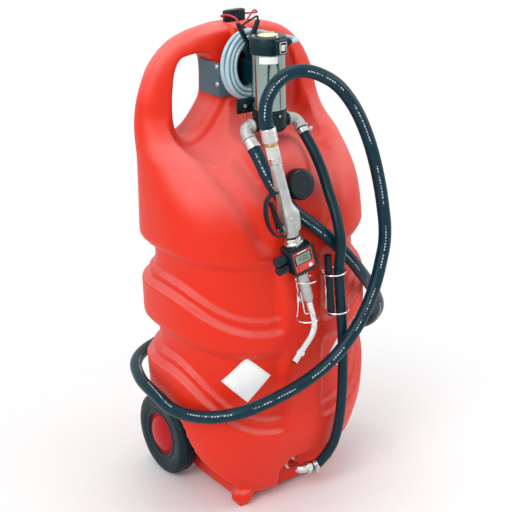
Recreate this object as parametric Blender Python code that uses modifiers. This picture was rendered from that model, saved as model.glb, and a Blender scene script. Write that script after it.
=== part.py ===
"""Oil transfer caddy: a moulded trolley tank with its pump, hoses, metered nozzle and power lead.

Metres, +Z up. The front faces -Y and the wheels are at the back. The origin is on the floor,
under the middle of the tank.
"""
import math

import bmesh
import bpy
from mathutils import Matrix, Vector

# Fits that every piece shares
FIT = 0.0003
RUNNING = 0.0006
OVERRUN = 0.004
MERGE = 0.00001

# Tank, over all
TANK_HEIGHT = 1.058
TANK_HALF_WIDTH = 0.252
TANK_HALF_DEPTH = 0.189
TANK_MIDDLE = 0.009
TANK_SQUARENESS = 2.6
TANK_WALL = 0.006
RECESS_DEPTH = 0.030
FRONT_CURVE_POWER = 3.4
STRIP_HALF_WIDTH_SHARE = 0.20
PANEL_START_SHARE = 0.24

# Height, half width, front and back of the tank's sections
TANK_SECTION_SHARES = (
    (0.010, 0.720, -0.69, 0.73), (0.076, 0.813, -0.815, 0.852), (0.132, 0.905, -0.905, 0.931),
    (0.189, 0.964, -0.974, 0.974), (0.284, 0.992, -0.989, 0.989), (0.425, 1.0, -1.0, 1.0),
    (0.586, 1.0, -0.958, 0.984), (0.681, 0.992, -0.815, 0.931), (0.756, 0.964, -0.418, 0.852),
    (0.794, 0.944, -0.048, 0.788), (0.832, 0.925, 0.122, 0.746), (0.870, 0.897, 0.164, 0.709),
    (0.907, 0.837, 0.190, 0.693), (0.936, 0.766, 0.206, 0.693), (0.964, 0.647, 0.217, 0.683),
    (0.980, 0.536, 0.228, 0.667), (0.992, 0.377, 0.243, 0.640), (1.0, 0.159, 0.296, 0.587),
)

# The tank's rings: height at the sides, height at the front, inset at the sides, inset of the panels
TANK_RING_SHARES = (
    (0.0113, 0.0113, 1.0, 1.0), (0.017, 0.017, 0.45, 0.45), (0.035, 0.032, 0.05, 0.05),
    (0.085, 0.070, 0.0, 0.0), (0.161, 0.123, 0.0, 0.0), (0.250, 0.165, 0.0, 0.0),
    (0.333, 0.192, 0.0, 0.0), (0.340, 0.198, 0.0, 0.0), (0.347, 0.212, 0.5, 0.35),
    (0.355, 0.228, 0.12, 0.1), (0.367, 0.248, 1.0, 0.6), (0.397, 0.352, 1.0, 0.6),
    (0.408, 0.367, 0.3, 0.2), (0.420, 0.377, 0.0, 0.0), (0.490, 0.412, 0.0, 0.0),
    (0.513, 0.426, 0.0, 0.0), (0.518, 0.437, 0.45, 0.3), (0.525, 0.450, 0.12, 0.1),
    (0.537, 0.465, 1.0, 0.55), (0.571, 0.546, 1.0, 0.55), (0.582, 0.560, 0.35, 0.25),
    (0.595, 0.573, 0.0, 0.0), (0.632, 0.620, 0.0, 0.0), (0.668, 0.664, 0.0, 0.0),
    (0.707, 0.707, 0.0, 0.0), (0.732, 0.732, 0.0, 0.0), (0.756, 0.756, 0.0, 0.0),
    (0.775, 0.775, 0.0, 0.0), (0.794, 0.794, 0.0, 0.0), (0.832, 0.832, 0.0, 0.0),
    (0.870, 0.870, 0.0, 0.0), (0.907, 0.907, 0.0, 0.0), (0.936, 0.936, 0.0, 0.0),
    (0.960, 0.960, 0.0, 0.0), (0.980, 0.980, 0.0, 0.0), (0.992, 0.992, 0.0, 0.0),
    (1.0, 1.0, 0.0, 0.0),
)
FRONT_COLUMN_SHARES = (
    0.0, 0.11, 0.20, 0.25, 0.34, 0.45, 0.57, 0.68, 0.78, 0.87, 0.94,
)
SIDE_COLUMN_SHARES = (0.25, 0.12, 0.0)
BACK_COLUMN_SHARES = (0.32, 0.58, 0.79, 0.94, 1.0)
INNER_FIRST_RING = 6
INNER_LAST_RING = 27
SUMP_SIZE = (0.236, 0.200, 0.380)
SUMP_CENTRE = (0.0, 0.012, 0.212)
SUMP_ROUND = 0.030

# The creases beside the dome that carries the filler neck
CREASE_DEPTH = 0.014
CREASE_WIDTH = 0.020
CREASE_LOW_SHARES = (0.32, 0.588)
CREASE_HIGH_SHARES = (0.60, 0.770)
DOME_HALF_WIDTH = 0.085
DOME_FALL = 0.075
DOME_FRONT_SHARES = (
    (0.62, -0.905), (0.66, -0.885), (0.70, -0.872), (0.728, -0.85), (0.752, -0.77),
    (0.770, -0.66), (0.782, -0.50), (0.792, -0.20), (0.80, 0.10),
)

# Hand holes through the head of the tank
HAND_HOLE_X = 0.1075
HAND_HOLE_Z = 0.920
HAND_HOLE_HALF_WIDTH = 0.0545
HAND_HOLE_HALF_HEIGHT = 0.0875
HAND_HOLE_OUTLINE_SHARES = (
    (-0.51, 0.91), (-0.78, 0.63), (-0.93, 0.23), (-1.0, -0.23), (-0.96, -0.63), (-0.78, -0.89),
    (-0.51, -1.0), (-0.14, -0.94), (0.23, -0.77), (0.60, -0.51), (0.93, -0.20), (1.0, 0.23),
    (1.0, 0.57), (0.93, 0.80), (0.65, 0.95), (0.23, 0.99), (-0.14, 0.97),
)
HAND_RIM_RADIUS = 0.022
ARCH_FRONT = 0.045
ARCH_BACK = 0.141
RAMP_REACH = 0.100

# Wheel bays, outlet recess and feet
BAY_INNER_X = 0.132
BAY_TOP = 0.246
BAY_OUTLINE_SHARES = (
    (-0.106, 0.95), (-0.238, 0.89), (-0.328, 0.56), (-0.529, 0.25), (-0.646, 0.02),
)
AXLE_Y = 0.1367
WHEEL_RADIUS = 0.100
WHEEL_WIDTH = 0.046
WHEEL_OUTER_X = 0.196
AXLE_RADIUS = 0.008
AXLE_LOOSE = 0.0008
RECESS_BACK_Y = -0.098
RECESS_TOP = 0.106
RECESS_LEFT_X = -0.047
FOOT_LENGTH = 0.046
FOOT_WIDTH = 0.050
FOOT_HEIGHT = 0.050
FOOT_LEFT_X = -0.124
FOOT_LEFT_Y = -0.098
FOOT_RIGHT_X = 0.104
FOOT_RIGHT_Y = -0.072

# Filler
NECK_TILT = math.radians(12)
NECK_X = 0.0
NECK_Z = 0.757
NECK_FACE_Y = -0.172
NECK_RADIUS = 0.0260
NECK_BORE_RADIUS = 0.0215
NECK_ROOT = 0.050
CAP_RADIUS = 0.0330
CAP_LENGTH = 0.024
CAP_TOP_THICKNESS = 0.005
CAP_RIB_COUNT = 18
CAP_RIB_DEPTH = 0.0014
GASKET_THICKNESS = 0.002

# Pump
PUMP_Y = -0.065
PUMP_TOP = 1.053
CAP_HEIGHT = 0.036
MOTOR_CAP_RADIUS = 0.0385
CAN_RADIUS = 0.0350
CAN_WALL = 0.0025
CAN_BOTTOM = 0.899
BASE_BOTTOM = 0.850
BASE_RADIUS = 0.0365
PORT_Z = 0.868
PORT_RADIUS = 0.0150
PORT_REACH = 0.044
ROTOR_RADIUS = 0.0200
ROTOR_HEIGHT = 0.016
ROTOR_VANES = 5
VANE_WIDTH = 0.0030
SHAFT_RADIUS = 0.0040
ARMATURE_RADIUS = 0.0230
ARMATURE_SLOTS = 6
DISC_RADIUS = 0.0215
PLATE_THICKNESS = 0.0008
NAMEPLATE_WIDTH = 0.042
NAMEPLATE_HEIGHT = 0.022
NAMEPLATE_ANGLE = math.radians(-124)

# Switch on the motor's cap
SWITCH_WIDTH = 0.026
SWITCH_HEIGHT = 0.030
SWITCH_DEPTH = 0.020
ROCKER_WIDTH = 0.013
ROCKER_HEIGHT = 0.019
ROCKER_DEPTH = 0.007
ROCKER_TILT = math.radians(7)
GLAND_Y = -0.1105
GLAND_Z = 1.0435
GLAND_LENGTH = 0.012
GLAND_RADIUS = 0.0070

# Brackets on the post between the hand holes
POST_SEAT_Y = 0.048
POST_SEAT_HALF_WIDTH = 0.036
SADDLE_INNER_X = 0.0575
SADDLE_THICKNESS = 0.003
SADDLE_FRONT_Y = 0.0325
SADDLE_BACK_Y = 0.112
SADDLE_BOTTOM = 0.912
SADDLE_TOP = 0.986
SCREW_HEAD_RADIUS = 0.0055
SCREW_HEAD_HEIGHT = 0.0028
SPOOL_HALF_WIDTH = 0.015
SPOOL_HALF_HEIGHT = 0.025
SPOOL_Z = 0.970
FOOTPLATE_HALF_WIDTH = 0.056
FOOTPLATE_TOP = 0.918
FOOTPLATE_BOTTOM = 0.886
FOOTPLATE_THICKNESS = 0.006
SADDLE_RIB_THICKNESS = 0.012
PEG_RADIUS = 0.0085
PEG_NECK = 0.008

# Power lead
CABLE_RADIUS = 0.00425
COIL_PITCH = 0.0097
COIL_LAYER_PITCH = 0.0090
COIL_LOOPS_PER_LAYER = 3
COIL_LAYERS = 4
COIL_POINTS = 24
COIL_INNER_HALF_WIDTH = 0.0277
COIL_INNER_HALF_HEIGHT = 0.0408
COIL_START = math.radians(75)
COIL_Y = 0.0140
COIL_Z = 0.976
TAIL_ROUTE = (
    (0.0450, -0.104, 1.0425), (0.0545, -0.082, 1.041), (0.0570, -0.055, 1.040),
    (0.0520, -0.026, 1.041), (0.0400, -0.008, 1.043),
)
TAIL_POINTS = 22
FUSE_LENGTH = 0.050
FUSE_WIDTH = 0.015
FUSE_HEIGHT = 0.024
FUSE_X = 0.020
FUSE_Y = 0.0875
LEAD_TO_FUSE = (
    (-0.004, 0.031, 1.063), (-0.008, 0.042, 1.074), (-0.014, 0.062, 1.078), (-0.019, 0.078, 1.075),
)
LEAD_FROM_FUSE = (
    (0.061, 0.079, 1.071), (0.058, 0.056, 1.076), (0.042, 0.043, 1.084),
)
LEAD_TO_BLACK = (
    (-0.004, 0.022, 1.059), (-0.007, 0.006, 1.068), (0.000, -0.008, 1.078), (0.012, -0.0115, 1.083),
)
LEAD_POINTS = 18

# Battery clamps, as shares of their handle's and jaw's lengths
GRIP_LENGTH = 0.045
JAW_LENGTH = 0.034
GRIP_SPREAD = 0.028
GRIP_WIDTH = 0.011
GRIP_THICKNESS = 0.0055
KNUCKLE_RADIUS = 0.0060
PIN_RADIUS = 0.0018
RED_CLAMP_X = -0.0025
RED_CLAMP_Y = 0.0390
BLACK_CLAMP_X = -0.0115
BLACK_CLAMP_Y = -0.0110
LEAD_RADIUS = 0.0021

# Hoses and their fittings
DELIVERY_RADIUS = 0.0140
DELIVERY_POINTS = 78
DELIVERY_ROUTE = (
    (-0.070, -0.141, 0.793), (-0.059, -0.159, 0.757), (-0.025, -0.1760, 0.708), (0.040, -0.188, 0.648),
    (0.108, -0.186, 0.580), (0.168, -0.170, 0.512), (0.236, -0.128, 0.440), (0.284, -0.085, 0.372),
    (0.300, -0.020, 0.310), (0.284, 0.080, 0.268), (0.235, 0.180, 0.262), (0.130, 0.232, 0.275),
    (0.0, 0.240, 0.284), (-0.130, 0.232, 0.288), (-0.225, 0.172, 0.290), (-0.268, 0.075, 0.287),
    (-0.272, 0.010, 0.281), (-0.268, -0.035, 0.268), (-0.252, -0.088, 0.264), (-0.216, -0.138, 0.268),
    (-0.166, -0.174, 0.279), (-0.106, -0.195, 0.296), (-0.036, -0.213, 0.322), (0.028, -0.228, 0.360),
    (0.077, -0.238, 0.408), (0.113, -0.242, 0.458), (0.139, -0.242, 0.505), (0.160, -0.238, 0.554),
    (0.178, -0.233, 0.616), (0.177, -0.227, 0.682), (0.166, -0.222, 0.756), (0.146, -0.216, 0.834),
    (0.116, -0.207, 0.907), (0.074, -0.200, 0.962), (0.030, -0.194, 0.990), (-0.012, -0.188, 1.002),
    (-0.048, -0.182, 0.994), (-0.074, -0.177, 0.969), (-0.087, -0.173, 0.937),
)
SUCTION_RADIUS = 0.0115
SUCTION_POINTS = 44
SUCTION_ROUTE = (
    (0.072, -0.124, 0.803), (0.077, -0.145, 0.764), (0.077, -0.167, 0.722), (0.072, -0.199, 0.678),
    (0.069, -0.2175, 0.624), (0.071, -0.209, 0.556), (0.077, -0.208, 0.467), (0.081, -0.208, 0.400),
    (0.083, -0.206, 0.343), (0.085, -0.202, 0.280), (0.085, -0.196, 0.220), (0.083, -0.187, 0.165),
    (0.078, -0.176, 0.122), (0.066, -0.162, 0.087),
)
FERRULE_LENGTH = 0.024
FERRULE_RADIUS = 0.0165
CLAMP_BAND_WIDTH = 0.011
CLAMP_BAND_THICKNESS = 0.0012
CLAMP_SCREW_RADIUS = 0.0034
ELBOW_X = 0.068
ELBOW_DROP = 0.030
ELBOW_RADIUS = 0.0125
ELBOW_BEND = 0.0165
ELBOW_BEAD = 0.0060
OUTLET_X = 0.004
OUTLET_Y = -0.152
OUTLET_Z = 0.066
OUTLET_END_X = 0.031
OUTLET_RADIUS = 0.0105
OUTLET_BEND = 0.0130

# Nozzle, meter and spout
NOZZLE_TOP = (-0.0850, -0.177, 0.894)
NOZZLE_VALVE = (-0.0513, -0.2077, 0.6653)
NOZZLE_LENGTH = (Vector(NOZZLE_TOP) - Vector(NOZZLE_VALVE)).length
NOZZLE_HALF_WIDTH = 0.0165
NOZZLE_SECTION_SHARES = (
    (0.0, 0.92, 0.92, 0.0), (0.10, 1.0, 1.0, 0.0), (0.17, 1.06, 1.12, 0.0), (0.26, 1.14, 1.22, 0.0),
    (0.35, 1.05, 1.12, 0.0), (0.45, 0.86, 0.95, 0.0), (0.60, 0.74, 0.84, 0.0), (0.80, 0.70, 0.78, 0.0),
    (0.92, 0.72, 0.76, 0.0), (1.0, 0.76, 0.76, 0.0),
)
SWIVEL_RADIUS = 0.0135
SWIVEL_COLLAR = 0.005
SWIVEL_HEX_LENGTH = 0.026
GUARD_RADIUS = 0.0036
GUARD_SOCKET = 0.0004
GUARD_ROUTE = ((0.030, 0.099), (0.043, 0.087), (0.050, 0.062), (0.048, 0.034), (0.036, 0.013))
GUARD_TOP = (0.0126, 0.100)
GUARD_BOTTOM = (0.0168, 0.0045)
GUARD_POINTS = 24
LEVER_PIVOT_X = 0.0250
LEVER_PIVOT_Z = 0.022
LEVER_WIDTH = 0.014
EAR_WIDTH = 0.005
EAR_RADIUS = 0.0055
LEVER_PIN_RADIUS = 0.0018
LEVER_LENGTH = 0.064
LEVER_OUTLINE_SHARES = (
    (-0.070, -0.080), (0.070, -0.080), (0.095, 0.19), (0.120, 0.70), (0.165, 0.97), (0.085, 1.0),
    (0.035, 0.70), (-0.040, 0.19),
)
NUT_START = 0.0034
NUT_END = 0.020
NUT_RADIUS = 0.0165
METER_SIZE = 0.058
METER_DEPTH = 0.043
METER_BACK = 0.0175
METER_TURN = math.radians(-6)
METER_RIBS = 5
METER_RIB_DEPTH = 0.003
METER_RIB_WIDTH = 0.004
METER_LUG_RADIUS = 0.0105
METER_LUG_LENGTH = 0.026
METER_BEZEL = 0.0035
METER_FACE_THICKNESS = 0.003
DISPLAY_WIDTH = 0.040
DISPLAY_HEIGHT = 0.024
DISPLAY_THICKNESS = 0.0012
DISPLAY_UP_SHARE = 0.10
BUTTON_DOWN_SHARE = 0.33
BUTTON_RADIUS = 0.0045
BUTTON_TRAVEL = 0.0010
SPOUT_BEND = (0.008, -0.208, 0.439)
SPOUT_TIP = (-0.061, -0.220, 0.384)
SPOUT_RADIUS = 0.0078
SPOUT_BEND_RADIUS = 0.040
SPOUT_COLLAR_RADIUS = 0.0125
SPOUT_COLLAR_LENGTH = 0.040
SPOUT_NUT_SHARE = 0.62

# Wire holders
HOLDER_TOP = 0.556
HOLDER_BOTTOM = 0.467
HOLDER_LEFT_TOP_X = -0.0137
HOLDER_LEFT_BOTTOM_X = -0.0120
HOLDER_LEFT_RADIUS = 0.0240
HOLDER_RIGHT_TOP_X = 0.0600
HOLDER_RIGHT_BOTTOM_X = 0.0660
HOLDER_RIGHT_RADIUS = 0.0262
WIRE_RADIUS = 0.0018
WIRE_OPENING = math.radians(25)
WIRE_WAIST = 0.0055
CLIP_HEIGHT = 0.026
SLEEVE_TOP = (0.0440, -0.2045, 0.598)
SLEEVE_BOTTOM = (0.0508, -0.2070, 0.460)
SLEEVE_RADIUS = 0.0078
SLEEVE_WALL = 0.0016


def clear_scene():
    """Remove what the scene holds."""
    for item in list(bpy.data.objects):
        bpy.data.objects.remove(item, do_unlink=True)


def collection(name):
    """Return a new collection linked to the scene."""
    made = bpy.data.collections.new(name)
    bpy.context.scene.collection.children.link(made)
    return made


clear_scene()
PARTS = collection("oil_transfer_caddy")
CUTTERS = collection("cutters")


def finish(name, colour, roughness, metallic=0.0):
    """Return a Principled material."""
    made = bpy.data.materials.new(name)
    made.use_nodes = True
    shader = made.node_tree.nodes["Principled BSDF"]
    shader.inputs["Base Color"].default_value = (*colour, 1.0)
    shader.inputs["Roughness"].default_value = roughness
    shader.inputs["Metallic"].default_value = metallic
    return made


RED_PLASTIC = finish("red_polyethylene", (0.80, 0.045, 0.03), 0.42)
BLACK_PLASTIC = finish("black_plastic", (0.015, 0.015, 0.016), 0.45)
BLACK_RUBBER = finish("black_rubber", (0.02, 0.02, 0.021), 0.62)
GREY_PLASTIC = finish("grey_plastic", (0.20, 0.21, 0.22), 0.55)
GREY_CABLE = finish("grey_cable", (0.42, 0.42, 0.43), 0.5)
RED_CABLE = finish("red_cable", (0.70, 0.05, 0.05), 0.5)
ZINC = finish("zinc_plate", (0.62, 0.62, 0.60), 0.38, 1.0)
CHROME = finish("chrome", (0.78, 0.78, 0.79), 0.15, 1.0)
ALUMINIUM = finish("cast_aluminium", (0.60, 0.60, 0.58), 0.42, 1.0)
BRASS = finish("brass", (0.72, 0.53, 0.22), 0.3, 1.0)
STEEL = finish("steel", (0.50, 0.50, 0.50), 0.35, 1.0)
COPPER = finish("copper", (0.70, 0.35, 0.2), 0.4, 1.0)
WHITE = finish("white_plate", (0.85, 0.85, 0.83), 0.5)
CREAM = finish("cream_disc", (0.78, 0.74, 0.50), 0.5)
METER_RED = finish("meter_red", (0.72, 0.05, 0.05), 0.4)
LCD = finish("display_glass", (0.55, 0.60, 0.52), 0.15)
CLAMP_RED = finish("red_handle", (0.75, 0.04, 0.04), 0.45)


def frame(origin, up, side=(1.0, 0.0, 0.0)):
    """Return the matrix whose Z runs along up and whose X is as near to side as it can be."""
    z = Vector(up).normalized()
    x = Vector(side) - z * Vector(side).dot(z)
    x.normalize()
    y = z.cross(x)
    turned = Matrix((x, y, z)).transposed().to_4x4()
    turned.translation = Vector(origin)
    return turned


def place(mesh, name, material, matrix=None, cutter=False):
    """Make an object of a mesh, in the parts or among the cutters."""
    made = bpy.data.objects.new(name, mesh)
    (CUTTERS if cutter else PARTS).objects.link(made)
    if material is not None and not mesh.materials:
        mesh.materials.append(material)
    if matrix is not None:
        made.matrix_world = matrix
    if cutter:
        made.hide_render = True
        made.display_type = "WIRE"
    return made


def smooth(target, angle=32.0):
    """Shade a round piece smooth, with its sharp edges kept."""
    target.data.shade_smooth()
    target.data.set_sharp_from_angle(angle=math.radians(angle))


def cut(target, cutter, operation="DIFFERENCE"):
    """Cut one object by another, or join them."""
    modifier = target.modifiers.new(cutter.name, "BOOLEAN")
    modifier.operation = operation
    modifier.object = cutter
    modifier.solver = "EXACT"
    return target


def block(name, size, centre, material, bevel=0.0, matrix=None, cutter=False, segments=2):
    """Make a box with its edges rounded."""
    mesh = bpy.data.meshes.new(name)
    shape = bmesh.new()
    bmesh.ops.create_cube(shape, size=1.0)
    bmesh.ops.scale(shape, vec=Vector(size), verts=shape.verts)
    bmesh.ops.translate(shape, vec=Vector(centre), verts=shape.verts)
    shape.to_mesh(mesh)
    shape.free()
    made = place(mesh, name, material, matrix, cutter)
    if bevel > 0.0:
        rounding = made.modifiers.new("edges", "BEVEL")
        rounding.width = bevel
        rounding.segments = segments
        rounding.limit_method = "ANGLE"
    return made


def turned(name, profile, material, matrix=None, steps=32, cutter=False):
    """Turn a profile of (radius, height) points, top to bottom on its outer side, round its Z axis."""
    mesh = bpy.data.meshes.new(name)
    shape = bmesh.new()
    points = [shape.verts.new((radius, 0.0, height)) for radius, height in profile]
    for first, second in zip(points, points[1:]):
        shape.edges.new((first, second))
    if profile[0][0] > 0.0 and profile[-1][0] > 0.0:
        shape.edges.new((points[-1], points[0]))
    shape.to_mesh(mesh)
    shape.free()
    made = place(mesh, name, material, matrix, cutter)
    lathe = made.modifiers.new("lathe", "SCREW")
    lathe.axis = "Z"
    lathe.steps = steps
    lathe.render_steps = steps
    lathe.use_merge_vertices = True
    lathe.merge_threshold = MERGE
    lathe.use_smooth_shade = True
    return made


def rod(name, radius, low, high, material, matrix=None, steps=24, chamfer=0.0, cutter=False):
    """Make a plain round bar along its Z axis."""
    if chamfer > 0.0:
        profile = ((0.0, high), (radius - chamfer, high), (radius, high - chamfer),
                   (radius, low + chamfer), (radius - chamfer, low), (0.0, low))
    else:
        profile = ((0.0, high), (radius, high), (radius, low), (0.0, low))
    return turned(name, profile, material, matrix, steps, cutter)


def ring(name, inner, outer, low, high, material, matrix=None, steps=32, cutter=False):
    """Make a plain ring round its Z axis."""
    profile = ((inner, high), (outer, high), (outer, low), (inner, low))
    return turned(name, profile, material, matrix, steps, cutter)


def prism(name, outline, low, high, material, matrix=None, bevel=0.0, cutter=False):
    """Extrude a flat outline along its Z axis."""
    mesh = bpy.data.meshes.new(name)
    shape = bmesh.new()
    face = shape.faces.new([shape.verts.new((x, y, low)) for x, y in outline])
    grown = bmesh.ops.extrude_face_region(shape, geom=[face])
    lifted = [item for item in grown["geom"] if isinstance(item, bmesh.types.BMVert)]
    bmesh.ops.translate(shape, vec=(0.0, 0.0, high - low), verts=lifted)
    bmesh.ops.recalc_face_normals(shape, faces=shape.faces)
    shape.to_mesh(mesh)
    shape.free()
    made = place(mesh, name, material, matrix, cutter)
    if bevel > 0.0:
        rounding = made.modifiers.new("edges", "BEVEL")
        rounding.width = bevel
        rounding.segments = 2
        rounding.limit_method = "ANGLE"
    return made


def regular(count, radius, turn=0.0):
    """Return the corners of a regular outline."""
    corners = []
    for number in range(count):
        angle = turn + 2.0 * math.pi * number / count
        corners.append((radius * math.cos(angle), radius * math.sin(angle)))
    return corners


def hexagon(name, across_flats, low, high, material, matrix=None, cutter=False):
    """Make a hexagon bar along its Z axis."""
    outline = regular(6, across_flats / math.sqrt(3.0))
    return prism(name, outline, low, high, material, matrix, cutter=cutter)


def hermite(points, count):
    """Return count points spaced evenly along a smooth curve through the points."""
    knots = [Vector(point) for point in points]
    lengths = [0.0]
    for first, second in zip(knots, knots[1:]):
        lengths.append(lengths[-1] + (second - first).length)
    slopes = []
    for number, _ in enumerate(knots):
        before = max(number - 1, 0)
        after = min(number + 1, len(knots) - 1)
        slopes.append((knots[after] - knots[before]) / (lengths[after] - lengths[before]))
    fine = []
    steps = 12
    for number in range(len(knots) - 1):
        span = lengths[number + 1] - lengths[number]
        for step in range(steps):
            t = step / steps
            first = (2 * t ** 3 - 3 * t ** 2 + 1) * knots[number]
            second = (t ** 3 - 2 * t ** 2 + t) * span * slopes[number]
            third = (-2 * t ** 3 + 3 * t ** 2) * knots[number + 1]
            fourth = (t ** 3 - t ** 2) * span * slopes[number + 1]
            fine.append(first + second + third + fourth)
    fine.append(knots[-1])
    run = [0.0]
    for first, second in zip(fine, fine[1:]):
        run.append(run[-1] + (second - first).length)
    picked = []
    index = 0
    for number in range(count):
        goal = run[-1] * number / (count - 1)
        while index < len(run) - 2 and run[index + 1] < goal:
            index += 1
        share = (goal - run[index]) / max(run[index + 1] - run[index], MERGE)
        picked.append(fine[index].lerp(fine[index + 1], min(share, 1.0)))
    return picked


def tube(name, points, radius, material, resolution=2, cyclic=False, radii=None):
    """Make a round tube along points, as a curve with filled caps."""
    curve = bpy.data.curves.new(name, "CURVE")
    curve.dimensions = "3D"
    curve.bevel_depth = radius
    curve.bevel_resolution = resolution
    curve.use_fill_caps = True
    spline = curve.splines.new("POLY")
    spline.points.add(len(points) - 1)
    for number, point in enumerate(points):
        spline.points[number].co = (*point, 1.0)
        if radii is not None:
            spline.points[number].radius = radii[number]
    spline.use_cyclic_u = cyclic
    curve.materials.append(material)
    made = bpy.data.objects.new(name, curve)
    PARTS.objects.link(made)
    return made


def solid_of(source, material, name=None, cutter=False):
    """Turn a curve or a modified object into a plain closed mesh, and remove the source."""
    bpy.context.view_layer.update()
    seen = source.evaluated_get(bpy.context.evaluated_depsgraph_get())
    mesh = bpy.data.meshes.new_from_object(seen)
    shape = bmesh.new()
    shape.from_mesh(mesh)
    bmesh.ops.remove_doubles(shape, verts=shape.verts, dist=MERGE)
    shape.to_mesh(mesh)
    shape.free()
    matrix = source.matrix_world.copy()
    title = name or source.name
    bpy.data.objects.remove(source, do_unlink=True)
    mesh.materials.clear()
    return place(mesh, title, material, matrix, cutter)


def length_of(points):
    """Return the length along a line of points."""
    return sum((b - a).length for a, b in zip(points, points[1:]))


def run(start, out, route, end, back, straight, count):
    """Return a cord's points: a straight stretch at each end, and an even curve through its route."""
    first = start + out.normalized() * straight
    last = end + back.normalized() * straight
    inner = hermite([first] + [Vector(point) for point in route] + [last], count)
    return [start] + inner + [end]


def lookup(table, share, column):
    """Read a table of shares at a height share, smoothly."""
    if share <= table[0][0]:
        return table[0][column]
    if share >= table[-1][0]:
        return table[-1][column]
    place_in = 0
    while table[place_in + 1][0] < share:
        place_in += 1
    before = table[max(place_in - 1, 0)]
    low = table[place_in]
    high = table[place_in + 1]
    after = table[min(place_in + 2, len(table) - 1)]
    span = high[0] - low[0]
    t = (share - low[0]) / span
    slope_low = (high[column] - before[column]) / (high[0] - before[0])
    slope_high = (after[column] - low[column]) / (after[0] - low[0])
    return ((2 * t ** 3 - 3 * t ** 2 + 1) * low[column]
            + (t ** 3 - 2 * t ** 2 + t) * span * slope_low
            + (-2 * t ** 3 + 3 * t ** 2) * high[column]
            + (t ** 3 - t ** 2) * span * slope_high)


def ramp(value, low, high):
    """Return 0 below low, 1 above high and a smooth step between."""
    t = min(max((value - low) / (high - low), 0.0), 1.0)
    return t * t * (3.0 - 2.0 * t)


def tank_columns():
    """Return (x share, y share) of each column, counter-clockwise from the front middle."""
    power = TANK_SQUARENESS

    def partner(share):
        return max(1.0 - share ** power, 0.0) ** (1.0 / power)

    quarter = [(share, -partner(share)) for share in FRONT_COLUMN_SHARES]
    quarter += [(partner(share), -share) for share in SIDE_COLUMN_SHARES]
    quarter += [(partner(share), share) for share in BACK_COLUMN_SHARES]
    mirrored = [(-x, y) for x, y in reversed(quarter[1:-1])]
    return quarter + mirrored


def front_blend(x_share, y_share):
    """Return 1 at the front middle and 0 at the sides and the back."""
    if y_share >= 0.0:
        return 0.0
    return 1.0 - abs(x_share) ** FRONT_CURVE_POWER


def tank_point(column, row, wall=0.0, plain=False):
    """Return the tank's surface at a column of a ring."""
    x_share, y_share = column
    side_z, front_z, side_inset, panel_inset = row
    blend = front_blend(x_share, y_share)
    height_share = side_z + (front_z - side_z) * blend
    half_width = TANK_HALF_WIDTH * lookup(TANK_SECTION_SHARES, height_share, 1)
    front = TANK_HALF_DEPTH * lookup(TANK_SECTION_SHARES, height_share, 2)
    back = TANK_HALF_DEPTH * lookup(TANK_SECTION_SHARES, height_share, 3)
    middle = (front + back) / 2.0
    half_depth = (back - front) / 2.0
    inset = panel_inset + (side_inset - panel_inset) * (1.0 - blend)
    if y_share < 0.0 and not plain:
        inset *= ramp(abs(x_share), STRIP_HALF_WIDTH_SHARE, PANEL_START_SHARE)
    depth = RECESS_DEPTH * inset + wall
    x = x_share * (half_width - depth)
    y = middle + y_share * (half_depth - depth)
    if y_share < 0.0 and not plain:
        y = front_relief(x, y, height_share)
    return Vector((x, TANK_MIDDLE + y, TANK_HEIGHT * height_share))


def front_relief(x, y, height_share):
    """Press the creases into the front and raise the dome under the filler."""
    low_x, low_z = CREASE_LOW_SHARES
    high_x, high_z = CREASE_HIGH_SHARES
    along = (height_share - low_z) / (high_z - low_z)
    if -0.1 < along < 1.2:
        crease_x = TANK_HALF_WIDTH * (low_x + (high_x - low_x) * along)
        fade = ramp(along, -0.1, 0.15) * (1.0 - ramp(along, 0.8, 1.2))
        away = (abs(x) - crease_x) / CREASE_WIDTH
        y += CREASE_DEPTH * fade * math.exp(-away * away)
    if DOME_FRONT_SHARES[0][0] < height_share < DOME_FRONT_SHARES[-1][0]:
        dome = TANK_HALF_DEPTH * lookup(DOME_FRONT_SHARES, height_share, 1)
        dome += DOME_FALL * (abs(x) / DOME_HALF_WIDTH) ** 3
        y = min(y, dome)
    return y


def strip_y(height):
    """Return how far forward the strip down the tank's front is at a height."""
    rows = [tank_point((0.0, -1.0), row) for row in TANK_RING_SHARES]
    for low, high in zip(rows, rows[1:]):
        if low.z <= height <= high.z:
            return low.y + (high.y - low.y) * (height - low.z) / (high.z - low.z)
    return rows[-1].y


def loft(rings):
    """Return a closed mesh through rings of equal numbers of points, from bottom to top."""
    shape = bmesh.new()
    rows = [[shape.verts.new(point) for point in points] for points in rings]
    count = len(rows[0])
    for low, high in zip(rows, rows[1:]):
        for number in range(count):
            after = (number + 1) % count
            shape.faces.new((low[number], low[after], high[after], high[number]))
    shape.faces.new(list(reversed(rows[0])))
    shape.faces.new(rows[-1])
    return shape


def mesh_of(shape, name):
    """Write a bmesh to a new mesh."""
    bmesh.ops.recalc_face_normals(shape, faces=shape.faces)
    mesh = bpy.data.meshes.new(name)
    shape.to_mesh(mesh)
    shape.free()
    return mesh


def grown_outline(outline, reach):
    """Return an outline moved outwards by reach."""
    grown = []
    count = len(outline)
    for number, (x, z) in enumerate(outline):
        before = outline[number - 1]
        after = outline[(number + 1) % count]
        along = Vector((after[0] - before[0], after[1] - before[1])).normalized()
        grown.append((x + along.y * reach, z - along.x * reach))
    return grown


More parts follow.
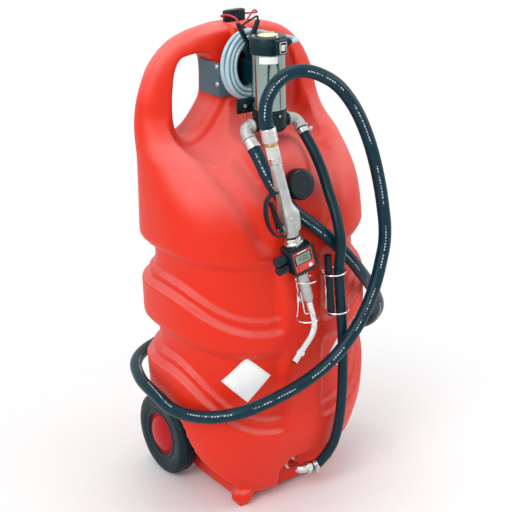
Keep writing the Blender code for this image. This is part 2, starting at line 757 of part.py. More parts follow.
def hand_hole_cutter(name, side):
    """Return the flared solid that opens one hand hole and rounds its rims."""
    outline = []
    for x_share, z_share in HAND_HOLE_OUTLINE_SHARES:
        outline.append((-HAND_HOLE_X + HAND_HOLE_HALF_WIDTH * x_share,
                        HAND_HOLE_Z + HAND_HOLE_HALF_HEIGHT * z_share))
    stations = [(-RAMP_REACH, 1.9), (ARCH_FRONT - HAND_RIM_RADIUS, 1.25)]
    for step in (1.0, 0.6, 0.3, 0.0):
        stations.append((ARCH_FRONT + HAND_RIM_RADIUS * (1.0 - step),
                         1.0 - math.sqrt(1.0 - step * step)))
    for step in (0.0, 0.3, 0.6, 1.0):
        stations.append((ARCH_BACK - HAND_RIM_RADIUS * (1.0 - step),
                         1.0 - math.sqrt(1.0 - step * step)))
    stations.append((ARCH_BACK + HAND_RIM_RADIUS, 1.25))
    stations.append((ARCH_BACK + RAMP_REACH, 1.4))
    rings = []
    for y, flare in stations:
        grown = grown_outline(outline, HAND_RIM_RADIUS * flare)
        rings.append([Vector((side * -x, y, z)) for x, z in grown])
    return place(mesh_of(loft(rings), name), name, None, cutter=True)


def bay_cutter(name, side):
    """Return the solid that makes room for one wheel; on the right it runs on to the front."""
    top = BAY_TOP
    outline = [(TANK_HALF_DEPTH + RECESS_DEPTH * 2.0, -RECESS_DEPTH),
               (TANK_HALF_DEPTH + RECESS_DEPTH * 2.0, top), (AXLE_Y - WHEEL_RADIUS / 2.0, top)]
    outline += [(y * TANK_HALF_DEPTH, z * top) for y, z in BAY_OUTLINE_SHARES]
    if side > 0.0:
        reach = -TANK_HALF_DEPTH - RECESS_DEPTH
        outline = outline[:5] + [(RECESS_BACK_Y, RECESS_TOP), (reach, RECESS_TOP), (reach, -RECESS_DEPTH)]
    else:
        outline.append((outline[-1][0], -RECESS_DEPTH))
    matrix = frame((0.0, 0.0, 0.0), (1.0, 0.0, 0.0), (0.0, 1.0, 0.0))
    near = BAY_INNER_X
    far = TANK_HALF_WIDTH + RECESS_DEPTH
    low, high = (near, far) if side > 0.0 else (-far, -near)
    return prism(name, outline, low, high, None, matrix, cutter=True)


def tank():
    """The hollow moulded tank with its arch handle, hand holes, neck, wheel bays and feet."""
    columns = tank_columns()
    rings = [[tank_point(column, row) for column in columns] for row in TANK_RING_SHARES]
    body = place(mesh_of(loft(rings), "tank"), "tank", RED_PLASTIC)

    inner_columns = columns[::2]
    hollow_rings = []
    for row in TANK_RING_SHARES[INNER_FIRST_RING:INNER_LAST_RING]:
        hollow_rings.append([tank_point(column, row, TANK_WALL, plain=True) for column in inner_columns])
    hollow = place(mesh_of(loft(hollow_rings), "tank_hollow"), "tank_hollow", None, cutter=True)
    sump = block("tank_sump", SUMP_SIZE, SUMP_CENTRE, None, SUMP_ROUND, cutter=True)

    left_foot = block("left_foot", (FOOT_WIDTH, FOOT_LENGTH, FOOT_HEIGHT),
                      (FOOT_LEFT_X, FOOT_LEFT_Y, FOOT_HEIGHT / 2.0), None, RECESS_DEPTH / 5.0, cutter=True)
    right_foot = block("right_foot", (FOOT_WIDTH, FOOT_LENGTH, FOOT_HEIGHT),
                       (FOOT_RIGHT_X, FOOT_RIGHT_Y, FOOT_HEIGHT / 2.0), None,
                       RECESS_DEPTH / 5.0, cutter=True)
    reach = TANK_HALF_DEPTH + RECESS_DEPTH
    recess = block("outlet_recess",
                   (BAY_INNER_X + OVERRUN - RECESS_LEFT_X, reach + RECESS_BACK_Y, RECESS_TOP + RECESS_DEPTH),
                   ((BAY_INNER_X + OVERRUN + RECESS_LEFT_X) / 2.0, (-reach + RECESS_BACK_Y) / 2.0,
                    (RECESS_TOP - RECESS_DEPTH) / 2.0), None, RECESS_DEPTH * 0.6, cutter=True, segments=4)
    axle_hole = rod("axle_hole", AXLE_RADIUS + AXLE_LOOSE, -TANK_HALF_WIDTH, TANK_HALF_WIDTH, None,
                    frame((0.0, AXLE_Y, WHEEL_RADIUS), (1.0, 0.0, 0.0), (0.0, 1.0, 0.0)),
                    steps=20, cutter=True)
    neck_matrix = neck_frame()
    neck = rod("neck", NECK_RADIUS, -NECK_ROOT, 0.0, None, neck_matrix, steps=28, cutter=True)
    bore = rod("neck_bore", NECK_BORE_RADIUS, -NECK_ROOT * 2.2, OVERRUN, None, neck_matrix, steps=24,
               cutter=True)
    cut(body, neck, "UNION")
    cut(body, hand_hole_cutter("hand_hole_left", -1.0))
    cut(body, hand_hole_cutter("hand_hole_right", 1.0))
    cut(body, bay_cutter("wheel_bay_left", -1.0))
    cut(body, bay_cutter("wheel_bay_right", 1.0))
    cut(body, recess)
    seat_height = SADDLE_TOP - SADDLE_BOTTOM + OVERRUN * 3.0
    cut(body, block("post_seat", (POST_SEAT_HALF_WIDTH * 2.0, RAMP_REACH, seat_height),
                    (0.0, POST_SEAT_Y - RAMP_REACH / 2.0, (SADDLE_TOP + SADDLE_BOTTOM) / 2.0), None,
                    cutter=True))
    cut(body, left_foot, "UNION")
    cut(body, right_foot, "UNION")
    cut(body, axle_hole)
    cut(body, hollow)
    cut(body, sump)
    cut(body, bore)
    smooth(body, 40.0)
    return body


def neck_frame():
    """Return the filler neck's frame: Z out of the tank along its axis, from its mouth."""
    out = (0.0, -math.cos(NECK_TILT), math.sin(NECK_TILT))
    return frame((NECK_X, NECK_FACE_Y, NECK_Z), out)


def filler():
    """The ribbed filler cap and the gasket inside it."""
    matrix = neck_frame()
    skirt = CAP_LENGTH
    top = GASKET_THICKNESS + FIT * 2.0 + CAP_TOP_THICKNESS
    low = top - skirt
    inner = NECK_RADIUS + RUNNING
    seat = GASKET_THICKNESS + FIT * 2.0
    core = CAP_RADIUS - CAP_RIB_DEPTH
    edge = CAP_TOP_THICKNESS * 0.4
    cap = turned("filler_cap", ((0.0, top), (core - edge, top), (core, top - edge), (core, low),
                                (inner, low), (inner, seat), (0.0, seat)), BLACK_PLASTIC, matrix, steps=36)
    ribs = bmesh.new()
    for number in range(CAP_RIB_COUNT):
        angle = 2.0 * math.pi * number / CAP_RIB_COUNT
        grown = bmesh.ops.create_cube(ribs, size=1.0)
        wide = core * math.pi / CAP_RIB_COUNT
        bmesh.ops.scale(ribs, vec=(CAP_RIB_DEPTH * 2.0, wide, skirt - edge * 2.0), verts=grown["verts"])
        bmesh.ops.translate(ribs, vec=(core, 0.0, (low + top) / 2.0), verts=grown["verts"])
        bmesh.ops.rotate(ribs, matrix=Matrix.Rotation(angle, 3, "Z"), verts=grown["verts"])
    cut(cap, place(mesh_of(ribs, "cap_ribs"), "cap_ribs", None, matrix, cutter=True), "UNION")
    ring("cap_gasket", NECK_BORE_RADIUS, NECK_RADIUS, FIT, FIT + GASKET_THICKNESS, BLACK_RUBBER, matrix,
         steps=20)


def wheels():
    """The axle, and on each side a tyre, a red wheel disc and its retaining washer."""
    axis = (1.0, 0.0, 0.0)
    rim = WHEEL_RADIUS * 0.62
    bead = WHEEL_RADIUS * 0.66
    half = WHEEL_WIDTH / 2.0
    boss = AXLE_RADIUS * 2.1
    axle_end = WHEEL_OUTER_X + AXLE_RADIUS
    rod("axle", AXLE_RADIUS, -axle_end, axle_end, STEEL, frame((0.0, AXLE_Y, WHEEL_RADIUS), axis, (0, 1, 0)),
        steps=20, chamfer=AXLE_RADIUS / 6.0)
    for side, word in ((-1.0, "left"), (1.0, "right")):
        centre = side * (WHEEL_OUTER_X - half)
        matrix = frame((centre, AXLE_Y, WHEEL_RADIUS), (side, 0.0, 0.0), (0.0, 1.0, 0.0))
        shoulder = WHEEL_RADIUS * 0.94
        tyre_profile = (
            (bead, half * 0.80), (bead + half * 0.25, half), (shoulder - half * 0.35, half * 0.98),
            (shoulder, half * 0.72), (WHEEL_RADIUS, half * 0.25), (WHEEL_RADIUS, -half * 0.25),
            (shoulder, -half * 0.72), (shoulder - half * 0.35, -half * 0.98),
            (bead + half * 0.25, -half), (bead, -half * 0.80),
        )
        turned("wheel_%s_tyre" % word, tyre_profile, BLACK_RUBBER, matrix, steps=28)
        bore = AXLE_RADIUS + AXLE_LOOSE
        lip = bead - FIT
        disc_profile = (
            (bore, half * 0.62), (boss, half * 0.62), (boss * 1.25, half * 0.30),
            (rim * 0.86, half * 0.22), (rim, half * 0.62), (lip, half * 0.74), (lip, -half * 0.74),
            (rim, -half * 0.62), (rim * 0.86, -half * 0.16), (boss * 1.25, -half * 0.24),
            (boss, -half * 0.9), (bore, -half * 0.9),
        )
        turned("wheel_%s_hub" % word, disc_profile, RED_PLASTIC, matrix, steps=28)
        ring("wheel_%s_washer" % word, AXLE_RADIUS + FIT, boss * 0.9, half * 0.62 + FIT,
             half * 0.62 + FIT + AXLE_RADIUS * 0.3, ZINC, matrix, steps=16)


def saddle():
    """The grey saddle round the post, and the black pump bracket with its cable peg."""
    height = SADDLE_TOP - SADDLE_BOTTOM
    middle = (SADDLE_TOP + SADDLE_BOTTOM) / 2.0
    outer = SADDLE_INNER_X + SADDLE_THICKNESS
    back = SADDLE_FRONT_Y + SADDLE_THICKNESS
    plate = block("saddle_bracket", (outer * 2.0, SADDLE_THICKNESS, height),
                  (0.0, SADDLE_FRONT_Y + SADDLE_THICKNESS / 2.0, middle), GREY_PLASTIC)
    for side in (-1.0, 1.0):
        cheek = block("saddle_cheek", (SADDLE_THICKNESS, SADDLE_BACK_Y - SADDLE_FRONT_Y, height),
                      (side * (outer - SADDLE_THICKNESS / 2.0), (SADDLE_BACK_Y + SADDLE_FRONT_Y) / 2.0,
                       middle), None, cutter=True)
        cut(plate, cheek, "UNION")
    seat = POST_SEAT_Y - FIT
    rib = block("saddle_rib", (SADDLE_RIB_THICKNESS, seat - back + OVERRUN / 2.0, height),
                (0.0, (seat + back - OVERRUN / 2.0) / 2.0, middle), None, cutter=True)
    cut(plate, rib, "UNION")

    face = SADDLE_FRONT_Y - FIT
    pump_back = PUMP_Y + BASE_RADIUS + FIT
    depth = face - pump_back
    between = (face + pump_back) / 2.0
    spool = block("pump_bracket", (SPOOL_HALF_WIDTH * 2.0, depth, SPOOL_HALF_HEIGHT * 2.0),
                  (0.0, between, SPOOL_Z), BLACK_PLASTIC)
    footplate = block("pump_footplate",
                      (FOOTPLATE_HALF_WIDTH * 2.0, FOOTPLATE_THICKNESS, FOOTPLATE_TOP - FOOTPLATE_BOTTOM),
                      (0.0, pump_back + FOOTPLATE_THICKNESS / 2.0, (FOOTPLATE_TOP + FOOTPLATE_BOTTOM) / 2.0),
                      None, FOOTPLATE_THICKNESS / 3.0, cutter=True)
    riser = block("pump_riser", (SPOOL_HALF_WIDTH * 2.0, FOOTPLATE_THICKNESS, SPOOL_Z - FOOTPLATE_BOTTOM),
                  (0.0, pump_back + FOOTPLATE_THICKNESS / 2.0, (SPOOL_Z + FOOTPLATE_BOTTOM) / 2.0), None,
                  cutter=True)
    line = coil_points()
    crown = [point.z for point in line if abs(point.x) < PEG_RADIUS and point.z > COIL_Z]
    peg_z = min(crown) - CABLE_RADIUS - RUNNING - PEG_RADIUS
    peg_front = COIL_Y - COIL_LAYER_PITCH * COIL_LAYERS / 2.0
    peg = rod("coil_peg", PEG_RADIUS, 0.0, face - peg_front, None,
              frame((0.0, peg_front, peg_z), (0.0, 1.0, 0.0)), steps=20, cutter=True)
    neck = block("peg_neck", (PEG_NECK, face - peg_front, peg_z - SPOOL_Z),
                 (0.0, (face + peg_front) / 2.0, (peg_z + SPOOL_Z) / 2.0), None, cutter=True)
    cut(spool, riser, "UNION")
    cut(spool, neck, "UNION")
    cut(spool, peg, "UNION")
    cut(spool, footplate, "UNION")


def pump():
    """The vane pump and its motor: housing, rotor, armature, can, cap and plates."""
    at = Matrix.Translation((0.0, PUMP_Y, 0.0))
    top = CAN_BOTTOM - FIT
    chamber_low = PORT_Z - ROTOR_HEIGHT / 2.0 - RUNNING
    chamber_high = PORT_Z + ROTOR_HEIGHT / 2.0 + RUNNING
    profile = ((0.0, top), (BASE_RADIUS, top), (BASE_RADIUS, PORT_Z - PORT_RADIUS * 0.4),
               (BASE_RADIUS * 0.86, BASE_BOTTOM + PORT_RADIUS * 0.2), (BASE_RADIUS * 0.6, BASE_BOTTOM),
               (0.0, BASE_BOTTOM))
    base = turned("pump_base", profile, BLACK_PLASTIC, at, steps=24)
    across = frame((0.0, PUMP_Y, PORT_Z), (1.0, 0.0, 0.0), (0.0, 1.0, 0.0))
    cut(base, rod("pump_ports", PORT_RADIUS, -PORT_REACH, PORT_REACH, None, across, steps=16, cutter=True),
        "UNION")
    cut(base, rod("pump_chamber", ROTOR_RADIUS + RUNNING, chamber_low, chamber_high, None, at, steps=18,
                  cutter=True))
    cut(base, rod("pump_port_bore", PORT_RADIUS * 0.55, -PORT_REACH - OVERRUN, PORT_REACH + OVERRUN, None,
                  across, steps=12, cutter=True))
    cut(base, rod("pump_shaft_bore", SHAFT_RADIUS + RUNNING, PORT_Z, top + OVERRUN, None, at, steps=12,
                  cutter=True))
    smooth(base)

    outline = []
    core = ROTOR_RADIUS * 0.72
    half_vane = VANE_WIDTH / 2.0
    for number in range(ROTOR_VANES):
        middle = 2.0 * math.pi * number / ROTOR_VANES
        for radius, offset in ((core, -1.0), (ROTOR_RADIUS, -1.0), (ROTOR_RADIUS, 1.0), (core, 1.0)):
            angle = middle + offset * half_vane / radius
            outline.append((radius * math.cos(angle), radius * math.sin(angle)))
        between = middle + math.pi / ROTOR_VANES
        outline.append((core * math.cos(between), core * math.sin(between)))
    prism("pump_rotor", outline, PORT_Z - ROTOR_HEIGHT / 2.0, PORT_Z + ROTOR_HEIGHT / 2.0, STEEL, at)

    cap_low = PUMP_TOP - CAP_HEIGHT
    shaft_low = PORT_Z + ROTOR_HEIGHT / 2.0 + FIT
    shaft_high = cap_low + SHAFT_RADIUS
    armature = rod("motor_armature", ARMATURE_RADIUS, CAN_BOTTOM + SHAFT_RADIUS * 3.0,
                   cap_low - SHAFT_RADIUS * 3.0, COPPER, at, steps=18)
    slots = bmesh.new()
    for number in range(ARMATURE_SLOTS):
        grown = bmesh.ops.create_cube(slots, size=1.0)
        bmesh.ops.scale(slots, vec=(SHAFT_RADIUS, VANE_WIDTH, CAP_HEIGHT * 4.0), verts=grown["verts"])
        bmesh.ops.translate(slots, vec=(ARMATURE_RADIUS, 0.0, (CAN_BOTTOM + cap_low) / 2.0),
                            verts=grown["verts"])
        turn = Matrix.Rotation(2.0 * math.pi * number / ARMATURE_SLOTS, 3, "Z")
        bmesh.ops.rotate(slots, matrix=turn, verts=grown["verts"])
    cut(armature, place(mesh_of(slots, "armature_slots"), "armature_slots", None, at, cutter=True))
    cut(armature, rod("motor_shaft", SHAFT_RADIUS, shaft_low, shaft_high, None, at, steps=12, cutter=True),
        "UNION")

    ring("motor_can", CAN_RADIUS - CAN_WALL, CAN_RADIUS, CAN_BOTTOM, cap_low - FIT, STEEL, at, steps=28)
    edge = CAN_WALL
    cap = turned("motor_cap", ((0.0, PUMP_TOP), (MOTOR_CAP_RADIUS - edge * 1.5, PUMP_TOP),
                               (MOTOR_CAP_RADIUS - edge * 0.4, PUMP_TOP - edge * 0.5),
                               (MOTOR_CAP_RADIUS, PUMP_TOP - edge * 1.5), (MOTOR_CAP_RADIUS, cap_low),
                               (0.0, cap_low)), BLACK_PLASTIC, at, steps=28)
    cut(cap, rod("cap_bearing", SHAFT_RADIUS + RUNNING, cap_low - OVERRUN, shaft_high + FIT, None, at,
                 steps=16, cutter=True))
    smooth(cap)

    outline = []
    reach = NAMEPLATE_WIDTH / 2.0 / CAN_RADIUS
    inner = CAN_RADIUS + FIT
    steps = 8
    for radius, order in ((inner + PLATE_THICKNESS, 1), (inner, -1)):
        for number in list(range(steps + 1))[::order]:
            angle = NAMEPLATE_ANGLE + reach * (2.0 * number / steps - 1.0)
            outline.append((radius * math.cos(angle), radius * math.sin(angle)))
    rod("cap_disc", DISC_RADIUS, PUMP_TOP + FIT, PUMP_TOP + FIT + PLATE_THICKNESS, CREAM, at, steps=24)
    high = cap_low - PLATE_THICKNESS * 4.0
    prism("motor_nameplate", outline, high - NAMEPLATE_HEIGHT, high, WHITE, at)


def switch():
    """The switch box on the front of the motor's cap, its rocker, and the cable gland beside it."""
    cap_low = PUMP_TOP - CAP_HEIGHT
    middle = (PUMP_TOP + cap_low) / 2.0
    back = PUMP_Y - MOTOR_CAP_RADIUS * 0.8
    front = PUMP_Y - MOTOR_CAP_RADIUS - SWITCH_DEPTH * 0.75
    box = block("switch_housing", (SWITCH_WIDTH, back - front, SWITCH_HEIGHT),
                (0.0, (back + front) / 2.0, middle), BLACK_PLASTIC, SWITCH_DEPTH / 8.0)
    at = Matrix.Translation((0.0, PUMP_Y, 0.0))
    cut(box, rod("switch_seat", MOTOR_CAP_RADIUS + FIT, cap_low - OVERRUN, PUMP_TOP + OVERRUN, None, at,
                 steps=28, cutter=True))
    room = (ROCKER_WIDTH + FIT * 2.0, ROCKER_DEPTH * 2.0, ROCKER_HEIGHT + RUNNING * 2.0)
    pocket = block("rocker_pocket", room, (0.0, front, middle), None, cutter=True)
    cut(box, pocket)
    pivot = (0.0, front + ROCKER_DEPTH * 0.35, middle)
    half = ROCKER_HEIGHT / 2.0
    low = -ROCKER_DEPTH * 0.45
    outline = ((low, half * 0.80), (ROCKER_DEPTH * 0.62, half * 0.97), (ROCKER_DEPTH * 0.42, 0.0),
               (ROCKER_DEPTH * 0.62, -half * 0.97), (low, -half * 0.80))
    matrix = frame(pivot, (1.0, 0.0, 0.0), (0.0, -1.0, 0.0)) @ Matrix.Rotation(ROCKER_TILT, 4, "Z")
    prism("switch_rocker", outline, -ROCKER_WIDTH / 2.0, ROCKER_WIDTH / 2.0, WHITE, matrix)

    out = frame((SWITCH_WIDTH / 2.0 + FIT, GLAND_Y, GLAND_Z), (1.0, 0.0, 0.0), (0.0, 1.0, 0.0))
    turned("cable_gland", ((0.0, GLAND_LENGTH), (CABLE_RADIUS * 1.2, GLAND_LENGTH),
                           (GLAND_RADIUS * 0.8, GLAND_LENGTH * 0.7), (GLAND_RADIUS, GLAND_LENGTH * 0.6),
                           (GLAND_RADIUS, 0.0), (0.0, 0.0)), BLACK_PLASTIC, out, steps=20)


def corner(before, at, after, radius, count=7):
    """Return the points of a round bend that cuts the corner between three points."""
    into = (Vector(at) - Vector(before)).normalized()
    out = (Vector(after) - Vector(at)).normalized()
    turn = into.angle(out)
    reach = radius * math.tan(turn / 2.0)
    start = Vector(at) - into * reach
    axis = into.cross(out).normalized()
    inward = axis.cross(into)
    middle = start + inward * radius
    points = []
    for number in range(count):
        spin = Matrix.Rotation(turn * number / (count - 1), 3, axis)
        points.append(middle + spin @ (start - middle))
    return points


def elbow(name, side):
    """Make one screwed elbow, a bent tube with a bead at each end, and return its end and direction."""
    start = Vector((side * (PORT_REACH + FIT), PUMP_Y, PORT_Z))
    middle = Vector((side * ELBOW_X, PUMP_Y, PORT_Z))
    down = Vector((0.0, -1.0, -1.0)).normalized()
    end = middle + down * ELBOW_DROP
    inset = ELBOW_BEAD / 2.0
    points = [start + Vector((side * inset, 0.0, 0.0))]
    points += corner(start, middle, end, ELBOW_BEND)
    points.append(end - down * inset)
    body = solid_of(tube(name, points, ELBOW_RADIUS, ZINC, resolution=3), ZINC)
    bead = ELBOW_RADIUS * 1.22
    cut(body, rod(name + "_bead_in", bead, 0.0, ELBOW_BEAD, None, frame(start, (side, 0.0, 0.0), (0, 1, 0)),
                  steps=16, cutter=True), "UNION")
    cut(body, rod(name + "_bead_out", bead, 0.0, ELBOW_BEAD, None, frame(end, -down), steps=16, cutter=True),
        "UNION")
    smooth(body)
    return end, down


def hose_clamp(name, centre, along, hose_radius, screw_side):
    """A worm-drive hose clamp: its band, its screw housing and the wing screw through it."""
    matrix = frame(centre, along, screw_side)
    inner = hose_radius + FIT
    outer = inner + CLAMP_BAND_THICKNESS
    half = CLAMP_BAND_WIDTH / 2.0
    band = ring(name, inner, outer, -half, half, ZINC, matrix, steps=20)
    housing = block(name + "_housing", (CLAMP_SCREW_RADIUS * 2.2, CLAMP_BAND_WIDTH * 1.15, CLAMP_BAND_WIDTH),
                    (outer + CLAMP_SCREW_RADIUS * 0.9, 0.0, 0.0), None, CLAMP_BAND_THICKNESS / 2.0, matrix,
                    cutter=True, segments=1)
    screw_at = matrix @ Matrix.Translation((outer + CLAMP_SCREW_RADIUS, 0.0, 0.0))
    screw_at = screw_at @ Matrix.Rotation(math.radians(90), 4, "X")
    screw = rod(name + "_screw", CLAMP_SCREW_RADIUS * 0.7, -CLAMP_BAND_WIDTH, CLAMP_BAND_WIDTH, None,
                screw_at, steps=10, cutter=True)
    wing = block(name + "_wing", (CLAMP_BAND_WIDTH * 1.1, CLAMP_BAND_THICKNESS, CLAMP_BAND_WIDTH * 0.5),
                 (0.0, 0.0, -CLAMP_BAND_WIDTH * 1.2), None, 0.0, screw_at, cutter=True)
    cut(band, housing, "UNION")
    cut(band, screw, "UNION")
    cut(band, wing, "UNION")


def hoses():
    """The elbows, both hoses with their ferrules and clamps, and the tank's outlet fitting."""
    left_end, left_down = elbow("outlet_elbow", -1.0)
    right_end, right_down = elbow("inlet_elbow", 1.0)
    ferrule_top = left_end + left_down * FIT
    rod("pump_ferrule", FERRULE_RADIUS, 0.0, FERRULE_LENGTH, ZINC,
        frame(ferrule_top + left_down * FERRULE_LENGTH, -left_down), steps=24, chamfer=FIT * 4.0)
    start = ferrule_top + left_down * (FERRULE_LENGTH + FIT)
    nozzle = nozzle_frame()
    end = nozzle @ Vector((0.0, 0.0, NOZZLE_LENGTH + FIT))
    upward = nozzle.to_3x3() @ Vector((0.0, 0.0, 1.0))
    points = run(start, left_down, DELIVERY_ROUTE, end, upward, DELIVERY_RADIUS * 1.5, DELIVERY_POINTS)
    tube("delivery_hose", points, DELIVERY_RADIUS, BLACK_RUBBER)
    print("delivery hose length", round(length_of(points), 3))

    start = right_end + right_down * FIT
    fitting_end = Vector((OUTLET_END_X + FIT, OUTLET_Y, OUTLET_Z))
    across = Vector((1.0, 0.0, 0.0))
    points = run(start, right_down, SUCTION_ROUTE, fitting_end, across, SUCTION_RADIUS * 1.5, SUCTION_POINTS)
    tube("suction_hose", points, SUCTION_RADIUS, BLACK_RUBBER)
    print("suction hose length", round(length_of(points), 3))
    hose_clamp("suction_clamp_upper", start + right_down * CLAMP_BAND_WIDTH * 0.7, right_down, SUCTION_RADIUS,
               (1.0, 0.0, 0.0))
    hose_clamp("suction_clamp_lower", fitting_end + Vector((CLAMP_BAND_WIDTH * 0.7, 0.0, 0.0)),
               (1.0, 0.0, 0.0), SUCTION_RADIUS, (0.0, -1.0, 0.0))

    wall = Vector((OUTLET_X, RECESS_BACK_Y - FIT, OUTLET_Z))
    bend = Vector((OUTLET_X, OUTLET_Y, OUTLET_Z))
    end = Vector((OUTLET_END_X, OUTLET_Y, OUTLET_Z))
    inset = Vector((0.0, OUTLET_RADIUS / 2.0, 0.0))
    points = [wall - inset]
    points += corner(wall, bend, end, OUTLET_BEND)
    points.append(end)
    fitting = solid_of(tube("outlet_fitting", points, OUTLET_RADIUS, ZINC, resolution=4), ZINC)
    cut(fitting, hexagon("outlet_hex_wall", OUTLET_RADIUS * 2.7, 0.0, OUTLET_RADIUS, None,
                         frame(wall, (0.0, -1.0, 0.0)), cutter=True), "UNION")
    nut = bend + Vector((OUTLET_BEND, 0.0, 0.0))
    cut(fitting, hexagon("outlet_hex_end", OUTLET_RADIUS * 2.5, 0.0, OUTLET_RADIUS, None,
                         frame(nut, (1.0, 0.0, 0.0), (0.0, 1.0, 0.0)), cutter=True), "UNION")
    smooth(fitting)


def nozzle_frame():
    """Return the nozzle's frame: origin at its valve end, Z up along its grip."""
    up = Vector(NOZZLE_TOP) - Vector(NOZZLE_VALVE)
    return frame(NOZZLE_VALVE, up)


def spout_frame():
    """Return the meter's and spout's frame: origin at the valve end, Z back up towards the nozzle."""
    up = Vector(NOZZLE_VALVE) - Vector(SPOUT_BEND)
    return frame(NOZZLE_VALVE, up)


def sections(name, material, rows, matrix, count=18):
    """Loft round sections (height, half width, half depth, shift) along Z."""
    rings = []
    for height, half_x, half_y, shift in rows:
        ring_points = []
        for number in range(count):
            angle = 2.0 * math.pi * number / count
            ring_points.append(Vector((shift + half_x * math.cos(angle), half_y * math.sin(angle), height)))
        rings.append(ring_points)
    made = place(mesh_of(loft(rings), name), name, material, matrix)
    smooth(made, 50.0)
    return made


def nozzle():
    """The hand nozzle: hose end, swivel, grip and valve body, guard and lever."""
    at = nozzle_frame()
    top = NOZZLE_LENGTH
    ferrule_low = top - FERRULE_LENGTH * 1.3
    rod("nozzle_ferrule", FERRULE_RADIUS, ferrule_low, top, ZINC, at, steps=24, chamfer=FIT * 4.0)
    collar_low = ferrule_low - SWIVEL_COLLAR
    ring_low = collar_low - FIT
    rod("swivel_ring", SWIVEL_RADIUS, ring_low, ferrule_low - FIT, BRASS, at, steps=24)
    upper_low = ring_low - FIT - SWIVEL_HEX_LENGTH
    body_top = upper_low - SWIVEL_HEX_LENGTH * 0.5
    swivel = hexagon("hose_swivel", SWIVEL_RADIUS * 2.0, upper_low, ring_low - FIT, ZINC, at)
    cut(swivel, hexagon("swivel_lower", SWIVEL_RADIUS * 1.8, body_top, upper_low + FIT, None,
                        at @ Matrix.Rotation(math.radians(30), 4, "Z"), cutter=True), "UNION")
    high = body_top - FIT
    rows = []
    for share, wide, deep, shift in NOZZLE_SECTION_SHARES:
        rows.append((high * share, *(NOZZLE_HALF_WIDTH * part for part in (wide, deep, shift))))
    body = sections("nozzle_body", ALUMINIUM, rows, at)
    pivot = at @ Matrix.Translation((-LEVER_PIVOT_X, 0.0, LEVER_PIVOT_Z))
    pivot = pivot @ Matrix.Rotation(math.radians(90), 4, "X")
    half_ear = EAR_WIDTH / 2.0
    ear = rod("lever_ear", EAR_RADIUS, -half_ear, half_ear, None, pivot, steps=16, cutter=True)
    web = block("ear_web", (LEVER_PIVOT_X, EAR_RADIUS * 2.0, EAR_WIDTH), (LEVER_PIVOT_X / 2.0, 0.0, 0.0),
                None, 0.0, pivot, cutter=True)
    cut(ear, web, "UNION")
    cut(body, ear, "UNION")
    cut(body, rod("ear_hole", LEVER_PIN_RADIUS + FIT, -EAR_WIDTH, EAR_WIDTH, None, pivot, steps=12,
                  cutter=True))

    route = [GUARD_TOP] + list(GUARD_ROUTE) + [GUARD_BOTTOM]
    points = [at @ Vector((-out - GUARD_SOCKET, 0.0, up)) for out, up in route]
    tube("lever_guard", hermite(points, GUARD_POINTS), GUARD_RADIUS, BLACK_PLASTIC)

    outline = []
    for out_share, up_share in LEVER_OUTLINE_SHARES[::-1]:
        outline.append((-LEVER_LENGTH * out_share, LEVER_LENGTH * up_share))
    half = LEVER_WIDTH / 2.0
    lever = prism("nozzle_lever", outline, -half, half, BLACK_PLASTIC, pivot)
    slot = EAR_RADIUS + RUNNING
    cut(lever, rod("lever_slot", slot, -half_ear - FIT, half_ear + FIT, None, pivot, steps=16, cutter=True))
    web_room = block("web_room", (LEVER_PIVOT_X, slot * 2.0, EAR_WIDTH + FIT * 2.0),
                     (LEVER_PIVOT_X / 2.0, 0.0, 0.0), None, 0.0, pivot, cutter=True)
    cut(lever, web_room)
    cut(lever, rod("lever_pin", LEVER_PIN_RADIUS, -half + FIT, half - FIT, None, pivot, steps=12,
                   cutter=True), "UNION")


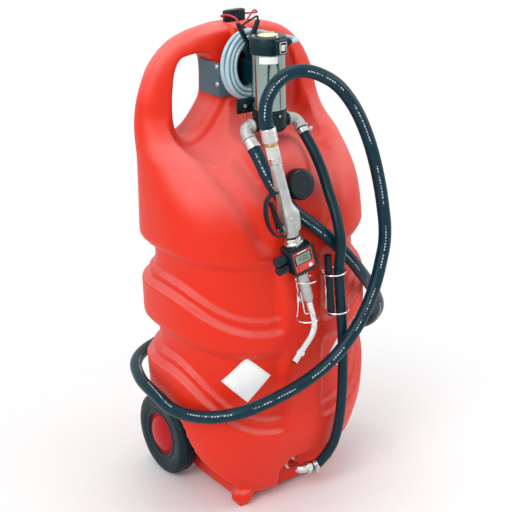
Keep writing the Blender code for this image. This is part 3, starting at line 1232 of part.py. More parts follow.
def meter():
    """The digital meter: outlet nut, rubber cover, red face, display and its two buttons."""
    at = spout_frame()
    nut = rod("outlet_nut", NUT_RADIUS, -NUT_END, -NUT_START, ALUMINIUM, at, steps=20,
              chamfer=FIT * 3.0)
    cut(nut, rod("outlet_flange", NUT_RADIUS * 1.25, -NUT_END, -NUT_END + NUT_RADIUS * 0.5, None, at,
                 steps=20, cutter=True), "UNION")
    smooth(nut)
    top = -NUT_END - FIT
    low = top - METER_SIZE
    middle = (top + low) / 2.0
    half = METER_SIZE / 2.0
    turn = at @ Matrix.Rotation(METER_TURN, 4, "Z")
    cover = block("meter_cover", (METER_SIZE, METER_DEPTH, METER_SIZE),
                  (0.0, METER_BACK - METER_DEPTH / 2.0, middle), BLACK_RUBBER, METER_SIZE / 12.0, turn)
    front = METER_BACK - METER_DEPTH
    for number in range(METER_RIBS):
        share = (number + 0.5) / METER_RIBS * 2.0 - 1.0
        groove = block("meter_groove", (METER_SIZE * 1.2, METER_RIB_DEPTH, METER_RIB_WIDTH),
                       (0.0, METER_BACK, middle + half * 0.8 * share), None, 0.0, turn, cutter=True)
        cut(cover, groove)
    for share in (0.32, -0.38):
        lug_at = turn @ Matrix.Translation((-half, METER_BACK - METER_DEPTH * 0.5, middle + half * share))
        lug_at = lug_at @ Matrix.Rotation(math.radians(-90), 4, "Y")
        cut(cover, rod("meter_lug", METER_LUG_RADIUS, -half * 0.2, METER_LUG_LENGTH, None, lug_at, steps=14,
                       chamfer=METER_LUG_RADIUS / 5.0, cutter=True), "UNION")
    face_size = METER_SIZE - METER_BEZEL * 2.0
    pocket = block("meter_pocket", (face_size + FIT * 2.0, METER_FACE_THICKNESS * 4.0, face_size + FIT * 2.0),
                   (0.0, front - METER_FACE_THICKNESS, middle), None, 0.0, turn, cutter=True)
    cut(cover, pocket)
    face_back = front + METER_FACE_THICKNESS - FIT
    face = block("meter_face", (face_size, METER_FACE_THICKNESS, face_size),
                 (0.0, face_back - METER_FACE_THICKNESS / 2.0, middle), METER_RED, METER_FACE_THICKNESS / 5.0,
                 turn)
    face_front = face_back - METER_FACE_THICKNESS
    glass_z = middle + face_size * DISPLAY_UP_SHARE
    glass = block("display_pocket", (DISPLAY_WIDTH + FIT * 2.0, DISPLAY_THICKNESS * 2.0,
                                     DISPLAY_HEIGHT + FIT * 2.0),
                  (0.0, face_front, glass_z), None, 0.0, turn, cutter=True)
    cut(face, glass)
    block("meter_display", (DISPLAY_WIDTH, DISPLAY_THICKNESS, DISPLAY_HEIGHT),
          (0.0, face_front + DISPLAY_THICKNESS / 2.0 - FIT, glass_z), LCD, 0.0, turn)
    button_z = middle - face_size * BUTTON_DOWN_SHARE
    for side, word in ((-1.0, "left"), (1.0, "right")):
        spot = turn @ Matrix.Translation((side * face_size * 0.25, face_front, button_z))
        spot = spot @ Matrix.Rotation(math.radians(90), 4, "X")
        cut(face, rod("button_hole", BUTTON_RADIUS + FIT, -BUTTON_TRAVEL * 1.5, OVERRUN, None, spot, steps=12,
                      cutter=True))
        rod("meter_button_" + word, BUTTON_RADIUS, -FIT, BUTTON_TRAVEL * 1.5, BLACK_PLASTIC,
            spot, steps=12)
    return low


def spout(top):
    """The bent spout below the meter, and the nut near its tip."""
    at = spout_frame()
    start = at @ Vector((0.0, 0.0, top - FIT))
    bend = Vector(SPOUT_BEND)
    tip = Vector(SPOUT_TIP)
    first = (bend - start).normalized()
    second = (tip - bend).normalized()
    points = [start + first * (SPOUT_COLLAR_LENGTH / 2.0)]
    points += corner(start, bend, tip, SPOUT_BEND_RADIUS, 9)
    last = points[-1]
    points.append(tip)
    body = solid_of(tube("spout", points, SPOUT_RADIUS, ALUMINIUM, resolution=3), ALUMINIUM)
    collar = turned("spout_collar", ((0.0, 0.0), (SPOUT_COLLAR_RADIUS, 0.0),
                                     (SPOUT_COLLAR_RADIUS, -SPOUT_COLLAR_LENGTH * 0.45),
                                     (SPOUT_RADIUS, -SPOUT_COLLAR_LENGTH), (0.0, -SPOUT_COLLAR_LENGTH)),
                    None, frame(start, -first), steps=20, cutter=True)
    cut(body, collar, "UNION")
    cut(body, rod("spout_bore", SPOUT_RADIUS * 0.78, -SPOUT_RADIUS * 3.0, OVERRUN, None,
                  frame(tip, second), steps=14, cutter=True))
    smooth(body)
    nut_at = frame(last.lerp(tip, SPOUT_NUT_SHARE), second)
    ring("spout_nut", SPOUT_RADIUS + FIT, SPOUT_RADIUS * 1.4, -SPOUT_RADIUS * 0.6, SPOUT_RADIUS * 0.6,
         ALUMINIUM, nut_at, steps=20)


def wire_holder(word, high_x, low_x, radius):
    """A holder bent from one closed loop of wire, with the clip and screws that fix its middle."""
    back = WIRE_RADIUS + FIT * 2.0
    points = []
    steps = 14
    for height, centre_x, order in ((HOLDER_TOP, high_x, 1), (HOLDER_BOTTOM, low_x, -1)):
        leg_y = strip_y(height) - back
        centre_y = leg_y - radius * math.cos(WIRE_OPENING)
        turn = []
        for number in range(steps + 1):
            angle = math.pi / 2.0 - WIRE_OPENING - 2.0 * (math.pi - WIRE_OPENING) * number / steps
            turn.append(Vector((centre_x + radius * math.cos(angle), centre_y + radius * math.sin(angle),
                                height)))
        points += turn[::order]
        if order == 1:
            middle = (HOLDER_TOP + HOLDER_BOTTOM) / 2.0
            centre = (high_x + low_x) / 2.0
            for height_here in (middle + CLIP_HEIGHT * 0.6, middle - CLIP_HEIGHT * 0.6):
                points.append(Vector((centre - WIRE_WAIST, strip_y(height_here) - back, height_here)))
    for height_here in (middle - CLIP_HEIGHT * 0.6, middle + CLIP_HEIGHT * 0.6):
        points.append(Vector((centre + WIRE_WAIST, strip_y(height_here) - back, height_here)))
    tube("wire_holder_" + word, points, WIRE_RADIUS, CHROME, resolution=1, cyclic=True)
    face = strip_y(middle) - back - WIRE_RADIUS - FIT * 2.0
    clip = block("holder_clip_" + word, (WIRE_WAIST * 2.0 + WIRE_RADIUS * 6.0, WIRE_RADIUS, CLIP_HEIGHT),
                 (centre, face - WIRE_RADIUS / 2.0, middle), CHROME, WIRE_RADIUS / 4.0)
    for side in (-1.0, 1.0):
        spot = (centre, face - WIRE_RADIUS, middle + side * CLIP_HEIGHT * 0.28)
        cut(clip, rod("clip_screw", SCREW_HEAD_RADIUS * 0.6, -WIRE_RADIUS / 2.0, SCREW_HEAD_HEIGHT * 0.7,
                      None, frame(spot, (0.0, -1.0, 0.0)), steps=10, cutter=True), "UNION")


def rest_sleeve():
    """The black sleeve that stands in the right holder beside the suction hose."""
    low = Vector(SLEEVE_BOTTOM)
    high = Vector(SLEEVE_TOP)
    matrix = frame(low, high - low)
    ring("rest_sleeve", SLEEVE_RADIUS - SLEEVE_WALL, SLEEVE_RADIUS, 0.0, (high - low).length, BLACK_PLASTIC,
         matrix, steps=18)


def coil_points():
    """Return the coil's centre line: it spirals in on one layer and out again on the next."""
    points = []
    count = COIL_LOOPS_PER_LAYER * COIL_LAYERS * COIL_POINTS
    for number in range(count + 1):
        t = number / COIL_POINTS
        reach = abs(COIL_LOOPS_PER_LAYER - t % (2.0 * COIL_LOOPS_PER_LAYER))
        angle = COIL_START + 2.0 * math.pi * t
        climb = 0.0
        for layer in range(1, COIL_LAYERS):
            change = COIL_LOOPS_PER_LAYER * layer
            climb += ramp(t, change - 0.25, change + 0.25)
        half_x = COIL_INNER_HALF_WIDTH + COIL_PITCH * (reach + 0.5)
        half_z = COIL_INNER_HALF_HEIGHT + COIL_PITCH * (reach + 0.5)
        depth = COIL_LAYER_PITCH * (climb - (COIL_LAYERS - 1.0) / 2.0)
        points.append(Vector((half_x * math.cos(angle), COIL_Y + depth, COIL_Z + half_z * math.sin(angle))))
    return points


def least_gap(points, radius):
    """Return the least gap between a tube's turns, measured on its points."""
    least = 1.0
    skip = COIL_POINTS // 2
    for first in range(len(points)):
        for second in range(first + skip, len(points) - 1):
            span = points[second + 1] - points[second]
            share = (points[first] - points[second]).dot(span) / span.length_squared
            near = points[second] + span * min(max(share, 0.0), 1.0)
            least = min(least, (points[first] - near).length - 2.0 * radius)
    return least


def power_lead():
    """The power cable: its coil behind the pump, the tail to the gland and the two leads."""
    points = coil_points()
    straight = CABLE_RADIUS * 2.0
    first = (points[0] - points[1]).normalized()
    last = (points[-1] - points[-2]).normalized()
    points = [points[0] + first * straight] + points + [points[-1] + last * straight]
    print("cable coil length", round(length_of(points), 3), "least gap",
          round(least_gap(points, CABLE_RADIUS), 5))
    tube("cable_coil", points, CABLE_RADIUS, GREY_CABLE, resolution=1)
    gland_end = Vector((SWITCH_WIDTH / 2.0 + GLAND_LENGTH + FIT * 2.0, GLAND_Y, GLAND_Z))
    start = points[0] + first * FIT
    across = Vector((1.0, 0.0, 0.0))
    tail = run(gland_end, across, TAIL_ROUTE, start, first, CABLE_RADIUS, TAIL_POINTS)
    print("cable tail length", round(length_of(tail), 3))
    tube("cable_tail", tail, CABLE_RADIUS, GREY_CABLE, resolution=2)
    end = points[-1] + last * FIT
    up = Vector((0.0, 1.0, 0.0)).cross(last).normalized() * (LEAD_RADIUS + FIT / 2.0)
    if up.z < 0.0:
        up = -up

    fuse_z = TANK_HEIGHT + FIT + FUSE_HEIGHT / 2.0
    fuse = block("fuse_holder", (FUSE_LENGTH, FUSE_WIDTH, FUSE_HEIGHT), (FUSE_X, FUSE_Y, fuse_z),
                 BLACK_PLASTIC, FUSE_WIDTH / 8.0)
    lid = block("fuse_lid", (FUSE_LENGTH * 0.72, FUSE_WIDTH * 1.1, FUSE_HEIGHT * 0.42),
                (FUSE_X, FUSE_Y, fuse_z + FUSE_HEIGHT * 0.30), None, cutter=True)
    cut(fuse, lid, "UNION")
    left_end = Vector((FUSE_X - FUSE_LENGTH / 2.0 - FIT, FUSE_Y, fuse_z))
    right_end = Vector((FUSE_X + FUSE_LENGTH / 2.0 + FIT, FUSE_Y, fuse_z))
    red_grip = battery_clamp("red", CLAMP_RED, RED_CLAMP_X, RED_CLAMP_Y, SADDLE_TOP)
    black_grip = battery_clamp("black", BLACK_PLASTIC, BLACK_CLAMP_X, BLACK_CLAMP_Y,
                               SPOOL_Z + SPOOL_HALF_HEIGHT)
    above = Vector((0.0, 0.0, 1.0))
    wire("lead_red", end + up, last, LEAD_TO_FUSE, left_end, -across, RED_CABLE)
    wire("lead_fuse", right_end, across, LEAD_FROM_FUSE, red_grip, above, RED_CABLE)
    wire("lead_black", end - up, last, LEAD_TO_BLACK, black_grip, above, BLACK_RUBBER)


def wire(name, start, out, route, end, back, material):
    """One thin lead through its route points."""
    points = run(start, out, route, end, back, LEAD_RADIUS * 2.0, LEAD_POINTS)
    print(name, "length", round(length_of(points), 3))
    tube(name, points, LEAD_RADIUS, material, resolution=1)


def battery_clamp(word, material, x, y, seat):
    """Make one battery clamp standing on its jaw tips, and return where the lead meets its grip."""
    pivot = Vector((x, y, seat + FIT + JAW_LENGTH))
    half = GRIP_WIDTH / 2.0
    jaw_gap = FIT / 2.0
    outline = [
        (jaw_gap, -JAW_LENGTH), (GRIP_THICKNESS * 1.1, -JAW_LENGTH * 0.92),
        (GRIP_THICKNESS * 2.0, -JAW_LENGTH * 0.45),
        (KNUCKLE_RADIUS, 0.0), (GRIP_SPREAD * 0.62, GRIP_LENGTH * 0.45), (GRIP_SPREAD, GRIP_LENGTH),
        (GRIP_SPREAD - GRIP_THICKNESS, GRIP_LENGTH),
        (GRIP_SPREAD * 0.62 - GRIP_THICKNESS, GRIP_LENGTH * 0.47),
        (KNUCKLE_RADIUS * 0.25, KNUCKLE_RADIUS * 0.8), (KNUCKLE_RADIUS * 0.25, -KNUCKLE_RADIUS * 0.8),
        (GRIP_THICKNESS * 1.1, -JAW_LENGTH * 0.45), (jaw_gap, -JAW_LENGTH * 0.86),
    ]
    for side, arm_word in ((-1.0, "left"), (1.0, "right")):
        flat = Matrix.Translation(pivot) @ Matrix.Rotation(math.radians(90), 4, "X")
        shape = [(side * px, pz) for px, pz in outline][::int(side)]
        arm = prism("clamp_" + word + "_" + arm_word, shape, -half, half, material, flat)
        # The two knuckles lie side by side on the pin, one on each half of the width
        cut(arm, rod("knuckle_room", KNUCKLE_RADIUS + RUNNING, min(0.0, side * OVERRUN * 3.0),
                     max(0.0, side * OVERRUN * 3.0), None, flat, steps=14, cutter=True))
        low = FIT / 2.0 if side < 0.0 else -half
        high = half if side < 0.0 else -FIT / 2.0
        cut(arm, rod("knuckle", KNUCKLE_RADIUS, low, high, None, flat, steps=14, cutter=True), "UNION")
        if side < 0.0:
            cut(arm, rod("clamp_pin", PIN_RADIUS, -half, half - FIT, None, flat, steps=8, cutter=True),
                "UNION")
        else:
            cut(arm, rod("pin_hole", PIN_RADIUS + FIT, -half - OVERRUN, OVERRUN, None, flat, steps=8,
                         cutter=True))
    return pivot + Vector((GRIP_SPREAD - GRIP_THICKNESS / 2.0, 0.0, GRIP_LENGTH + FIT))


tank()
filler()
wheels()
saddle()
pump()
switch()
hoses()
nozzle()
spout(meter())
wire_holder("left", HOLDER_LEFT_TOP_X, HOLDER_LEFT_BOTTOM_X, HOLDER_LEFT_RADIUS)
wire_holder("right", HOLDER_RIGHT_TOP_X, HOLDER_RIGHT_BOTTOM_X, HOLDER_RIGHT_RADIUS)
rest_sleeve()
power_lead()
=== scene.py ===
"""Looks of the oil transfer caddy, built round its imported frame.

Metres, +Z up, the front faces -Y, the same frame as the part. Each sub-assembly is a class that
builds its finer pieces, dresses the solids that stay, and says which body each piece rides on.
"""

import logging
import math
from dataclasses import dataclass, field
from enum import Enum
from typing import Callable, Iterable, Sequence

import bmesh
import bpy
from mathutils import Matrix, Vector
from mathutils.bvhtree import BVHTree


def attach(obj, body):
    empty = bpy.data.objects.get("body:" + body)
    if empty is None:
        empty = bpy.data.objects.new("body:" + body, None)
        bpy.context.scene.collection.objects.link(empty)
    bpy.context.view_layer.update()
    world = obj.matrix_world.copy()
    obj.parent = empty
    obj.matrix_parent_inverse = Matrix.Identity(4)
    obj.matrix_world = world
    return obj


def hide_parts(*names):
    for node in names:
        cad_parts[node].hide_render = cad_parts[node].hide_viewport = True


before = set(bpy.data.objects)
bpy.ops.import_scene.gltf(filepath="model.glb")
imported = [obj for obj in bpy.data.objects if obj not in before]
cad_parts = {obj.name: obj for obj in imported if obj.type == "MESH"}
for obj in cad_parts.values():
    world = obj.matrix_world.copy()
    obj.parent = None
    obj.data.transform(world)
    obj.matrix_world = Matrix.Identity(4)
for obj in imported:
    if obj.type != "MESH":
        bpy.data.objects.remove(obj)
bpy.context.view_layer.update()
LOG = logging.getLogger("caddy")

Colour = tuple[float, float, float]
Point = tuple[float, float, float]

# Fits and small lengths that the pieces share, in metres
MERGE = 0.00001
FIT = 0.0003
FINE_EDGE = 0.0006
PLATE = 0.0008

# Directions that the pieces share
AXIS_X = Vector((1.0, 0.0, 0.0))
AXIS_Y = Vector((0.0, 1.0, 0.0))
AXIS_Z = Vector((0.0, 0.0, 1.0))
FRONT = Vector((0.0, -1.0, 0.0))

# Side on which a hose shows its print, least reach towards it, and how firmly rings keep their turn
PRINT_SIDE = Vector((-0.55, -0.75, 0.38)).normalized()
PRINT_LEAST = 0.3
PRINT_HOLD = 9.0

# Edges sharper than the first angle are rounded, and facets flatter than the second become one face
ROUNDED_FROM = math.radians(28)
FLAT_WITHIN = math.radians(0.6)

# Degrees above which edges are shaded sharp, on pieces and on repeated details
PIECE_SHARP = 35.0
DETAIL_SHARP = 40.0

# Steps that a smooth curve has for each point that it passes through
CURVE_STEPS = 24

# Corners of a bent wire: turn from which they are cut, and the most that is cut, as a share and a length
CORNER_FROM = math.radians(14)
CORNER_SHARE = 0.25
CORNER_REACH = 0.004

# Shares of a hexagon nut: depth of its chamfered crown, and width of its drawn-in ends
NUT_CROWN = 0.8
NUT_END = 0.93

# What the shared effects do to a finish
DUST_COLOUR = (0.52, 0.48, 0.43, 1.0)
PRINT_COLOUR = (0.50, 0.55, 0.58, 1.0)
DUST_ROUGHNESS = 0.35
# Share of white in the painted sheen that pales up-facing surfaces
PAINTED_SHEEN_WHITE = 0.11
COAT_ROUGHNESS = 0.12
SHEEN_ROUGHNESS = 0.45


class Body(str, Enum):
    """The bodies that the pieces ride on."""

    CADDY = "caddy"
    CAP = "cap_body"
    WHEEL_LEFT = "wheel_left"
    WHEEL_RIGHT = "wheel_right"
    ROCKER = "rocker"
    SWIVEL = "swivel"
    LEVER = "lever"
    BUTTON_LEFT = "button_left"
    BUTTON_RIGHT = "button_right"
    RED_LEFT = "red_arm_left"
    BLACK_LEFT = "black_arm_left"


class Slot(str, Enum):
    """The record's material slots."""

    RED = "red_polyethylene"
    PLASTIC = "black_plastic"
    RUBBER = "black_rubber"
    TYRE = "tyre_rubber"
    GREY = "grey_plastic"
    CABLE = "grey_cable"
    RED_CABLE = "red_cable"
    ZINC = "zinc"
    CHROME = "chrome_wire"
    ALUMINIUM = "cast_aluminium"
    BRASS = "brass"
    STEEL = "steel"
    COPPER = "copper"
    WHITE = "white_plate"
    CREAM = "cream_disc"
    METER_RED = "meter_red"
    DISPLAY = "display"
    RED_GRIP = "red_grip"


class Wiring:
    """Adds nodes to one node tree and joins them."""

    def __init__(self, tree: bpy.types.NodeTree) -> None:
        """Keep the tree.

        Args:
            tree: The shader or geometry tree to build.
        """
        self.tree = tree

    def node(self, kind: str, settings: dict | None = None, inputs: dict | None = None) -> bpy.types.Node:
        """Add a node.

        Args:
            kind: The node's type name.
            settings: Properties of the node.
            inputs: Values or sockets for its inputs, by name or number.

        Returns:
            The new node.
        """
        made = self.tree.nodes.new(kind)
        for name, value in (settings or {}).items():
            setattr(made, name, value)
        for name, value in (inputs or {}).items():
            self.feed(made.inputs[name], value)
        return made

    def feed(self, socket: bpy.types.NodeSocket, value: object) -> None:
        """Join a socket to another, or set its value.

        Args:
            socket: The input.
            value: A socket to join to it, or a plain value.
        """
        if isinstance(value, bpy.types.NodeSocket):
            self.tree.links.new(value, socket)
        else:
            socket.default_value = value

    def math(self, operation: str, first: object, second: object = 0.0) -> bpy.types.NodeSocket:
        """Return the result of a Math node."""
        return self.node("ShaderNodeMath", {"operation": operation}, {0: first, 1: second}).outputs[0]

    def times(self, *factors: object) -> bpy.types.NodeSocket:
        """Return the product of several values.

        Args:
            *factors: Sockets or numbers.

        Returns:
            Their product.
        """
        product = factors[0]
        for factor in factors[1:]:
            product = self.math("MULTIPLY", product, factor)
        return product

    def plus(self, first: object, second: object) -> bpy.types.NodeSocket:
        """Return the sum of two values."""
        return self.math("ADD", first, second)

    def apart(self, first: object, second: object) -> bpy.types.NodeSocket:
        """Return how far two values lie from each other."""
        return self.math("ABSOLUTE", self.math("SUBTRACT", first, second))

    def span(self, value: object, low: float, high: float, start: float = 0.0, end: float = 1.0,
             smooth: bool = True) -> bpy.types.NodeSocket:
        """Map a value from low..high to start..end.

        Args:
            value: Socket or number to map.
            low: Value that gives start.
            high: Value that gives end.
            start: Result at low.
            end: Result at high.
            smooth: Whether the step eases in and out.

        Returns:
            The mapped socket.
        """
        kind = "SMOOTHSTEP" if smooth else "LINEAR"
        made = self.node("ShaderNodeMapRange", {"interpolation_type": kind, "clamp": True},
                         {"Value": value, "From Min": low, "From Max": high, "To Min": start, "To Max": end})
        return made.outputs[0]

    def blend(self, factor: object, first: object, second: object) -> bpy.types.NodeSocket:
        """Return the mix of two colours.

        Args:
            factor: Share of the second colour.
            first: The first colour.
            second: The second colour.

        Returns:
            The mixed colour.
        """
        made = self.node("ShaderNodeMix", {"data_type": "RGBA"})
        self.feed(made.inputs[0], factor)
        self.feed(made.inputs[6], first)
        self.feed(made.inputs[7], second)
        return made.outputs[2]

    def noise(self, where: object, scale: object, detail: float = 3.0) -> bpy.types.NodeSocket:
        """Return a noise texture's value."""
        made = self.node("ShaderNodeTexNoise", None, {"Vector": where, "Scale": scale, "Detail": detail})
        return made.outputs[0]

    def place(self) -> bpy.types.NodeSocket:
        """Return Object coordinates."""
        return self.node("ShaderNodeTexCoord").outputs["Object"]

    def stretched(self, where: object, scale: Point) -> bpy.types.NodeSocket:
        """Return coordinates stretched by a Mapping node."""
        return self.node("ShaderNodeMapping", None, {"Vector": where, "Scale": scale}).outputs[0]

    def cover(self) -> tuple[bpy.types.NodeSocket, bpy.types.NodeSocket]:
        """Return the two UV coordinates.

        Returns:
            U and V.
        """
        unwrapped = self.node("ShaderNodeTexCoord").outputs["UV"]
        parts = self.node("ShaderNodeSeparateXYZ", None, {0: unwrapped})
        return parts.outputs[0], parts.outputs[1]

    def upward(self) -> bpy.types.NodeSocket:
        """Return how far the surface faces up."""
        normal = self.node("ShaderNodeNewGeometry").outputs["Normal"]
        return self.node("ShaderNodeSeparateXYZ", None, {0: normal}).outputs[2]

    def group(self, tree: bpy.types.NodeTree, inputs: dict | None = None) -> bpy.types.Node:
        """Add a node that holds a group."""
        return self.node("ShaderNodeGroup", {"node_tree": tree}, inputs)


def effect(name: str, inputs: Sequence[tuple[str, float]], outputs: Sequence[str],
           build: Callable[[Wiring, bpy.types.Node, bpy.types.Node], None]) -> bpy.types.NodeTree:
    """Return a shader node group, built the first time it is asked for.

    Args:
        name: The group's name.
        inputs: Name and default of each float input.
        outputs: Names of its float outputs.
        build: Adds what is between its input and output nodes.

    Returns:
        The group.
    """
    known = bpy.data.node_groups.get(name)
    if known is not None:
        return known
    tree = bpy.data.node_groups.new(name, "ShaderNodeTree")
    for title, value in inputs:
        tree.interface.new_socket(title, in_out="INPUT", socket_type="NodeSocketFloat").default_value = value
    for title in outputs:
        tree.interface.new_socket(title, in_out="OUTPUT", socket_type="NodeSocketFloat")
    wiring = Wiring(tree)
    build(wiring, wiring.node("NodeGroupInput"), wiring.node("NodeGroupOutput"))
    return tree


def moulding_grain() -> bpy.types.NodeTree:
    """Fine moulded grain over slow unevenness: Height for the bump, Drift for the colour.

    Returns:
        The group, with its Scale and Waviness.
    """

    def build(wiring: Wiring, given: bpy.types.Node, result: bpy.types.Node) -> None:
        """Join the grain's nodes.

        Args:
            wiring: The group's tree.
            given: Its input node.
            result: Its output node.
        """
        where = wiring.place()
        fine = wiring.noise(where, given.outputs["Scale"], 2.0)
        slow = wiring.noise(where, wiring.times(given.outputs["Scale"], 0.045), 3.0)
        broad = wiring.times(slow, given.outputs["Waviness"])
        wiring.feed(result.inputs["Height"], wiring.plus(fine, broad))
        wiring.feed(result.inputs["Drift"], wiring.span(slow, 0.30, 0.70))

    return effect("moulding_grain", (("Scale", 400.0), ("Waviness", 2.0)), ("Height", "Drift"), build)


def handling_scuffs() -> bpy.types.NodeTree:
    """Thin scratches in two directions where things have rubbed: Mask.

    Returns:
        The group, with its Scale.
    """

    def build(wiring: Wiring, given: bpy.types.Node, result: bpy.types.Node) -> None:
        """Join the scuffs' nodes.

        Args:
            wiring: The group's tree.
            given: Its input node.
            result: Its output node.
        """
        where = wiring.place()
        patches = wiring.span(wiring.noise(where, 9.0, 2.0), 0.48, 0.66)
        first = wiring.noise(wiring.stretched(where, (1.0, 0.9, 0.06)), given.outputs["Scale"], 2.0)
        second = wiring.noise(wiring.stretched(where, (0.08, 0.3, 1.0)), given.outputs["Scale"], 2.0)
        lines = wiring.math("MAXIMUM", wiring.span(first, 0.66, 0.72), wiring.span(second, 0.68, 0.74))
        wiring.feed(result.inputs["Mask"], wiring.times(patches, lines))

    return effect("handling_scuffs", (("Scale", 260.0),), ("Mask",), build)


def upward_mask(name: str, cover: tuple[float, float], cloud: tuple[float, float],
                patches: tuple[float, float], amount: float) -> bpy.types.NodeTree:
    """Return the group of a patchy mask on what faces up.

    Args:
        name: The group's name.
        cover: How far up a surface faces where the mask starts, and where it is full.
        cloud: Scale and detail of the noise that breaks it up.
        patches: That noise where the mask starts, and where it is full.
        amount: Its strength, unless told.

    Returns:
        The group, with its Amount and its Mask.
    """

    def build(wiring: Wiring, given: bpy.types.Node, result: bpy.types.Node) -> None:
        """Join the mask's nodes.

        Args:
            wiring: The group's tree.
            given: Its input node.
            result: Its output node.
        """
        faced = wiring.span(wiring.upward(), *cover)
        broken = wiring.span(wiring.noise(wiring.place(), *cloud), *patches)
        wiring.feed(result.inputs["Mask"], wiring.times(faced, broken, given.outputs["Amount"]))

    return effect(name, (("Amount", amount),), ("Mask",), build)


def settled_dust() -> bpy.types.NodeTree:
    """Dust that lies on what faces up: Mask."""
    return upward_mask("settled_dust", (0.25, 0.95), (38.0, 5.0), (0.36, 0.74), 0.2)


def painted_top_sheen() -> bpy.types.NodeTree:
    """Painted sheen: colour made paler where the surface faces up, standing in for the light from above: Mask."""
    return upward_mask("painted_top_sheen", (0.14, 0.78), (9.0, 3.0), (0.10, 0.52), 0.5)


def zinc_spangle() -> bpy.types.NodeTree:
    """Crystals of hot-dip zinc: Shade for the colour, Height for the bump.

    Returns:
        The group, with its Scale.
    """

    def build(wiring: Wiring, given: bpy.types.Node, result: bpy.types.Node) -> None:
        """Join the spangle's nodes.

        Args:
            wiring: The group's tree.
            given: Its input node.
            result: Its output node.
        """
        where = wiring.place()
        cells = wiring.node("ShaderNodeTexVoronoi", None, {"Vector": where, "Scale": given.outputs["Scale"]})
        crystal = wiring.node("ShaderNodeSeparateColor", None, {0: cells.outputs["Color"]}).outputs[0]
        pits = wiring.noise(where, 900.0, 2.0)
        wiring.feed(result.inputs["Shade"], crystal)
        wiring.feed(result.inputs["Height"], wiring.plus(wiring.times(crystal, 0.4), pits))

    return effect("zinc_spangle", (("Scale", 240.0),), ("Shade", "Height"), build)


def brushed_lines() -> bpy.types.NodeTree:
    """Lines left by a belt round an upright can: Shade and Height.

    Returns:
        The group, with its Scale.
    """

    def build(wiring: Wiring, given: bpy.types.Node, result: bpy.types.Node) -> None:
        """Join the lines' nodes.

        Args:
            wiring: The group's tree.
            given: Its input node.
            result: Its output node.
        """
        where = wiring.place()
        lines = wiring.noise(wiring.stretched(where, (0.06, 0.06, 1.0)), given.outputs["Scale"], 3.0)
        clouds = wiring.noise(where, 45.0, 3.0)
        wiring.feed(result.inputs["Shade"], wiring.plus(wiring.times(lines, 0.5), wiring.times(clouds, 0.5)))
        wiring.feed(result.inputs["Height"], lines)

    return effect("brushed_lines", (("Scale", 1400.0),), ("Shade", "Height"), build)


def hose_wrap() -> bpy.types.NodeTree:
    """The cloth wrap's print and the line of plain dashes on a hose, from its UV: Height and Ink.

    Returns:
        The group, with the Side and the Amount of its print.
    """

    def build(wiring: Wiring, given: bpy.types.Node, result: bpy.types.Node) -> None:
        """Join the wrap's nodes.

        Args:
            wiring: The group's tree.
            given: Its input node.
            result: Its output node.
        """
        along, round_it = wiring.cover()
        lap = wiring.math("FRACT", wiring.plus(wiring.times(along, 22.0), round_it))
        seam = wiring.span(wiring.apart(lap, 0.5), 0.47, 0.5)
        threads = wiring.math("SINE", wiring.times(along, 5200.0))
        cords = wiring.math("SINE", wiring.times(round_it, 300.0))
        wiring.feed(result.inputs["Height"], wiring.plus(wiring.times(threads, cords, 0.12), seam))
        row = wiring.span(wiring.apart(round_it, given.outputs["Side"]), 0.013, 0.018, 1.0, 0.0)
        dash = wiring.span(wiring.math("FRACT", wiring.times(along, 150.0)), 0.60, 0.66, 1.0, 0.0)
        group = wiring.math("FRACT", wiring.times(along, 7.0))
        run = wiring.times(wiring.span(group, 0.08, 0.10), wiring.span(group, 0.78, 0.80, 1.0, 0.0))
        worn = wiring.span(wiring.noise(wiring.place(), 160.0, 3.0), 0.38, 0.52)
        wiring.feed(result.inputs["Ink"], wiring.times(row, dash, run, worn, given.outputs["Amount"]))

    return effect("hose_wrap", (("Side", 0.25), ("Amount", 1.0)), ("Height", "Ink"), build)


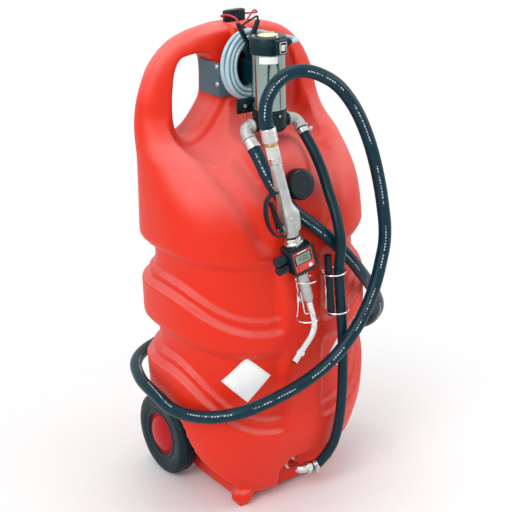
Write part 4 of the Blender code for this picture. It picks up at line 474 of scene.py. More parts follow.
@dataclass(frozen=True)
class Finish:
    """One finish, as a maker would name it. The plain one is moulded plastic or rubber."""

    name: str
    colour: Colour
    roughness: float = 0.45
    metallic: float = 0.0
    grain: float = 420.0
    waviness: float = 2.0
    depth: float = 0.0004
    strength: float = 0.35
    drift: float = 0.12
    scuffs: float = 0.10
    dust: float = 0.06
    coat: float = 0.0
    specular: float = 0.5
    sheen: float = 0.0
    # Strength of the painted sheen: up-facing surfaces made paler, standing in for the light from above
    painted_sheen: float = 0.0

    def material(self) -> bpy.types.Material:
        """Return the finish's material, built once.

        Returns:
            The material.
        """
        known = bpy.data.materials.get(self.name)
        if known is not None:
            return known
        made = bpy.data.materials.new(self.name)
        made.use_nodes = True
        wiring = Wiring(made.node_tree)
        shader = made.node_tree.nodes["Principled BSDF"]
        for name, value in (("Metallic", self.metallic), ("Coat Weight", self.coat),
                            ("Coat Roughness", COAT_ROUGHNESS), ("Specular IOR Level", self.specular),
                            ("Sheen Weight", self.sheen), ("Sheen Roughness", SHEEN_ROUGHNESS)):
            shader.inputs[name].default_value = value
        colour, rough, height = self.surface(wiring)
        scuff = wiring.times(wiring.group(handling_scuffs()).outputs["Mask"], self.scuffs)
        dust = wiring.group(settled_dust(), {"Amount": self.dust}).outputs["Mask"]
        colour = wiring.blend(scuff, colour, (*(0.55 * part + 0.30 for part in self.colour), 1.0))
        colour = wiring.blend(dust, colour, DUST_COLOUR)
        # Painted sheen: colour paled where the surface faces up, standing in for the highlight of the light from
        # above
        if self.painted_sheen > 0.0:
            painted_sheen = wiring.group(painted_top_sheen(), {"Amount": self.painted_sheen}).outputs["Mask"]
            painted_sheen_colour = (*((1.0 - PAINTED_SHEEN_WHITE) * part + PAINTED_SHEEN_WHITE for part in self.colour), 1.0)
            colour = wiring.blend(painted_sheen, colour, painted_sheen_colour)
        rough = wiring.plus(wiring.plus(rough, scuff), wiring.times(dust, DUST_ROUGHNESS))
        wiring.feed(shader.inputs["Base Color"], colour)
        wiring.feed(shader.inputs["Roughness"], rough)
        bump = wiring.node("ShaderNodeBump", None, {"Strength": self.strength, "Distance": self.depth,
                                                    "Height": height})
        wiring.feed(shader.inputs["Normal"], bump.outputs[0])
        return made

    def shade(self, amount: float) -> tuple[float, float, float, float]:
        """Return the finish's colour made darker or lighter by a share."""
        return (*(min(part * (1.0 + amount), 1.0) for part in self.colour), 1.0)

    def surface(self, wiring: Wiring) -> tuple:
        """Return the colour, roughness and height sockets of the bare finish.

        Args:
            wiring: The material's tree.

        Returns:
            Colour, roughness and height.
        """
        grain = wiring.group(moulding_grain(), {"Scale": self.grain, "Waviness": self.waviness})
        return self.toned(wiring, grain, "Drift", (0.0, 1.0), (-0.04, 0.05))

    def toned(self, wiring: Wiring, given: bpy.types.Node, tone: str, ends: tuple[float, float],
              spread: tuple[float, float]) -> tuple:
        """Return the sockets of a finish that follows a group's tone.

        Args:
            wiring: The material's tree.
            given: The group's node.
            tone: The group's output that the colour and the roughness follow.
            ends: The tone's values that give the ends of the roughness.
            spread: How far the roughness goes below and above its middle.

        Returns:
            Colour, roughness and height.
        """
        colour = wiring.blend(given.outputs[tone], self.shade(-self.drift), self.shade(self.drift))
        low, high = (self.roughness + step for step in spread)
        return colour, wiring.span(given.outputs[tone], *ends, low, high), given.outputs["Height"]


@dataclass(frozen=True)
class Galvanised(Finish):
    """Zinc over steel or iron, with its crystals."""

    crystals: float = 240.0

    def surface(self, wiring: Wiring) -> tuple:
        """Return the colour, roughness and height of zinc."""
        zinc = wiring.group(zinc_spangle(), {"Scale": self.crystals})
        return self.toned(wiring, zinc, "Shade", (0.0, 1.0), (-0.07, 0.08))


@dataclass(frozen=True)
class Brushed(Finish):
    """Bright metal with fine lines round it."""

    lines: float = 1400.0

    def surface(self, wiring: Wiring) -> tuple:
        """Return the colour, roughness and height of brushed metal."""
        lines = wiring.group(brushed_lines(), {"Scale": self.lines})
        return self.toned(wiring, lines, "Shade", (0.3, 0.7), (-0.05, 0.07))


@dataclass(frozen=True)
class WrappedHose(Finish):
    """Wrapped rubber hose with a line of plain dashes."""

    side: float = 0.25
    ink: float = 1.0

    def surface(self, wiring: Wiring) -> tuple:
        """Return the colour, roughness and height of wrapped hose.

        Args:
            wiring: The material's tree.

        Returns:
            Colour, roughness and height.
        """
        colour, rough, grain = Finish.surface(self, wiring)
        wrap = wiring.group(hose_wrap(), {"Side": self.side, "Amount": self.ink})
        colour = wiring.blend(wrap.outputs["Ink"], colour, PRINT_COLOUR)
        return colour, rough, wiring.plus(wiring.times(grain, 0.5), wrap.outputs["Height"])


@dataclass(frozen=True)
class Plate(Finish):
    """A bare plate or sticker with a thin line inside its rim, drawn from its UV."""

    line: Colour = (0.45, 0.45, 0.45)
    line_at: float = 0.93
    line_width: float = 0.018

    def surface(self, wiring: Wiring) -> tuple:
        """Return the colour, roughness and height of a bordered plate.

        Args:
            wiring: The material's tree.

        Returns:
            Colour, roughness and height.
        """
        colour, rough, height = Finish.surface(self, wiring)
        across, up = (wiring.apart(axis, 0.5) for axis in wiring.cover())
        reach = wiring.times(wiring.math("MAXIMUM", across, up), 2.0)
        away = wiring.apart(reach, self.line_at)
        edge = wiring.span(away, self.line_width * 0.7, self.line_width, 1.0, 0.0)
        return wiring.blend(edge, colour, (*self.line, 1.0)), rough, height


# The caddy's finishes: colour, roughness, how metallic, and what differs from plain moulded plastic
# The red moulding carries a strong painted sheen on what faces up, standing in for the light from above
RED_MOULDING = Finish("red_moulding", (0.710, 0.018, 0.0002), 0.48, grain=900.0, waviness=0.3, depth=0.0003,
                      strength=0.12, drift=0.015, scuffs=0.02, dust=0.004, specular=0.31, sheen=0.08,
                      painted_sheen=0.95)
WHEEL_RED = Finish("wheel_red", (0.46, 0.006, 0.010), 0.34, grain=700.0, scuffs=0.03, dust=0.008,
                   specular=0.22)
BLACK_MOULDING = Finish("black_moulding", (0.0010, 0.0150, 0.0215), 0.34, grain=900.0, drift=0.2, scuffs=0.02,
                        dust=0.006, specular=0.22)
BLACK_GLOSS = Finish("black_gloss", (0.0010, 0.0100, 0.0145), 0.20, grain=500.0, strength=0.12, coat=0.12,
                     scuffs=0.02, dust=0.006, specular=0.30)
CAP_SATIN = Finish("cap_satin", (0.0010, 0.0200, 0.0290), 0.33, grain=700.0, strength=0.15, drift=0.12,
                   scuffs=0.03, dust=0.06, specular=0.22)
COVER_RUBBER = Finish("cover_rubber", (0.0010, 0.0125, 0.0180), 0.34, grain=700.0, strength=0.2, drift=0.2,
                      scuffs=0.02, dust=0.008, specular=0.32)
TYRE_RUBBER = Finish("tyre_rubber_worn", (0.0010, 0.0160, 0.0230), 0.42, grain=500.0, strength=0.4, drift=0.2,
                     scuffs=0.03, dust=0.012, specular=0.22)
HOSE_RUBBER = WrappedHose("hose_rubber", (0.0010, 0.0260, 0.0420), 0.32, grain=1200.0, waviness=1.0,
                          depth=0.0002, strength=0.3, drift=0.12, scuffs=0.015, dust=0.006, side=0.02,
                          specular=0.20)
SUCTION_RUBBER = WrappedHose("suction_rubber", (0.0010, 0.0230, 0.0360), 0.36, grain=1200.0, waviness=1.0,
                             depth=0.0002, strength=0.3, drift=0.12, scuffs=0.015, dust=0.006, ink=0.0,
                             specular=0.20)
SADDLE_GREY = Finish("saddle_grey", (0.062, 0.120, 0.155), 0.44, grain=300.0, waviness=3.0, drift=0.08,
                     scuffs=0.08, dust=0.03, specular=0.32)
CABLE_GREY = Finish("cable_sheath", (0.41, 0.58, 0.66), 0.30, grain=700.0, strength=0.15, drift=0.05,
                    scuffs=0.04, dust=0.02)
LEAD_RED = Finish("lead_red_sheath", (0.52, 0.018, 0.020), 0.36, grain=900.0, strength=0.15)
LEAD_BLACK = Finish("lead_black_sheath", (0.002, 0.012, 0.018), 0.36, grain=900.0, strength=0.15, scuffs=0.02,
                    dust=0.006, specular=0.3)
GALVANISED = Galvanised("galvanised", (0.46, 0.475, 0.46), 0.48, 0.50, depth=0.0002, strength=0.20,
                        drift=0.05, dust=0.03)
PLATED = Galvanised("zinc_plated", (0.66, 0.66, 0.64), 0.30, 1.0, depth=0.0001, strength=0.10, drift=0.06,
                    dust=0.03, crystals=600.0)
CAST = Finish("sand_cast", (0.46, 0.47, 0.455), 0.44, 0.80, grain=1500.0, waviness=1.2, depth=0.0005,
              strength=0.45, drift=0.08, scuffs=0.25, dust=0.04)
CAN_STEEL = Brushed("can_steel", (0.38, 0.49, 0.46), 0.17, 1.0, depth=0.0001, strength=0.05, drift=0.04,
                    scuffs=0.06, dust=0.01)
AXLE_STEEL = Brushed("axle_steel", (0.42, 0.42, 0.42), 0.34, 1.0, depth=0.0001, strength=0.12, drift=0.12)
BRIGHT = Brushed("bright_tube", (0.74, 0.75, 0.76), 0.20, 1.0, depth=0.0001, strength=0.08, drift=0.06,
                 dust=0.02)
CHROME = Finish("chrome_wire_finish", (0.80, 0.81, 0.82), 0.12, 1.0, grain=1500.0, strength=0.06,
                drift=0.03, scuffs=0.1, dust=0.02)
BRASS = Brushed("turned_brass", (0.66, 0.45, 0.17), 0.30, 1.0, depth=0.0001, strength=0.12, drift=0.12)
COPPER = Brushed("copper_lug", (0.70, 0.26, 0.12), 0.32, 1.0, depth=0.0001, strength=0.12, drift=0.15)
PAPER = Plate("bare_sticker", (0.93, 0.94, 0.94), 0.42, grain=500.0, strength=0.06, drift=0.02, scuffs=0.08,
              dust=0.03, coat=0.2, line=(0.62, 0.62, 0.62))
TIN_PLATE = Plate("bare_nameplate", (0.90, 0.91, 0.91), 0.34, grain=700.0, strength=0.08, drift=0.02,
                  line=(0.5, 0.5, 0.5), line_at=0.90, line_width=0.03)
CREAM_DISC = Finish("cream_sticker", (0.80, 0.74, 0.42), 0.42, grain=500.0, strength=0.08, drift=0.05)
PALE_PLASTIC = Finish("pale_plastic", (0.62, 0.64, 0.64), 0.36, grain=800.0, strength=0.12, drift=0.04)
FACE_RED = Finish("face_red", (0.66, 0.042, 0.030), 0.32, grain=900.0, strength=0.12, drift=0.05, coat=0.2)
GRIP_RED = Finish("grip_red", (0.90, 0.095, 0.030), 0.34, grain=800.0, strength=0.18, drift=0.06)
DISPLAY_GREY = Finish("display_grey", (0.21, 0.275, 0.21), 0.16, grain=300.0, strength=0.03, drift=0.05,
                      scuffs=0.05, coat=0.6)
DIGIT_INK = Finish("digit_ink", (0.012, 0.016, 0.014), 0.30, grain=900.0, strength=0.03)
BARE_WHITE = Finish("bare_white", (0.80, 0.81, 0.81), 0.36, grain=900.0, strength=0.05, drift=0.02)


def facing(origin: Sequence[float], up: Sequence[float], side: Sequence[float] = (1.0, 0.0, 0.0)) -> Matrix:
    """Return the matrix whose Z runs along up and whose X is as near to side as it can be.

    Args:
        origin: The frame's origin.
        up: Direction of its Z.
        side: Direction that its X keeps nearest to.

    Returns:
        The matrix.
    """
    z = Vector(up).normalized()
    x = Vector(side) - z * Vector(side).dot(z)
    x.normalize()
    turned_to = Matrix((x, z.cross(x), z)).transposed().to_4x4()
    turned_to.translation = Vector(origin)
    return turned_to


def settle(piece: bpy.types.Object, finish: Finish, body: Body,
           stands_for: Sequence[str] = ()) -> bpy.types.Object:
    """Dress a finished piece and say what it rides on.

    Args:
        piece: The piece, in place.
        finish: Its finish.
        body: The body that it rides on.
        stands_for: The solids that it replaces.

    Returns:
        The piece.
    """
    piece.data.materials.clear()
    piece.data.materials.append(finish.material())
    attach(piece, body.value)
    if stands_for:
        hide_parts(*stands_for)
    LOG.info("%s: %d faces on %s", piece.name, len(piece.data.polygons), body.value)
    return piece


def shaded(mesh: bpy.types.Mesh, angle: float) -> None:
    """Shade a mesh smooth, with the edges sharper than an angle in degrees kept."""
    mesh.shade_smooth()
    mesh.set_sharp_from_angle(angle=math.radians(angle))


def linked(name: str, shape: bmesh.types.BMesh) -> bpy.types.Object:
    """Return a new object of a shape, which is used up.

    Args:
        name: The object's name.
        shape: Its geometry.

    Returns:
        The object.
    """
    mesh = bpy.data.meshes.new(name)
    shape.to_mesh(mesh)
    shape.free()
    made = bpy.data.objects.new(name, mesh)
    bpy.context.scene.collection.objects.link(made)
    return made


def piece_of(name: str, shape: bmesh.types.BMesh, finish: Finish, body: Body = Body.CADDY,
             matrix: Matrix | None = None, angle: float = PIECE_SHARP,
             stands_for: Sequence[str] = (), bevel: float = 0.0) -> bpy.types.Object:
    """Make a finished piece of a shape.

    Args:
        name: The piece's name.
        shape: Its geometry, which is used up.
        finish: Its finish.
        body: The body that it rides on.
        matrix: Where the shape goes.
        angle: Edges sharper than this many degrees stay sharp.
        stands_for: The solids that it replaces.
        bevel: Width of its rounded edges, 0 for none.

    Returns:
        The piece.
    """
    bmesh.ops.remove_doubles(shape, verts=shape.verts, dist=MERGE)
    if matrix is not None:
        bmesh.ops.transform(shape, matrix=matrix, verts=shape.verts)
    bmesh.ops.recalc_face_normals(shape, faces=shape.faces)
    made = linked(name, shape)
    if bevel > 0.0:
        round_edges(made, bevel)
    shaded(made.data, angle)
    return settle(made, finish, body, stands_for)


def baked(target: bpy.types.Object) -> None:
    """Turn a piece's modifiers into plain mesh.

    Args:
        target: The piece.
    """
    bpy.context.view_layer.update()
    seen = target.evaluated_get(bpy.context.evaluated_depsgraph_get())
    mesh = bpy.data.meshes.new_from_object(seen)
    target.modifiers.clear()
    target.data = mesh


def round_edges(target: bpy.types.Object, width: float) -> None:
    """Round a piece's edges and keep its large faces flat.

    Args:
        target: The piece.
        width: Width of the rounding.
    """
    rounding = target.modifiers.new("edges", "BEVEL")
    rounding.width = width
    rounding.segments = 2
    rounding.limit_method = "ANGLE"
    rounding.angle_limit = ROUNDED_FROM
    rounding.harden_normals = False
    baked(target)


def copy_of(node: str) -> bmesh.types.BMesh:
    """Return a merged copy of a solid's mesh, with its flat faces made whole.

    Args:
        node: The solid.

    Returns:
        Its shape.
    """
    shape = bmesh.new()
    shape.from_mesh(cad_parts[node].data)
    bmesh.ops.remove_doubles(shape, verts=shape.verts, dist=MERGE * 3.0)
    bmesh.ops.dissolve_limit(shape, angle_limit=FLAT_WITHIN, verts=shape.verts, edges=shape.edges)
    return shape


def refined(node: str, finish: Finish, body: Body = Body.CADDY,
            bevel: float = FINE_EDGE) -> None:
    """Replace a solid by its own shape with rounded edges and a full finish.

    Args:
        node: The solid.
        finish: The piece's finish.
        body: The body that it rides on.
        bevel: Width of the rounded edges.
    """
    piece_of(node + "_finished", copy_of(node), finish, body, stands_for=(node,), bevel=bevel)


def dress(node: str, finish: Finish) -> None:
    """Give a solid that stays a full finish.

    Args:
        node: The solid.
        finish: Its finish.
    """
    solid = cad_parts[node]
    if not solid.material_slots:
        solid.data.materials.append(finish.material())
    for holder in solid.material_slots:
        holder.material = finish.material()
    LOG.info("%s dressed", node)


def turned(profile: Iterable[tuple[float, float]], steps: int = 72) -> bmesh.types.BMesh:
    """Return a profile of (radius, height) points turned round Z.

    Args:
        profile: The points.
        steps: How many sides the shape has.

    Returns:
        The shape.
    """
    shape = bmesh.new()
    points = [shape.verts.new((radius, 0.0, height)) for radius, height in profile]
    for first, second in zip(points, points[1:]):
        shape.edges.new((first, second))
    bmesh.ops.spin(shape, geom=shape.verts[:] + shape.edges[:], cent=(0, 0, 0), axis=(0, 0, 1),
                   angle=2.0 * math.pi, steps=steps, use_merge=True)
    bmesh.ops.remove_doubles(shape, verts=shape.verts, dist=MERGE)
    return shape


def rod(radius: float, low: float, high: float, chamfer: float = 0.0, steps: int = 48) -> bmesh.types.BMesh:
    """Return a round bar along Z with chamfered ends.

    Args:
        radius: Its radius.
        low: Its lower end.
        high: Its upper end.
        chamfer: Width of the chamfer, 0 for the least.
        steps: How many sides it has.

    Returns:
        The bar.
    """
    edge = max(chamfer, radius * 0.02)
    return turned(((0.0, high), (radius - edge, high), (radius, high - edge), (radius, low + edge),
                   (radius - edge, low), (0.0, low)), steps)


def join_rings(shape: bmesh.types.BMesh, rings: Sequence[Sequence[bmesh.types.BMVert]],
               closed: bool = False) -> None:
    """Join rings of vertices by faces, and the last ring to the first if closed.

    Args:
        shape: What the faces are added to.
        rings: Rings with equal numbers of vertices.
        closed: Whether the last ring is joined to the first.
    """
    pairs = list(zip(rings, rings[1:]))
    if closed:
        pairs.append((rings[-1], rings[0]))
    for low, high in pairs:
        count = len(low)
        for number in range(count):
            after = (number + 1) % count
            shape.faces.new((low[number], low[after], high[after], high[number]))


def lofted(rings: Sequence[Sequence[Vector]], closed: bool = False) -> bmesh.types.BMesh:
    """Return a capped solid through rings of equal numbers of points, or a closed band if told.

    Args:
        rings: The points of each ring.
        closed: Whether it is a closed band.

    Returns:
        The shape.
    """
    shape = bmesh.new()
    rows = [[shape.verts.new(point) for point in points] for points in rings]
    join_rings(shape, rows, closed)
    if not closed:
        shape.faces.new(list(reversed(rows[0])))
        shape.faces.new(rows[-1])
    return shape


def hexagonal(across: float, low: float, high: float) -> bmesh.types.BMesh:
    """Return a hexagon nut along Z with chamfered corners.

    Args:
        across: Width across the flats.
        low: Lower end.
        high: Upper end.

    Returns:
        The nut.
    """
    corner = across / math.sqrt(3.0)
    crown = (corner - across / 2.0) * NUT_CROWN
    heights = ((low, NUT_END), (low + crown * 0.5, 1.0), (high - crown * 0.5, 1.0), (high, NUT_END))
    turns = [math.pi * number / 3.0 for number in range(6)]
    return lofted([[Vector((corner * inset * math.cos(turn), corner * inset * math.sin(turn), height))
                    for turn in turns] for height, inset in heights])


def block(size: Sequence[float], centre: Sequence[float] = (0.0, 0.0, 0.0)) -> bmesh.types.BMesh:
    """Return a plain box, to be rounded or cut.

    Args:
        size: Its size along X, Y and Z.
        centre: Its middle.

    Returns:
        The box.
    """
    shape = bmesh.new()
    bmesh.ops.create_cube(shape, size=1.0)
    bmesh.ops.scale(shape, vec=Vector(size), verts=shape.verts)
    bmesh.ops.translate(shape, vec=Vector(centre), verts=shape.verts)
    return shape


def bevelled(shape: bmesh.types.BMesh, edge: float, segments: int = 2) -> bmesh.types.BMesh:
    """Return a shape after rounding all its edges."""
    bmesh.ops.bevel(shape, geom=shape.edges[:], offset=edge, segments=segments, affect="EDGES")
    return shape


def prism(outline: Sequence[tuple[float, float]], low: float, high: float) -> bmesh.types.BMesh:
    """Return an outline in XY drawn up along Z."""
    return lofted([[Vector((x, y, height)) for x, y in outline] for height in (low, high)])


def rounded_outline(width: float, height: float, radius: float, steps: int = 6) -> list[tuple[float, float]]:
    """Return a rectangle's outline with round corners, middle at the origin.

    Args:
        width: Its width.
        height: Its height.
        radius: Radius of its corners.
        steps: Steps round each corner.

    Returns:
        Its points.
    """
    points = []
    for turn, (x, y) in enumerate(((1, 1), (-1, 1), (-1, -1), (1, -1))):
        for step in range(steps + 1):
            angle = math.pi / 2.0 * (turn + step / steps)
            points.append((x * (width / 2.0 - radius) + radius * math.cos(angle),
                           y * (height / 2.0 - radius) + radius * math.sin(angle)))
    return points


def squared(angle: float, squareness: float) -> tuple[float, float]:
    """Return a point of the circle of radius 1 that is squared off.

    Args:
        angle: Where the point is, in radians.
        squareness: 2 for a circle, and more for a squarer outline.

    Returns:
        Its X and Y.
    """
    x, y = math.cos(angle), math.sin(angle)
    reach = (abs(x) ** squareness + abs(y) ** squareness) ** (-1.0 / squareness)
    return x * reach, y * reach


def joined(shapes: Sequence[bmesh.types.BMesh]) -> bmesh.types.BMesh:
    """Return one shape that holds several, which are used up.

    Args:
        shapes: The shapes.

    Returns:
        The whole.
    """
    whole = bmesh.new()
    for shape in shapes:
        mesh = bpy.data.meshes.new("joined")
        shape.to_mesh(mesh)
        shape.free()
        whole.from_mesh(mesh)
        bpy.data.meshes.remove(mesh)
    return whole


def moved(shape: bmesh.types.BMesh, matrix: Matrix) -> bmesh.types.BMesh:
    """Return a shape after moving it."""
    bmesh.ops.transform(shape, matrix=matrix, verts=shape.verts)
    return shape


def cubic(t: float, span: float, low: float | Vector, high: float | Vector, slope_low: float | Vector,
          slope_high: float | Vector) -> float | Vector:
    """Return what lies between two values on the cubic that has given slopes at them.

    Args:
        t: Share of the way.
        span: Length of the way.
        low: Value at its start.
        high: Value at its end.
        slope_low: Slope at its start.
        slope_high: Slope at its end.

    Returns:
        The value.
    """
    return ((2 * t ** 3 - 3 * t ** 2 + 1) * low + (t ** 3 - 2 * t ** 2 + t) * span * slope_low
            + (-2 * t ** 3 + 3 * t ** 2) * high + (t ** 3 - t ** 2) * span * slope_high)


def hermite(points: Sequence[Sequence[float]], count: int) -> list[Vector]:
    """Return points spaced evenly along a smooth curve.

    Args:
        points: What the curve passes through.
        count: How many points to return.

    Returns:
        The points, ends included.
    """
    knots = [Vector(point) for point in points]
    lengths = [0.0]
    for first, second in zip(knots, knots[1:]):
        lengths.append(lengths[-1] + (second - first).length)
    slopes = []
    for number in range(len(knots)):
        before = max(number - 1, 0)
        after = min(number + 1, len(knots) - 1)
        slopes.append((knots[after] - knots[before]) / (lengths[after] - lengths[before]))
    fine = []
    for number in range(len(knots) - 1):
        span = lengths[number + 1] - lengths[number]
        for step in range(CURVE_STEPS):
            fine.append(cubic(step / CURVE_STEPS, span, knots[number], knots[number + 1], slopes[number],
                              slopes[number + 1]))
    fine.append(knots[-1])
    return evenly(fine, count)


def evenly(fine: Sequence[Vector], count: int) -> list[Vector]:
    """Return count points spaced evenly along a line of points.

    Args:
        fine: The line's points.
        count: How many points to return.

    Returns:
        The points, ends included.
    """
    run = [0.0]
    for first, second in zip(fine, fine[1:]):
        run.append(run[-1] + (second - first).length)
    picked = []
    index = 0
    for number in range(count):
        goal = run[-1] * number / (count - 1)
        while index < len(run) - 2 and run[index + 1] < goal:
            index += 1
        share = (goal - run[index]) / max(run[index + 1] - run[index], MERGE)
        picked.append(fine[index].lerp(fine[index + 1], min(share, 1.0)))
    return picked


def rounded_corner(before: Sequence[float], at: Sequence[float], after: Sequence[float], radius: float,
                   count: int = 14) -> list[Vector]:
    """Return the points of a round bend that cuts the corner between three points.

    Args:
        before: Point before the corner.
        at: The corner.
        after: Point after it.
        radius: Radius of the bend.
        count: How many points to return.

    Returns:
        The bend's points.
    """
    into = (Vector(at) - Vector(before)).normalized()
    out = (Vector(after) - Vector(at)).normalized()
    turn = into.angle(out)
    start = Vector(at) - into * radius * math.tan(turn / 2.0)
    axis = into.cross(out).normalized()
    middle = start + axis.cross(into) * radius
    return [middle + Matrix.Rotation(turn * number / (count - 1), 3, axis) @ (start - middle)
            for number in range(count)]


def tube(points: Sequence[Vector], radius: float | Sequence[float], sides: int = 20,
         closed: bool = False) -> bmesh.types.BMesh:
    """Return a round tube along points, with U in metres along it and V once round it.

    V starts on the side that is printed, as far as the tube's own twist lets it.

    Args:
        points: Its centre line.
        radius: One radius, or one for each point.
        sides: How many sides it has.
        closed: Whether the line is a loop.

    Returns:
        The tube.
    """
    shape = bmesh.new()
    cover = shape.loops.layers.uv.new("UVMap")
    count = len(points)
    radii = [radius] * count if isinstance(radius, float) else list(radius)
    rings = []
    away = None
    run = [0.0]
    for number, point in enumerate(points):
        before = points[number - 1] if closed or number > 0 else point
        after = points[(number + 1) % count] if closed or number < count - 1 else point
        along = (after - before).normalized()
        toward = PRINT_SIDE - along * PRINT_SIDE.dot(along)
        if away is None:
            away = toward if toward.length > PRINT_LEAST else along.orthogonal()
        away = (away - along * away.dot(along)).normalized()
        away = (away * PRINT_HOLD + toward).normalized()
        over = along.cross(away)
        rings.append([shape.verts.new(point + (away * math.cos(2.0 * math.pi * step / sides)
                                               + over * math.sin(2.0 * math.pi * step / sides))
                                      * radii[number]) for step in range(sides)])
        if number > 0:
            run.append(run[-1] + (point - points[number - 1]).length)
    last = count if closed else count - 1
    for number in range(last):
        low, high = rings[number], rings[(number + 1) % count]
        high_u = run[number + 1] if number + 1 < count else run[-1] + (points[0] - points[-1]).length
        for step in range(sides):
            after = (step + 1) % sides
            face = shape.faces.new((low[step], low[after], high[after], high[step]))
            corners = ((run[number], step), (run[number], step + 1), (high_u, step + 1), (high_u, step))
            for loop, (along_it, round_it) in zip(face.loops, corners):
                loop[cover].uv = (along_it, round_it / sides)
    if not closed:
        shape.faces.new(list(reversed(rings[0])))
        shape.faces.new(rings[-1])
    return shape


class Repeat(Enum):
    """How a repeated detail is laid out."""

    ROUND = "round"
    ROW = "row"
    SPOTS = "spots"


def repeat_tree(way: Repeat) -> bpy.types.NodeTree:
    """Return the Geometry Nodes tree that repeats one detail.

    Args:
        way: Round Z, in a row, or on the carrier's own points along their "heading".

    Returns:
        The tree, with its named inputs.
    """
    name = "repeat_" + way.value
    known = bpy.data.node_groups.get(name)
    if known is not None:
        return known
    tree = bpy.data.node_groups.new(name, "GeometryNodeTree")
    tree.is_modifier = True
    for title, kind in (("Geometry", "NodeSocketGeometry"), ("Detail", "NodeSocketObject"),
                        ("Count", "NodeSocketInt"), ("Radius", "NodeSocketFloat"),
                        ("Step", "NodeSocketVector"), ("Finish", "NodeSocketMaterial")):
        tree.interface.new_socket(title, in_out="INPUT", socket_type=kind)
    tree.interface.new_socket("Geometry", in_out="OUTPUT", socket_type="NodeSocketGeometry")
    wiring = Wiring(tree)
    given = wiring.node("NodeGroupInput")
    detail = wiring.node("GeometryNodeObjectInfo", {"transform_space": "ORIGINAL"},
                         {"Object": given.outputs["Detail"]})
    if way is Repeat.ROUND:
        points = wiring.node("GeometryNodeMeshCircle", None, {"Vertices": given.outputs["Count"],
                                                              "Radius": given.outputs["Radius"]}).outputs[0]
        heading = wiring.node("GeometryNodeInputPosition").outputs[0]
        turn = wiring.node("FunctionNodeAlignRotationToVector", {"axis": "X"}, {"Vector": heading}).outputs[0]
    elif way is Repeat.ROW:
        points = wiring.node("GeometryNodeMeshLine", {"mode": "OFFSET"},
                             {"Count": given.outputs["Count"], "Offset": given.outputs["Step"]}).outputs[0]
        turn = None
    else:
        points = given.outputs["Geometry"]
        heading = wiring.node("GeometryNodeInputNamedAttribute", {"data_type": "FLOAT_VECTOR"},
                              {"Name": "heading"}).outputs[0]
        turn = wiring.node("FunctionNodeAlignRotationToVector", {"axis": "Z"}, {"Vector": heading}).outputs[0]
    spread = wiring.node("GeometryNodeInstanceOnPoints", None, {"Points": points,
                                                                "Instance": detail.outputs["Geometry"]})
    if turn is not None:
        wiring.feed(spread.inputs["Rotation"], turn)
    real = wiring.node("GeometryNodeRealizeInstances", None, {0: spread.outputs[0]})
    dressed = wiring.node("GeometryNodeSetMaterial", None, {"Geometry": real.outputs[0],
                                                            "Material": given.outputs["Finish"]})
    wiring.feed(wiring.node("NodeGroupOutput").inputs[0], dressed.outputs[0])
    return tree


@dataclass(frozen=True)
class Layout:
    """Where the copies of a repeated detail go.

    A round layout puts count copies at radius round Z, with each copy's X outwards. A row puts
    them step apart. Spots are (place, direction) pairs, with each copy's Z along its direction.
    """

    way: Repeat
    count: int = 1
    radius: float = 0.0
    step: Point = (0.0, 0.0, 0.0)
    spots: tuple = ()
    matrix: Matrix = field(default_factory=lambda: Matrix.Identity(4))

    def carrier(self, name: str) -> bpy.types.Mesh:
        """Return the mesh that the layout grows on: its spots, or nothing.

        Args:
            name: The mesh's name.

        Returns:
            The mesh, with each spot's heading.
        """
        mesh = bpy.data.meshes.new(name)
        mesh.from_pydata([tuple(place) for place, _ in self.spots], [], [])
        if self.spots:
            heading = mesh.attributes.new("heading", "FLOAT_VECTOR", "POINT")
            for number, (_, way) in enumerate(self.spots):
                heading.data[number].vector = Vector(way).normalized()
        return mesh


def repeated(name: str, detail: bmesh.types.BMesh, layout: Layout, finish: Finish, body: Body = Body.CADDY) -> None:
    """Make a piece of one detail repeated over a layout.

    Args:
        name: The piece's name.
        detail: The detail, which is used up.
        layout: Where its copies go.
        finish: Their finish.
        body: The body that they ride on.
    """
    bmesh.ops.recalc_face_normals(detail, faces=detail.faces)
    pattern = linked(name + "_detail", detail)
    carrier = bpy.data.objects.new(name, layout.carrier(name))
    bpy.context.scene.collection.objects.link(carrier)
    tree = repeat_tree(layout.way)
    modifier = carrier.modifiers.new("repeat", "NODES")
    modifier.node_group = tree
    keys = {item.name: item.identifier for item in tree.interface.items_tree if item.in_out == "INPUT"}
    for title, value in (("Detail", pattern), ("Count", layout.count), ("Radius", layout.radius),
                         ("Step", layout.step), ("Finish", finish.material())):
        modifier[keys[title]] = value
    baked(carrier)
    bpy.data.objects.remove(pattern, do_unlink=True)
    carrier.data.transform(layout.matrix)
    shaded(carrier.data, DETAIL_SHARP)
    settle(carrier, finish, body)


class ScrewHead(Enum):
    """Heads of the caddy's small screws."""

    PAN = "pan"
    SOCKET = "socket"


@dataclass(frozen=True)
class Screw:
    """One size of plated screw: the form, radius and height of its head."""

    head: ScrewHead
    radius: float
    height: float

    def shape(self) -> bmesh.types.BMesh:
        """Return one screw head along Z, with its drive.

        Returns:
            The head.
        """
        radius, height = self.radius, self.height
        foot = ((radius, -height * 0.2), (0.0, -height * 0.2))
        if self.head is ScrewHead.SOCKET:
            return turned(((0.0, height * 0.35), (radius * 0.48, height * 0.35),
                           (radius * 0.52, height * 0.95), (radius * 0.86, height), (radius, height * 0.86),
                           *foot), 24)
        dome = [(0.0, height)]
        for step in range(1, 6):
            angle = math.pi / 2.0 * step / 5.0
            dome.append((radius * math.sin(angle), height * (0.35 + 0.65 * math.cos(angle))))
        bars = [block((wide, deep, height * 0.16), (0.0, 0.0, height * 0.985))
                for wide, deep in ((radius * 1.2, radius * 0.26), (radius * 0.26, radius * 1.2))]
        return joined([turned((*dome, *foot), 24), *bars])

    def place(self, name: str, spots: Sequence[tuple[Sequence[float], Sequence[float]]]) -> None:
        """Make a group of these screws as one piece.

        Args:
            name: The group's name.
            spots: (place, direction) of each screw.
        """
        repeated(name, self.shape(), Layout(Repeat.SPOTS, spots=tuple(spots)), PLATED, Body.CADDY)


